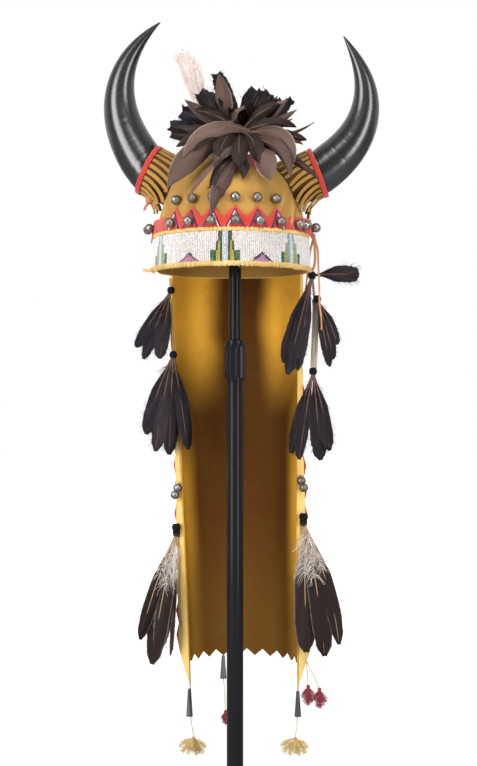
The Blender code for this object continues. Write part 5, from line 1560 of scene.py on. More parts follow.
def make_red_cloth():
    """The red wool strip with its six points, and the rows of beads that line each point."""
    half, end, rows = TOOTH_PITCH / 2, CLOTH_ARC / 2, 18
    span = TOOTH_COUNT * half
    teeth = np.linspace(-span, span, 24 * TOOTH_COUNT + 1)
    arcs = np.concatenate([np.linspace(-end, -span, 36)[:-1], teeth, np.linspace(span, end, 36)[1:]])
    past = np.abs(arcs)
    climb = np.abs((arcs + span) / half % 2.0 - 1.0)
    plain = CLOTH_VALLEY + (CLOTH_PLAIN - CLOTH_VALLEY) * np.clip((past - span) / CLOTH_SLOPE, 0.0, 1.0)
    highs = np.where(past > span, plain, CLOTH_PEAK + (CLOTH_VALLEY - CLOTH_PEAK) * climb)
    lows = CLOTH_FOOT + (CLOTH_TAB - CLOTH_FOOT) * np.clip((past - end) / CLOTH_SLOPE + 1.0, 0.0, 1.0)
    run = np.linspace(0.0, 1.0, rows)[:, None]
    out = cloth_out(arcs) + 0.00035 * (1 + waves(arcs * 120 + 2 * run, 31)) * np.sin(np.pi * run)
    points = crown_point(wrap_azimuth(arcs)[None, :], lows + (highs - lows) * run, out)
    tint = np.zeros((*out.shape, 3))
    tint[..., 0] = np.maximum(smooth_step(run, 0.93, 1.0), 1 - smooth_step(run, 0.0, 0.05))
    strip = form_of(points, grid_faces(rows, len(arcs)), shares(rows, len(arcs)), tint.reshape(-1, 3))
    cloth = add_piece("red_points", walled(strip, CLOTH_WALL), red_wool(), ("red_cloth_points",))
    beads = make_point_beads()


def make_point_beads():
    """Two lines of beads up each leg of each point, dark outside and paler inside."""
    shade = colours()
    navy, white = np.array(shade.navy_bead), np.array(shade.white_bead)
    plum = np.array(shade.pink_bead) * 0.45
    run = (np.arange(13) + 0.5) / 13
    places, tints, normals = [], [], []
    dice = np.random.default_rng(9)
    for tooth, side, inner in itertools.product(range(TOOTH_COUNT), (-1, 1), (0, 1)):
        centre = (tooth + 0.5 - TOOTH_COUNT / 2) * TOOTH_PITCH
        arc = centre + side * ((0.0102 - 0.0018 * inner) * (1.0 - run) + 0.0001)
        height = CLOTH_FOOT + 0.0006 + (CLOTH_PEAK - CLOTH_FOOT - 0.0052 - 0.0026 * inner) * run
        azimuth = wrap_azimuth(arc)
        places.append(crown_point(azimuth, height, cloth_out(arc) + CLOTH_WALL + 0.0006))
        normals.append(crown_normal(azimuth, height))
        lit = white if (tooth + (side > 0)) % 3 == 0 else plum
        tints.append((lit if inner else navy) * dice.uniform(0.75, 1.25, (len(run), 1)))
    places, tints, normals = (np.concatenate(rows) for rows in (places, tints, normals))
    frames = frames_along(unit(dice.standard_normal(places.shape) * 0.2 + (0, 0, 1)), normals)
    beads = copies(bead_form(), places, frames, (0.00085, 0.00085, 0.00078), np.clip(tints, 0, 1))
    return add_piece("point_beads", beads, bead_glass("point_glass"), (), 80)


def bell_form():
    """A hawk bell of unit size: a ridged ball with a slit below, and its loop on top."""
    turn = 2 * np.pi * np.arange(12) / 12
    ring = np.stack([0 * turn, 0.26 * np.cos(turn), 1.06 + 0.22 * np.sin(turn)], axis=-1)
    spokes = unit(ring - (0, 0, 1.06))
    around = (2 * np.pi * np.arange(6) / 6)[None, :, None]
    loop = ring[:, None] + 0.075 * (np.cos(around) * spokes[:, None] + np.sin(around) * np.array([1.0, 0, 0]))
    return joined([ball_form(36, 22, ridge=0.035, slit=0.16), loft(loop)])


def make_bells():
    """The bells on the cap and on the trailer's edges, their loops held against the hide."""
    dice = np.random.default_rng(4)
    for level, count in (("upper", 6), ("lower", 11)):
        nodes = [f"bell_{level}_{k + 1}" for k in range(count)]
        places = np.array([np.mean(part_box(node), axis=0) for node in nodes])
        flat = places * (1, 1, 0) - (CAP_X, 0, 0)
        up = unit(np.array([0, 0, 0.6]) - unit(flat) + 0.12 * dice.standard_normal(places.shape))
        beside = dice.standard_normal(places.shape) * 0.5 + (1.0, 0, 0)
        tints = np.repeat(dice.uniform(0, 1, (count, 1)), 3, axis=1)
        bells = copies(bell_form(), places, frames_along(up, beside), BELL_RADIUS, tints)
        add_piece(f"bells_{level}", bells, bell_metal(), nodes, 50)
    radius = EDGE_BELL_RADIUS
    for tag, side in SIDES:
        low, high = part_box(f"edge_bells_{tag}")
        x = high.x - radius if side < 0 else low.x + radius
        upper = np.array([x, high.y - radius, high.z - radius])
        lower = upper + np.array([0.55 * side, -0.4, -1.5]) * radius
        up = unit(np.array([[-0.3 * side, 0.2, 1.0], [-0.7 * side, 0.5, 0.8]]))
        frames = frames_along(up, (1, 0.4, 0))
        pair = copies(bell_form(), [upper, lower], frames, radius, [(0.3,) * 3, (0.7,) * 3])
        middle = (upper + lower) / 2 + (0.2 * radius * side, 0, 0)
        hold = upper + (0, radius * 0.9, radius * 1.1)
        path = np.array([lower + up[1] * radius, middle, upper + up[0] * radius, hold])
        tie = strands(eased(path, 14)[None], (0, -1, 0.1), 0.0008, 0.0005, 6)
        add_piece(f"bells_edge_{tag}", pair, bell_metal(), (f"edge_bells_{tag}",), 50)
        add_piece(f"bells_edge_{tag}_tie", tie, tan_thong(), ())


def horn_axis(horn, side):
    """The direction in which the horn leaves its cuff."""
    pitch = math.radians(horn["pitch"])
    return np.array([side * math.cos(pitch), 0.0, math.sin(pitch)])


def horn_base(horn, side):
    """The middle of the cuff's outer end: so far along the horn's axis from its seat on the crown."""
    height = horn["climb"] * CROWN_HEIGHT
    spread = math.sqrt(float(crown_plan(height)) ** 2 - (HORN_Y / CROWN_HALF_LENGTH) ** 2)
    seat = np.array([CAP_X + side * CROWN_HALF_WIDTH * spread, HORN_Y, RIM_HEIGHT + height])
    return seat + horn_axis(horn, side) * horn["stand"]


def split_rings(centres, tangents, radius, wall, hollow, count=45):
    """Horn sections, round in front over the split's reach each way: centre + r (cos t front + sin t across).
    Behind, each is a groove one wall thick, blended by 1 - hollow into the rest of the circle."""
    across = unit(np.cross(tangents, FRONT))[:, None]
    front = unit(np.cross(across, tangents[:, None]))

    def round_by(degrees, size):
        """The arc size (cos t front + sin t across) at each section."""
        turn = np.radians(degrees)[None, :, None]
        return size * (np.cos(turn) * front + np.sin(turn) * across)

    share = np.linspace(1.0, -1.0, count)
    groove = round_by(SPLIT_REACH * share, radius - wall)
    round_back = round_by(180.0 - (180.0 - SPLIT_REACH) * share * (1 - 1 / count), radius)
    inner = groove + (round_back - groove) * (1.0 - hollow)
    return centres[:, None] + np.concatenate([round_by(-SPLIT_REACH * share, radius), inner], axis=1)


def horn_course(horn, side, count):
    """Centres, widths and hollows from the base to the tip. Past a straight stretch the curve's heading is
    leave + turn (3 t^2 - 2 t^3), where t is its share over ease, and its place is the running sum of
    (cos heading, sin heading). The width tapers by 1 - share^taper, and the groove ends near the tip."""
    share = np.linspace(0.0, 1.0, count)
    middle = (share[:-1] + share[1:]) / 2
    heading = np.radians(horn["leave"] + horn["turn"] * smooth_step(middle, 0.0, horn["ease"]))
    along = np.stack([side * np.cos(heading), np.zeros(count - 1), np.sin(heading)], axis=1)
    run = np.concatenate([np.zeros((1, 3)), np.cumsum(along, axis=0)]) * horn["length"] / (count - 1)
    run[:, 1] = HORN_LEAN * share**2
    axis = horn_axis(horn, side) * HORN_STRAIGHT
    first = np.linspace(0.0, 1.0, FIRST_SECTIONS, endpoint=False)[:, None] * axis
    centres = horn_base(horn, side) + np.concatenate([first, axis + run])
    share = np.concatenate([np.zeros(FIRST_SECTIONS), share])
    width = horn["width"] * (HORN_POINT + (1.0 - HORN_POINT) * (1.0 - share**HORN_TAPER))
    return centres, width, 1.0 - smooth_step(share, SPLIT_END, TIP_START)


def make_horn(tag, horn, side):
    """A split horn: sections carried along its curve, its root cut to the crown, and a pole at its tip."""
    axis = horn_axis(horn, side)
    centres, width, hollow = horn_course(horn, side, HORN_SECTIONS)
    run = np.linspace(0, 1, len(centres))
    tangents = unit(np.gradient(centres, axis=0))
    tangents = unit(axis + (tangents - axis) * smooth_step(run, 0.0, 0.16)[:, None])
    ridge = (waves(run * 95, 2 + side) + 0.5 * waves(run * 210, 5)) * (1 - smooth_step(run, 0.25, 0.6))
    radius = (width / 2 + sizes().horn_ridge * ridge)[:, None, None]
    wall = np.minimum(HORN_WALL, width * 0.225)[:, None, None]
    rings = split_rings(centres, tangents, radius, wall, hollow[:, None, None])
    depth = down_to_crown(rings[0], axis, HORN_ROOT)[:, None]
    rings = np.concatenate([[rings[0] - axis * depth * part for part in (1.0, 0.75, 0.5, 0.25)], rings])
    count, corners = rings.shape[:2]
    half, i = corners // 2, np.arange(corners // 2 - 1)
    tip = fan((count - 1) * corners + np.arange(corners), count * corners)
    foot = np.stack([i + 1, i, corners - 1 - i, corners - 2 - i], axis=1)
    faces = np.concatenate([grid_faces(count, corners, around=True), tip, foot])
    points = np.concatenate([rings.reshape(-1, 3), [rings[-1].mean(axis=0) + tangents[-1] * width[-1] / 2]])
    across = 1.0 - np.abs(2.0 * np.arange(corners) / corners - 1.0)
    course = np.stack(np.meshgrid(across, np.arange(count) / count), axis=-1).reshape(-1, 2)
    tint = np.zeros((len(points), 3))
    hollow = np.concatenate([np.ones(4), hollow])[:, None]
    tint[:-1, 0] = (hollow * (np.arange(corners) >= half)).ravel()
    form = outward(form_of(points, faces, np.concatenate([course, [(0.5, 1.0)]]), tint))
    add_piece(f"{tag}_horn", form, black_horn(), (f"horn_{tag}",))


def make_horns():
    """Both horns, each with its cuff, and the thong that ties the left cuff."""
    for (tag, side), horn in zip(SIDES, (LEFT_HORN, RIGHT_HORN)):
        make_horn(tag, horn, side)
        make_cuff(tag, horn, side)
        if tag == "left":
            make_cuff_tie()


def cuff_spokes(horn, side, turn):
    """Unit directions square to the horn's axis: cos t front + sin t upward."""
    axis = horn_axis(horn, side)
    upward = unit(np.cross(FRONT, axis) * side)
    return np.cos(turn)[:, None] * FRONT + np.sin(turn)[:, None] * upward


def make_cuff(tag, horn, side):
    """A hide cuff round the horn's base, its cut fringe, and the folded red cloth that edges it."""
    axis, base = horn_axis(horn, side), horn_base(horn, side)
    bore = horn["width"] / 2 + SKIN_GAP
    end = CLOTH_EDGE / 2 + SEAT_GAP
    turn = 2 * np.pi * np.arange(72) / 72
    radial = cuff_spokes(horn, side, turn)
    dents = 0.0004 * waves(turn * 2.0, 40 + side)[:, None] * radial
    rows = []
    for radius, parts in ((bore + CUFF_WALL, np.linspace(0, 1, 9)), (bore, np.linspace(1, 0, 9))):
        starts = base + radial * radius - axis * end
        depth = down_to_crown(starts, axis, CUFF_LENGTH - end)[:, None]
        rows += [starts - axis * depth * part + dents * math.sin(math.pi * part) for part in parts]
    # The sleeve carries the third mask, which paints it dark as shade under the fringe.
    cuff = joined([loft(np.array(rows), tint=(0.0, 0.0, 1.0)), fringe_form(horn, side, bore)])
    add_piece(f"{tag}_cuff", cuff, yellow_hide(), (f"horn_cuff_{tag}",))
    lap = 2 * np.pi * np.arange(20) / 20
    along = EDGE_HALF_WIDTH * np.sign(np.cos(lap)) * np.abs(np.cos(lap)) ** 0.5
    out = bore + 0.0021 + 0.0009 + 0.0010 * np.sign(np.sin(lap)) * np.abs(np.sin(lap)) ** 0.6
    turn = 2 * np.pi * np.arange(96) / 96
    along = along[:, None] + 0.0005 * waves(turn, 50 + side)
    rings = base + along[..., None] * axis + out[:, None, None] * cuff_spokes(horn, side, turn)
    wool = red_wool(f"{tag}_edge_wool")
    cloth = add_piece(f"{tag}_cuff_cloth", loft(rings), wool, (f"cuff_edge_{tag}",))


def flat_strip(path, half, wall, sides=8):
    """A flat hide strip along one path, its face to the front."""
    return strands(path[None], FRONT, half, wall, sides, 0.5)


def make_cuff_tie():
    """The knotted tan thong where the left cuff's lower strips gather, with its short ends."""
    centre, run = np.array(CUFF_TIE), np.linspace(0.0, 1.0, 12)[:, None]
    ways = np.array([(0.011, -0.003, -0.012), (-0.005, -0.002, -0.013), (0.013, 0.002, 0.008)])
    sway = [0.0012 * np.sin(run * 5 + number) * (1.0, 0.3, 0.0) for number in range(len(ways))]
    tails = strands(centre + run * ways[:, None] + sway, FRONT, 0.0015, 0.0006, 8, 0.5)
    tie = joined([knot_form(centre, 0.0048, 1.2, 4, 0.0013), tails])
    add_piece("cuff_tie_left", tie, tan_thong(), ())


def fringe_form(horn, side, bore):
    """The cuff's cut strips: each starts at hold + lift from the axis, goes back along it by run (1 - 0.55
    under run) and falls by (0.22 + 0.18 under) run^1.6 of its length, kept off the cuff and the crown."""
    axis, base = horn_axis(horn, side), horn_base(horn, side)
    count = sizes().fringe_strips
    dice = np.random.default_rng(60 + side)
    radial = cuff_spokes(horn, side, 2 * np.pi * (np.arange(count) + 0.5) / count)
    beside = np.cross(axis, radial)[:, None]
    hold = bore + CUFF_WALL / 2
    under = (0.5 - 0.5 * radial[:, 2])[:, None]
    run = np.linspace(0.0, 1.0, 18)[None, :]
    lift = 0.0022 * np.minimum(1.0, run * 3.0) + 0.0004 * (np.arange(count) % 2)[:, None]
    length = FRINGE_LENGTH * dice.uniform(0.82, 1.0, (count, 1))
    back = CLOTH_EDGE / 2 + 0.0006 + length * run * (1.0 - 0.55 * under * run)
    places = base + radial[:, None] * (hold + lift)[..., None] - axis * back[..., None]
    places[..., 2] -= length * (0.22 + 0.18 * under) * run**1.6
    places = places + (dice.normal(0.0, 0.0016, (count, 1)) * run**2)[..., None] * beside
    offset = places - base
    square = offset - (offset @ axis)[..., None] * axis
    reach = np.linalg.norm(square, axis=-1, keepdims=True)
    places = places + unit(square) * np.maximum(hold + 0.0016 - reach, 0.0)
    low = places[..., 2:] < RIM_HEIGHT + CLOTH_PLAIN + 0.0016
    places = np.where(low, push_clear(places, 0.0096), push_clear(places, 0.0034))
    widths = sizes().fringe_width / 2 * (1.0 - 0.12 * run) * dice.uniform(0.85, 1.05, (count, 1))
    curl = radial[:, None] + 0.25 * np.sin(run * 4.0 + np.arange(count)[:, None])[..., None] * beside
    return strands(places, unit(curl), widths, STRIP_WALL, 8, 0.55)


def trailer_plan(column, down):
    """The trailer's inner face in plan. Inside its folds it is the blend, by seat, of the cap's own curve and
    a trough (w sin t, fold + (back - fold) cos t); past a fold it goes on along the flange."""
    table = np.asarray(TRAILER_SECTIONS)
    places = np.clip(np.asarray(down)[..., None] + np.linspace(-0.05, 0.05, 9), 0.0, 1.0)
    seat, half_width, back, fold, flange, sway = (
        np.interp(places, table[:, 0], table[:, k]).mean(axis=-1) for k in range(1, 7)
    )
    side, inside = np.sign(column), np.minimum(np.abs(column), 1.0)
    turn = np.radians(TRAILER_TURN * inside)
    rim_x = (CROWN_HALF_WIDTH + SKIN_GAP) * np.sin(turn)
    rim_y = (CROWN_HALF_LENGTH + SKIN_GAP) * np.cos(turn)
    turn = np.radians(88.0 * inside)
    x = CROWN_HALF_WIDTH * half_width * np.sin(turn)
    y = CROWN_HALF_LENGTH * (fold + (back - fold) * np.cos(turn))
    past = np.maximum(np.abs(column) - 1.0, 0.0) * FLANGE_WIDTH * flange
    x = x + (rim_x - x) * seat + past * math.cos(math.radians(FLANGE_TURN))
    y = y + (rim_y - y) * seat + past * math.sin(math.radians(FLANGE_TURN))
    return CAP_X + TRAILER_SWAY * sway * (1.0 - seat) + side * x, y


def trailer_foot(column):
    """The height of the lower edge: pinked between the folds, with a tail at each fold."""
    across = np.abs(column)
    pinked = TRAILER_FOOT + TRAILER_TOOTH * np.abs((across * TRAILER_TEETH) % 2.0 - 1.0)
    flange = TRAILER_FOOT - TRAILER_TAIL + (across - 1.0) * (TRAILER_TAIL + FLANGE_RISE)
    return np.where(across > 0.999, flange, pinked)


def trailer_point(column, down, out=0.0):
    """A point on the trailer, that far behind its inner face: the face is moved along its level normal."""
    column, down = np.broadcast_arrays(np.asarray(column, float), np.asarray(down, float))
    x, y = trailer_plan(column, down)
    ahead, behind = (np.stack(trailer_plan(column + step, down), axis=-1) for step in (0.01, -0.01))
    across = unit(ahead - behind)
    z = TRAILER_TOP + (trailer_foot(column) - TRAILER_TOP) * down
    return np.stack([x - across[..., 1] * out, y + across[..., 0] * out, z], axis=-1)


def make_trailer():
    """The hide trailer: a trough that hangs from the back of the cap, its long edges folded outwards."""
    pinked = np.arange(-6 * TRAILER_TEETH + 1, 6 * TRAILER_TEETH) / (6 * TRAILER_TEETH)
    pinked = pinked[np.abs(pinked) < 0.984]
    flange = np.linspace(1.0, 2.0, 12)
    columns = np.concatenate([-flange[::-1], [-0.985], pinked, [0.985], flange])
    rows, count, across = 130, len(columns), np.abs(columns)
    down = np.linspace(0.0, 1.0, rows)[:, None]
    hung = smooth_step(down, 0.04, 0.3)
    ripple = 0.0007 * waves(columns[None, :] * 4.0 + 0.8 * down, 71) * hung
    flutter = 0.0010 * waves(down * 30.0 + np.sign(columns)[None, :], 72) * np.clip(across - 1, 0, 1) * hung
    points = trailer_point(columns[None, :], down, ripple + flutter)
    tint = np.zeros((rows, count, 3))
    # Mask of the flanges' pale face, painted brighter as light from the sides.
    tint[..., 0] = smooth_step(across, 0.985, 1.05)
    form = form_of(points, grid_faces(rows, count), shares(rows, count), tint.reshape(-1, 3))
    form = walled(form, TRAILER_WALL)
    form[3][rows * count :, 2] = 1.0
    trailer = add_piece("trailer", form, trailer_hide(), ("hide_trailer",))
    for tag, side in SIDES:
        make_border(tag, side)


def make_border(tag, side):
    """The red cloth behind one flange: flat to the flange's edge, with pinked points beyond it."""
    step = np.arange(2 * BORDER_TEETH * 5 + 1) / 5.0
    down = (BORDER_START + (1.0 - BORDER_START) * step / (2 * BORDER_TEETH))[:, None]
    past = BORDER_NOTCH + (BORDER_POINT - BORDER_NOTCH) * (1.0 - np.abs(step % 2.0 - 1.0))
    across = np.linspace(0.0, 1.0, 7)[None, :]
    place = trailer_point(side * (1.5 + 0.5 * across), down, TRAILER_WALL + BORDER_GAP)
    turn = math.radians(FLANGE_TURN)
    beyond = (past[:, None] * across)[..., None] * np.array([side * math.cos(turn), math.sin(turn), 0.0])
    cloth = form_of((place + beyond)[:, :: int(side)], grid_faces(len(down), 7), shares(len(down), 7))
    cloth, wool = walled(cloth, BORDER_WALL), red_wool(f"{tag}_border_wool")
    border = add_piece(f"{tag}_border", cloth, wool, (f"trailer_border_{tag}",))


def edge_seat(name):
    """The middle of a round tie that hangs in front of one of the trailer's flanges."""
    side, past, drop = EDGE_PLACES[name]
    column = side * (1.0 + past)
    down = drop * TRAILER_LENGTH / (TRAILER_TOP - float(trailer_foot(column)))
    clear = (SIDE_KNOT + SEAT_GAP) / math.cos(math.radians(FLANGE_TURN))
    return trailer_point(column, down) - (0.0, clear, 0.0)


def temple_seat(name):
    """The middle of a tie that hangs below the right end of the brow band."""
    side_point = np.array([CAP_X + CROWN_HALF_WIDTH, 0.0, RIM_HEIGHT])
    return side_point + np.array(TEMPLE_PLACES[name]) * TEMPLE_DROP


def shaft_courses(root, table, reach, clear=None):
    """The shafts of a table's feathers: each step goes along (cos e flat + sin e up), where e falls from the
    feather's elevation by its droop."""
    rows = np.asarray(table, float)
    turn = np.radians(rows[:, 0])
    flat = np.stack([np.sin(turn), -np.cos(turn), 0.0 * turn], axis=-1)
    places = [np.broadcast_to(np.asarray(root, float), (len(rows), 3))]
    for step in range(SHAFT_STEPS):
        lift = np.radians(rows[:, 1] - rows[:, 4] * (step + 0.5) / SHAFT_STEPS)[:, None]
        move = flat * np.cos(lift) + np.array([0.0, 0.0, 1.0]) * np.sin(lift)
        place = places[-1] + move * (reach * rows[:, 2] / SHAFT_STEPS)[:, None]
        places.append(clear(place) if clear else place)
    return np.stack(places, axis=1)


def clear_of_bells(places):
    """Points at the bells' height moved out from the crown until they are clear of the bells."""
    moved = push_clear(places, SEAT_GAP + 2 * BELL_RADIUS + 0.0020)
    low = places[..., 2:] <= RIM_HEIGHT + BELL_HEIGHT + 2 * BELL_RADIUS
    return np.where(low, moved, places)


def jagged(count, dice, size, reach=3):
    """Ragged values along an edge: random ones, each also felt by a few of its neighbours."""
    raw = dice.uniform(0.0, 1.0, count) ** 4
    worn = np.convolve(raw, np.ones(reach) / reach, mode="same")
    return size * (0.6 * raw + 1.2 * worn)


def feather_form(
    course, row, vane, seed, shape, ragged=0.04, camber=0.16, grid=(64, 15), twist=0.0,
    wisps=0, fray=0, rolls=None, dark=None, rim=1.0,
):
    """One feather. Its vane is shaft + half t across + 0.55 half |t| along + camber half t^2 face, where t
    runs from -1 to 1 across the vane and half follows the shape. The shaft is a tapered strand."""
    steps, columns = grid
    dice = np.random.default_rng(seed)
    path, share = eased(course, steps), np.linspace(0.0, 1.0, steps)
    along = unit(np.gradient(path, axis=0))
    level = level_along(row[0])
    upright = unit(np.cross(along, level))
    tilt = math.radians(row[5]) + math.radians(twist) * dice.uniform(-1.0, 1.0) * share**1.5
    if rolls is not None:
        level = unit(np.cross(FRONT, along))
        upright = np.cross(along, level)
        tilt = np.radians(np.interp(share, (0.0, 1.0), rolls))
    across = level * np.cos(tilt)[:, None] + upright * np.sin(tilt)[:, None]
    face = unit(np.cross(across, along))
    camber = camber * dice.uniform(0.5, 1.25)
    outline = np.asarray(shape, float)
    girth = np.interp(share[:, None] + np.linspace(-0.03, 0.03, 7), outline[:, 0], outline[:, 1]).mean(axis=1)
    half = np.maximum(vane * row[3] * girth / 2, 0.0007)[:, None]
    t, run = np.linspace(-1.0, 1.0, columns), share[:, None]
    frayed = 0.35 + 1.3 * smooth_step(run, 0.55, 0.95)
    worn = 1.0 - frayed * np.stack([jagged(steps, dice, ragged) for _ in range(2)], axis=1)
    reach = np.where(t < 0, worn[:, :1], worn[:, 1:])
    narrow = np.where(t * dice.choice([-1.0, 1.0]) > 0, 1.0, dice.uniform(0.68, 1.0))
    wide = half * (t * narrow) * (1.0 + (reach - 1.0) * t**2)
    lean = 0.55 * np.abs(wide) * (1.0 - 0.4 * run)
    curl = camber * half * t**2 + 0.04 * half * np.sin(9 * run + 5 * t + seed)
    points = path[:, None] + wide[..., None] * across[:, None] + lean[..., None] * along[:, None]
    points = points + curl[..., None] * face[:, None]
    tint = np.zeros((steps, columns, 3))
    edge = smooth_step(np.abs(t), 0.80, 1.0) * np.where(t * dice.choice([-1.0, 1.0]) > 0, 1.0, rim)
    # Pale edges fade on darker feathers, so they fade with the painted shade too.
    tint[..., 0] = edge * (1.0 - 0.75 * (dark or 0.0))
    tint[..., 2] = dice.uniform(0.0, 1.0) if dark is None else dark
    vane_form = form_of(points, grid_faces(steps, columns), shares(steps, columns), tint.reshape(-1, 3))
    thick = np.interp(share, (0.0, 0.15, 1.0), (0.0012, 0.0009, 0.00018))[:-2]
    shaft = strands((path + face * 0.0001)[None, :-2], face[:-2], thick, thick * 0.9, 6, tint=(0.0, 1.0, 0.3))
    forms = [walled(vane_form, sizes().vane_wall, 0.0), shaft]
    if fray:
        forms.append(frayed_barbs(points, half.max(), face, fray, dice))
    if wisps:
        start = dice.uniform(0.10, 0.42, wisps)
        forms.append(wisp_form(path, across, along, face, half.max(), start, dice))
    return joined(forms)


def loose_barbs(paths, face, thick, shade, along):
    """Single barbs, all at once: thin strands, each with its place along the feather as its course."""
    points, faces, _, tint = strands(paths, face[:, None], thick, thick, 4, tint=(0.0, 0.0, shade))
    course = np.stack([np.full(len(paths), 0.5), along], axis=1)
    return points, faces, np.repeat(course, len(points) // len(paths), axis=0), tint


def frayed_barbs(points, half, face, count, dice):
    """Loose barbs along a vane's worn edges: barb = edge + reach (s out + 0.35 s^2 along), more of them
    towards the tip."""
    steps, columns = points.shape[:2]
    at = (dice.triangular(0.30, 0.96, 1.0, count) * (steps - 1)).astype(int)
    left = (dice.random(count) < 0.5)[:, None]
    edge = np.where(left, points[at, 0], points[at, -1])
    out = unit(edge - np.where(left, points[at, 3], points[at, -4]))
    along = unit(points[at, columns // 2] - points[np.maximum(at - 4, 0), columns // 2] + 1e-9)
    run = np.linspace(-0.3, 1.0, 7)[None, :, None]
    reach = (half * dice.uniform(0.10, 0.55, count) ** 1.3)[:, None, None]
    paths = edge[:, None] + reach * (run * out[:, None] + 0.35 * np.maximum(run, 0.0) ** 2 * along[:, None])
    thick = THREAD_RADIUS * (1.1 - 0.7 * np.linspace(0, 1, 7))
    return loose_barbs(paths, face[at], thick, 0.4, at / steps)


def wisp_form(path, across, along, face, half, start, dice):
    """Downy barbs near a feather's root: barb = shaft(u) + half (s side across + 0.9 s^1.5 along + wander s
    face)."""
    count = len(start)
    run = np.linspace(0.0, 1.0, 8)[None, :]
    at = (start * (len(path) - 1)).astype(int)
    side = dice.choice([-1.0, 1.0], (count, 1)) * dice.uniform(0.35, 1.0, (count, 1)) * half
    wander = dice.normal(0.0, 0.18, (count, 1)) * half
    wave = 0.10 * half * np.sin(run * dice.uniform(3, 8, (count, 1)) + dice.uniform(0, 6, (count, 1)))
    paths = (
        path[at][:, None]
        + (side * run + wave * run)[..., None] * across[at][:, None]
        + (0.9 * half * run**1.5 * dice.uniform(0.6, 1.5, (count, 1)))[..., None] * along[at][:, None]
        + (wander * run)[..., None] * face[at][:, None]
    )
    return loose_barbs(paths, face[at], 0.00030 * (1.0 - 0.7 * run), 0.1, start * 0.7)


def cluster_form(root, table, reach, vane, seed, shape=VANE_SHAPE, clear=None, spread=0.0, **ways):
    """All the feathers of a table, from one root; spread sets their own roots a little apart."""
    courses = shaft_courses(root, table, reach, clear)
    if spread:
        apart = np.random.default_rng(seed).uniform(-1.0, 1.0, (len(courses), 3))
        courses = courses + (apart * (spread, spread * 0.4, spread))[:, None]
    return joined(
        [
            feather_form(course, row, vane, seed + number, shape, **ways)
            for number, (course, row) in enumerate(zip(courses, table))
        ]
    )


def knot_form(centre, radius, stretch=1.0, wraps=5.0, thread=0.0011):
    """A tie wound round a bundle: a helix on a ball, centre + (R cos t, R sin t, z), over the ball itself."""
    tint = (0.0, 0.0, 1.0)
    turn = np.linspace(0.0, wraps * 2 * np.pi, int(wraps * 18))
    level = np.linspace(-0.8, 0.8, len(turn))
    out = (radius - thread * 0.7) * np.sqrt(1.0 - level**2)
    path = np.stack([out * np.cos(turn), out * np.sin(turn), level * radius * stretch], axis=-1)
    wound = strands((centre + path)[None], unit(path), thread, thread * 0.7, 6, tint=tint)
    points, faces, course, _ = ball_form(20, 12)
    points = points * (radius - thread) * np.array([1.0, 1.0, stretch]) + centre
    return joined([wound, form_of(points, faces, course, tint)])


def make_rosette():
    """The rosette: broad feathers that droop over the brow, clipped ones behind them, and a plume."""
    size = (ROSETTE_REACH, ROSETTE_VANE)
    front = crown_seat(ROSETTE_X, FRONT_SEAT_Y, FRONT_KNOT)
    root = front + (0.0, 0.0, FRONT_KNOT * 0.9)
    # The fill feathers are painted fully dark: painted shade in the gaps between the broad ones.
    ways = {"ragged": 0.05, "camber": 0.5, "grid": (48, 11), "twist": 60.0, "dark": 1.0}
    inner = cluster_form(root, ROSETTE_FILL, *size, 100, POINTED_SHAPE, clear_of_bells, **ways)
    table = np.array(ROSETTE_BROAD)
    courses = shaft_courses(root + table[:, 8:] * ROSETTE_REACH, table, ROSETTE_REACH, clear_of_bells)
    ways = {"ragged": 0.03, "camber": 0.5, "grid": (72, 17), "fray": 8, "rim": 0.35}
    # Each broad feather's shade from its row: its own tone, partly painted shade.
    broad = [
        feather_form(course, row, ROSETTE_VANE, 130 + k, BROAD_SHAPE, rolls=row[5:7], dark=row[7], **ways)
        for k, (course, row) in enumerate(zip(courses, table))
    ]
    form = joined([inner, *broad, knot_form(front, FRONT_KNOT * 0.9, 1.2, 7)])
    add_piece("rosette_broad", form, brown_feather(), ("rosette_front",))
    behind = crown_seat(ROSETTE_X, CROWN_SEAT_Y, CROWN_KNOT * 0.95)
    ways = {"ragged": 0.11, "camber": 0.34, "grid": (56, 13), "twist": 50.0, "fray": 30}
    clipped = cluster_form(behind, ROSETTE_CROWN, *size, 200, CLIPPED_SHAPE, **ways)
    ways = {"ragged": 0.14, "camber": 0.36, "grid": (32, 9), "twist": 60.0, "fray": 10}
    tufts = cluster_form(behind, filler_rows(46), *size, 300, CLIPPED_SHAPE, spread=0.004, **ways)
    form = joined([clipped, tufts, knot_form(behind, CROWN_KNOT * 0.9, 1.0, 8)])
    add_piece("rosette_clipped", form, black_feather(), ("rosette_crown",))
    seat = crown_seat(PLUME_X, PLUME_SEAT_Y, PLUME_KNOT * 0.8)
    courses = shaft_courses(seat, ROSETTE_PLUME, PLUME_REACH)
    blades = [plume_form(course, row, 400 + k) for k, (course, row) in enumerate(zip(courses, ROSETTE_PLUME))]
    form = joined([*blades, knot_form(seat, PLUME_KNOT, 1.0, 3, 0.0008)])
    add_piece("rosette_plume_down", form, plume_down(), ("rosette_plume",))


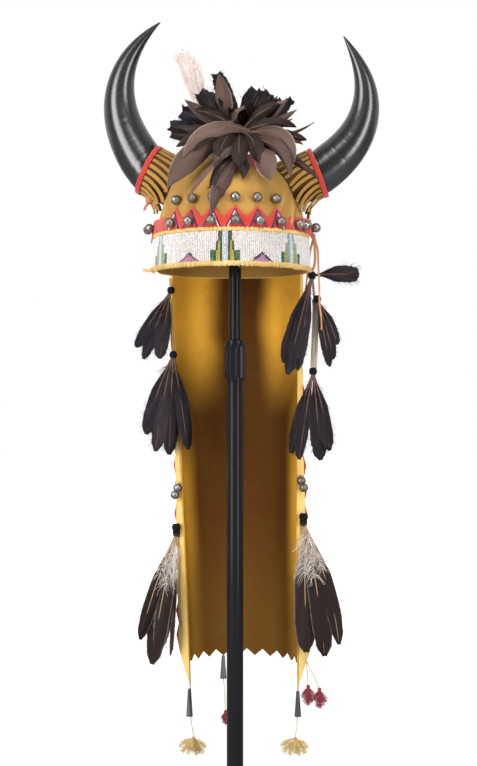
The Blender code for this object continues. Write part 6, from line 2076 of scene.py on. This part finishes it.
def plume_form(course, row, seed, count=1300):
    """A soft plume of single barbs: barb = shaft(u) + half(u) (s side across + lift s^1.3 along + wander s
    face), on a tapered shaft."""
    dice = np.random.default_rng(seed)
    tilt = math.radians(row[5])
    path = eased(course, 90)
    along = unit(np.gradient(path, axis=0))
    level = level_along(row[0])
    across = level * math.cos(tilt) + unit(np.cross(along, level)) * math.sin(tilt)
    face = unit(np.cross(across, along))
    start = np.sort(dice.uniform(0.30, 0.99, count))
    outline = np.asarray(PLUME_SHAPE, float)
    half = PLUME_VANE * row[3] * np.interp(start + 0.06, outline[:, 0], outline[:, 1])[:, None] / 2
    run = np.linspace(0.0, 1.0, 7)[None, :]
    at = (start * 89).astype(int)
    side = np.where(np.arange(count) % 2 == 0, -1.0, 1.0)[:, None] * dice.uniform(0.55, 1.05, (count, 1))
    lift = dice.uniform(1.2, 2.6, (count, 1))
    paths = (
        path[at][:, None]
        + (half * side * run)[..., None] * across[at][:, None]
        + (half * lift * run**1.3)[..., None] * along[at][:, None]
        + (half * dice.normal(0, 0.30, (count, 1)) * run)[..., None] * face[at][:, None]
    )
    taper = np.linspace(0.0010, 0.00025, 90)
    shaft = strands(path[None], face, taper, taper, 6, tint=(0.0, 0.6, 0.0))
    return joined([loose_barbs(paths, face[at], 0.00021 * (1.0 - 0.5 * run), 0.0, start), shaft])


def filler_rows(count):
    """Short clipped feathers all round the crown's knot: spread azimuths, elevations and widths."""
    dice = np.random.default_rng(17)
    turn = np.linspace(-180, 180, count, endpoint=False) + dice.uniform(-6, 6, count)
    lift = dice.uniform(18, 74, count)
    length, width = dice.uniform(0.36, 0.72, count), dice.uniform(0.28, 0.66, count)
    droop = dice.uniform(0, 26, count)
    roll = np.where(np.abs(turn) > 120, 20.0, np.where(turn < 0, 70.0, 80.0))
    return np.stack([turn, lift, length, width, droop, roll], axis=1)


def make_side_feathers():
    """The dark feathers that hang at both temples."""
    for number, (side, table, reach, vane) in enumerate(
        (
            ("upper_left", SIDE_UPPER_LEFT, SIDE_REACH, SIDE_VANE),
            ("lower_left", SIDE_LOWER_LEFT, DROP_REACH, DROP_VANE),
            ("upper_right", SIDE_UPPER_RIGHT, DROP_REACH, DROP_VANE),
            ("outer_right", SIDE_OUTER_RIGHT, DROP_REACH, SIDE_VANE),
            ("lower_right", SIDE_LOWER_RIGHT, DROP_REACH, DROP_VANE),
        )
    ):
        name, seed = f"side_{side}", 500 + 20 * number
        root = edge_seat(name) if name in EDGE_PLACES else temple_seat(name)
        blades = cluster_form(root, table, reach, vane, seed, ragged=0.10, wisps=18, twist=30.0, fray=80)
        form = joined([blades, knot_form(root, SIDE_KNOT)])
        add_piece(f"{name}_feathers", form, black_feather(), (name,))


def make_tail_feathers():
    """The pale-rooted brown feathers low on the trailer's edges."""
    ways = {"ragged": 0.05, "grid": (84, 15), "wisps": 90, "twist": 30.0, "fray": 40}
    for (tag, _), table, seed in zip(SIDES, (TAIL_LEFT, TAIL_RIGHT), (700, 720)):
        name = f"tail_feathers_{tag}"
        root = edge_seat(name)
        blades = cluster_form(root, table, TAIL_REACH, TAIL_VANE, seed, **ways)
        form = joined([blades, knot_form(root, SIDE_KNOT, 1.3)])
        add_piece(f"{tag}_tail_feathers", form, tail_feather(), (name,))


def bowed(start, end, course, bow, steps=32):
    """A path from start to end that stands out and back from the straight line at the course's places."""
    middle = [start + (end - start) * along + np.array([out, back, 0.0]) * bow for along, out, back in course]
    return eased(np.array([start, *middle, end]), steps)


def make_thongs():
    """Hide thongs at the temples, a flat quill between two of the ties, and dark beads on the tail ties."""
    upper, lower = temple_seat("side_upper_right"), temple_seat("side_lower_right")
    above = np.array([0.0, 0.0, SIDE_KNOT + SEAT_GAP])
    behind = np.array([0.0, SIDE_KNOT + SEAT_GAP + STRIP_WALL, 0.0])
    tied = float(cloth_out(LAST_BELL_ARC)) + CLOTH_WALL + SEAT_GAP + 0.0020
    start = crown_point(wrap_azimuth(LAST_BELL_ARC), LAST_BELL_HEIGHT - BELL_RADIUS - 2 * SEAT_GAP, tied)
    path = bowed(start, upper + above, THONG_COURSE, THONG_BOW)
    forms = [flat_strip(path, 0.0017, STRIP_WALL)]
    run = np.linspace(0.0, 1.0, 32)[:, None]
    for shift, end, seed in (
        ((0.0038, 0.001, 0.0), (0.007, -0.003, -0.070), 1),
        ((-0.003, 0.002, -0.004), (-0.008, 0.001, -0.052), 2),
    ):
        wander = 0.0009 * waves(run * 6, seed) * np.array([1.0, 0.0, 0.0])
        leave = np.array(shift) * smooth_step(run, 0.0, 0.2)
        loose = path[0] + leave + (path[-1] + end - path[0]) * run + wander * run
        forms.append(flat_strip(loose, 0.0014 * (1 - 0.4 * run[:, 0]), 0.0006))
    add_piece("right_thongs", joined(forms), tan_thong(), ("thong_right",))
    held = edge_seat("side_upper_left")
    ends = [held + np.array(place) * SIDE_KNOT for place in LEFT_THONG_COURSE]
    strip = flat_strip(bowed(*ends, (), 0.0, 12), 0.0016, STRIP_WALL)
    add_piece("left_thong", strip, tan_thong(), ("thong_left",))
    path = bowed(upper + behind, lower + above, SLAT_COURSE, SLAT_BOW, 60)
    narrow, broad = 0.0015, 0.0040
    widths = (narrow, narrow, broad, broad, narrow, 0.0012)
    widths = np.interp(np.linspace(0.0, 1.0, 60), (0.0, 0.30, 0.34, 0.93, 0.97, 1.0), widths)
    slat = flat_strip(path, widths, STRIP_WALL, 12)
    add_piece("flat_quill", slat, flat_quill(), ("quill_slat_right",))
    for tag, _ in SIDES:
        centre = edge_seat(f"tail_feathers_{tag}") + (0.0, 0.0, 0.0065)
        bead = knot_form(centre, 0.0058, 0.92, 6, 0.0010)
        add_piece(f"{tag}_tie_bead", bead, black_feather(), ())


def rolled_cone(top, length):
    """A cone rolled from tin: radius r(z) (0.94 + 0.10 t / 2 pi), so that one edge laps the other; it is open
    below."""
    share = np.arange(40) / 40
    turn, lap = 2 * np.pi * share + 2.2, 0.94 + 0.10 * share
    run = np.linspace(0.0, 1.0, 14)
    rings = []
    for wall, order in ((0.0, run), (0.00035, run[::-1])):
        for part in order:
            size = (CONE_TIP_RADIUS + (CONE_RADIUS - CONE_TIP_RADIUS) * part) * lap - wall
            ring = np.stack([size * np.cos(turn), size * np.sin(turn), np.full(40, -length * part)], axis=-1)
            rings.append(top + ring)
    return loft(np.array(rings))


def down_lock(course, width, barbs, dice):
    """Dyed down: barb i leaves the lock's shaft at u and ends further along it, and stands off it by
    width s^0.8 radial, with a wave along it."""
    start = dice.uniform(0.0, 0.85, barbs) ** 0.9
    run = np.linspace(0.0, 1.0, 9)[None, :]
    at = 59 * (start[:, None] + (1.0 - start[:, None]) * run * dice.uniform(0.35, 0.8, (barbs, 1)))
    shaft = eased(course, 60)
    along = unit(np.gradient(shaft, axis=0))[(start * 59).astype(int)]
    radial = dice.standard_normal((barbs, 3))
    radial = unit(radial - (radial * along).sum(axis=1, keepdims=True) * along)
    side = np.cross(radial, along)
    reach = width * dice.uniform(0.35, 1.0, (barbs, 1)) * np.sin(np.pi * (0.18 + 0.72 * start[:, None]))
    curl = 0.12 * width * np.sin(run * 9 + dice.uniform(0, 6, (barbs, 1)))
    low = np.clip(at.astype(int), 0, 58)
    share = (at - low)[..., None]
    places = shaft[low] * (1 - share) + shaft[low + 1] * share
    paths = places + (reach * run**0.8)[..., None] * radial[:, None] + (curl * run)[..., None] * side[:, None]
    thick = THREAD_RADIUS * (1.0 - 0.6 * run) * dice.uniform(0.7, 1.2, (barbs, 1))
    tints = np.repeat(dice.uniform(0, 1, (barbs, 1)), 3, axis=1)
    return strands(paths, side[:, None], thick, thick, 4, tint=tints)


def fluff_form(head, reach, seed, table=DOWN_LOCKS, width=0.0060):
    """A tuft of dyed down: its locks spring from one head."""
    dice = np.random.default_rng(seed)
    courses = shaft_courses(head, table, reach)
    locks = [down_lock(course, width, sizes().down_barbs, dice) for course in courses]
    points, faces, course, _ = ball_form(14, 9)
    return joined([*locks, form_of(points * HEAD_RADIUS + head, faces, course)])


def make_tassels():
    """Tin cones and dyed fluffs that hang from the trailer's tails and pinked edge."""
    for number, (tag, column, length, drop, reach, dye, table, width) in enumerate(
        (
            ("left", -1.0, 0.0340, LEFT_FLUFF_DROP, 0.023, "yellow", DOWN_LOCKS, 0.0060),
            ("right", 1.0, 0.0310, RIGHT_FLUFF_DROP, 0.023, "yellow", DOWN_LOCKS, 0.0060),
            ("middle", -0.3, 0.0290, MIDDLE_FLUFF_DROP, 0.015, "red", RED_LOCKS, 0.0045),
        )
    ):
        top = trailer_point(column, 1.0, TRAILER_WALL / 2) - (0.0, 0.0, SEAT_GAP)
        add_piece(f"cone_{tag}", rolled_cone(top, length), rolled_tin(), (f"tin_cone_{tag}",))
        head = top - (0.0, 0.0, length + SEAT_GAP) + np.array(drop) * TASSEL_DROP
        down = fluff_form(head, reach, 800 + number, table, width)
        add_piece(f"down_{tag}", down, dyed_down(f"{dye}_down"), (f"fluff_{tag}",))
        hung_string(f"string_{tag}", top - (0.0, 0.0, length * 0.6), head, 31 + number)
    hang = trailer_point(1.75, 1.0, TRAILER_WALL / 2) - (0.0, 0.0, EDGE_FLUFF_GAP)
    heads = [hang + np.array(drop) * TASSEL_DROP for drop in EDGE_FLUFF_DROPS]
    tufts = joined([fluff_form(head, 0.022, 820 + number, RED_LOCKS) for number, head in enumerate(heads)])
    add_piece("down_edge_right", tufts, dyed_down("red_down"), ("fluff_edge_right",))
    for number, head in enumerate(heads):
        hung_string(f"string_edge_{number + 1}", hang + (0, 0, 0.002), head, 40 + number)


def hung_string(name, start, head, seed):
    """A twisted sinew string from its hold to the head of a tuft: the straight line and a sway that is 0 at
    both ends."""
    run = np.linspace(0.0, 1.0, 20)[:, None]
    drift = np.concatenate([waves(run * 3, seed), waves(run * 3, seed + 9), 0 * run], axis=1)
    path = start + (head - start) * run + 0.0010 * np.sin(np.pi * run) * drift
    radius = STRING_RADIUS * 0.7
    string = add_piece(name, strands(path[None], FRONT, radius, radius, 8), sinew(), ())


def soft_light(name, place, width, height, power):
    """A rectangular area light at a place, turned to the lights' common aim."""
    lamp = bpy.data.lights.new(name, "AREA")
    lamp.shape = "RECTANGLE"
    lamp.size = width
    lamp.size_y = height
    lamp.energy = power
    made = bpy.data.objects.new(name, lamp)
    made.location = place
    made.rotation_euler = (Vector(LIGHT_AIM) - Vector(place)).to_track_quat("-Z", "Y").to_euler()
    bpy.context.scene.collection.objects.link(made)
    return made


def make_surround():
    """A world that looks white to the camera and lights the headdress from the front."""
    world = bpy.data.worlds.new("white_surround")
    world.use_nodes = True
    surround = world.node_tree.nodes["Background"]
    surround.inputs["Color"].default_value = (1.0, 1.0, 1.0, 1.0)
    use = Recipe(world.node_tree)
    seen = use.node("LightPath")["Is Camera Ray"]
    behind = use.parts(use.node("TexCoord")["Generated"])[1]
    around = use.ramp(behind, -0.45, 0.55, studio().sky, 1.0)
    use.put(use.math("MAXIMUM", around, seen), surround.inputs["Strength"])
    bpy.context.scene.world = world


def make_floor():
    """A round floor, a little below the stand's foot."""
    points, faces, _, _ = lathe(((0, -0.006), (9.0, -0.006), (9.0, -0.0005), (0, -0.0005)), 96)
    mesh = bpy.data.meshes.new("studio_floor")
    mesh.from_pydata([tuple(point) for point in points], [], [tuple(face[face >= 0]) for face in faces])
    mesh.materials.append(studio_floor())
    disc = bpy.data.objects.new("studio_floor", mesh)
    bpy.context.scene.collection.objects.link(disc)
    return disc


def make_camera():
    """The photo's camera: level, at its own height and distance, turned a little round the stand."""
    wanted = studio()
    lens = bpy.data.cameras.new("photo_camera")
    lens.sensor_width = 36.0
    lens.sensor_fit = "AUTO"
    lens.lens = wanted.lens
    lens.shift_x = wanted.frame_shift
    lens.clip_end = 60.0
    camera = bpy.data.objects.new("photo_camera", lens)
    turn, away = wanted.camera_azimuth, wanted.camera_distance
    camera.location = (away * math.sin(turn), -away * math.cos(turn), wanted.camera_height)
    camera.rotation_euler = (math.pi / 2, 0.0, turn)
    bpy.context.scene.collection.objects.link(camera)
    bpy.context.scene.camera = camera
    return camera


def make_stage():
    """The white surround, the pale floor, three soft lights and the camera."""
    wanted = studio()
    make_surround()
    disc = make_floor()
    lights = (
        soft_light("key_light", (-1.25, -1.45, 0.90), 0.9, 1.6, wanted.key_power),
        soft_light("fill_light", (1.45, -1.30, 0.85), 0.6, 1.6, wanted.fill_power),
        soft_light("top_light", (0.1, -1.45, 2.25), 1.3, 1.1, wanted.top_power),
    )
    camera = make_camera()
    bpy.context.scene.view_settings.view_transform = "Standard"


class HEADDRESS_OT_stand(Operator):
    """Make the display stand: its round foot, two tubes, ribbed clamp and domed rest"""

    bl_idname = "headdress.make_stand"
    bl_label = "Display Stand"
    bl_options = {"REGISTER", "UNDO"}

    def execute(self, context):
        make_stand()
        return {"FINISHED"}


class HEADDRESS_OT_cap(Operator):
    """Make the hide cap with its creases, rim stitches and the rosette's red patch"""

    bl_idname = "headdress.make_cap"
    bl_label = "Hide Cap"
    bl_options = {"REGISTER", "UNDO"}

    def execute(self, context):
        make_cap()
        return {"FINISHED"}


class HEADDRESS_OT_brow_band(Operator):
    """Make the beaded brow band and its rolled bindings"""

    bl_idname = "headdress.make_brow_band"
    bl_label = "Brow Band"
    bl_options = {"REGISTER", "UNDO"}

    def execute(self, context):
        make_brow_band()
        return {"FINISHED"}


class HEADDRESS_OT_red_cloth(Operator):
    """Make the pointed red cloth and its beads"""

    bl_idname = "headdress.make_red_cloth"
    bl_label = "Red Cloth"
    bl_options = {"REGISTER", "UNDO"}

    def execute(self, context):
        make_red_cloth()
        return {"FINISHED"}


class HEADDRESS_OT_bells(Operator):
    """Make the bells on the cap and on the trailer's edges"""

    bl_idname = "headdress.make_bells"
    bl_label = "Bells"
    bl_options = {"REGISTER", "UNDO"}

    def execute(self, context):
        make_bells()
        return {"FINISHED"}


class HEADDRESS_OT_horns(Operator):
    """Make both split horns with their cuffs, fringes and red edges"""

    bl_idname = "headdress.make_horns"
    bl_label = "Horns and Cuffs"
    bl_options = {"REGISTER", "UNDO"}

    def execute(self, context):
        make_horns()
        return {"FINISHED"}


class HEADDRESS_OT_trailer(Operator):
    """Make the hide trailer and its red borders"""

    bl_idname = "headdress.make_trailer"
    bl_label = "Trailer"
    bl_options = {"REGISTER", "UNDO"}

    def execute(self, context):
        make_trailer()
        return {"FINISHED"}


class HEADDRESS_OT_rosette(Operator):
    """Make the feather rosette and its plume"""

    bl_idname = "headdress.make_rosette"
    bl_label = "Rosette"
    bl_options = {"REGISTER", "UNDO"}

    def execute(self, context):
        make_rosette()
        return {"FINISHED"}


class HEADDRESS_OT_side_feathers(Operator):
    """Make the dark feathers at the temples"""

    bl_idname = "headdress.make_side_feathers"
    bl_label = "Side Feathers"
    bl_options = {"REGISTER", "UNDO"}

    def execute(self, context):
        make_side_feathers()
        return {"FINISHED"}


class HEADDRESS_OT_tail_feathers(Operator):
    """Make the tail feathers low on the trailer's edges"""

    bl_idname = "headdress.make_tail_feathers"
    bl_label = "Tail Feathers"
    bl_options = {"REGISTER", "UNDO"}

    def execute(self, context):
        make_tail_feathers()
        return {"FINISHED"}


class HEADDRESS_OT_thongs(Operator):
    """Make the hide thongs, the flat quill and the dark tie beads"""

    bl_idname = "headdress.make_thongs"
    bl_label = "Thongs"
    bl_options = {"REGISTER", "UNDO"}

    def execute(self, context):
        make_thongs()
        return {"FINISHED"}


class HEADDRESS_OT_tassels(Operator):
    """Make the tin cones, their strings and the dyed down"""

    bl_idname = "headdress.make_tassels"
    bl_label = "Tassels"
    bl_options = {"REGISTER", "UNDO"}

    def execute(self, context):
        make_tassels()
        return {"FINISHED"}


class HEADDRESS_OT_stage(Operator):
    """Make the floor, the lights and the camera"""

    bl_idname = "headdress.make_stage"
    bl_label = "Studio"
    bl_options = {"REGISTER", "UNDO"}

    def execute(self, context):
        make_stage()
        return {"FINISHED"}


OPERATORS = (
    HEADDRESS_OT_stand,
    HEADDRESS_OT_cap,
    HEADDRESS_OT_brow_band,
    HEADDRESS_OT_red_cloth,
    HEADDRESS_OT_bells,
    HEADDRESS_OT_horns,
    HEADDRESS_OT_trailer,
    HEADDRESS_OT_rosette,
    HEADDRESS_OT_side_feathers,
    HEADDRESS_OT_tail_feathers,
    HEADDRESS_OT_thongs,
    HEADDRESS_OT_tassels,
    HEADDRESS_OT_stage,
)


class HEADDRESS_PT_pieces(Panel):
    """Lists the headdress pieces and their settings"""

    bl_label = "Split Horn Headdress"
    bl_space_type = "VIEW_3D"
    bl_region_type = "UI"
    bl_category = "Headdress"

    def draw(self, context):
        for settings in (sizes(), colours(), studio()):
            box = self.layout.box()
            for name in settings.__annotations__:
                box.prop(settings, name)
        for operator in OPERATORS:
            self.layout.operator(operator.bl_idname)


SETTINGS = (
    ("headdress_sizes", HeaddressSizes),
    ("headdress_colours", HeaddressColours),
    ("headdress_studio", StudioSettings),
)


def register():
    for name, group in SETTINGS:
        bpy.utils.register_class(group)
        setattr(bpy.types.Scene, name, PointerProperty(type=group))
    for operator in OPERATORS:
        bpy.utils.register_class(operator)
    bpy.utils.register_class(HEADDRESS_PT_pieces)


def unregister():
    bpy.utils.unregister_class(HEADDRESS_PT_pieces)
    for operator in reversed(OPERATORS):
        bpy.utils.unregister_class(operator)
    for name, group in reversed(SETTINGS):
        delattr(bpy.types.Scene, name)
        bpy.utils.unregister_class(group)


def main():
    """Registers the add-on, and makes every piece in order."""
    register()
    for operator in OPERATORS:
        name = operator.bl_idname.split(".")[1]
        getattr(bpy.ops.headdress, name)()
    bpy.context.view_layer.update()


if __name__ == "__main__":
    main()
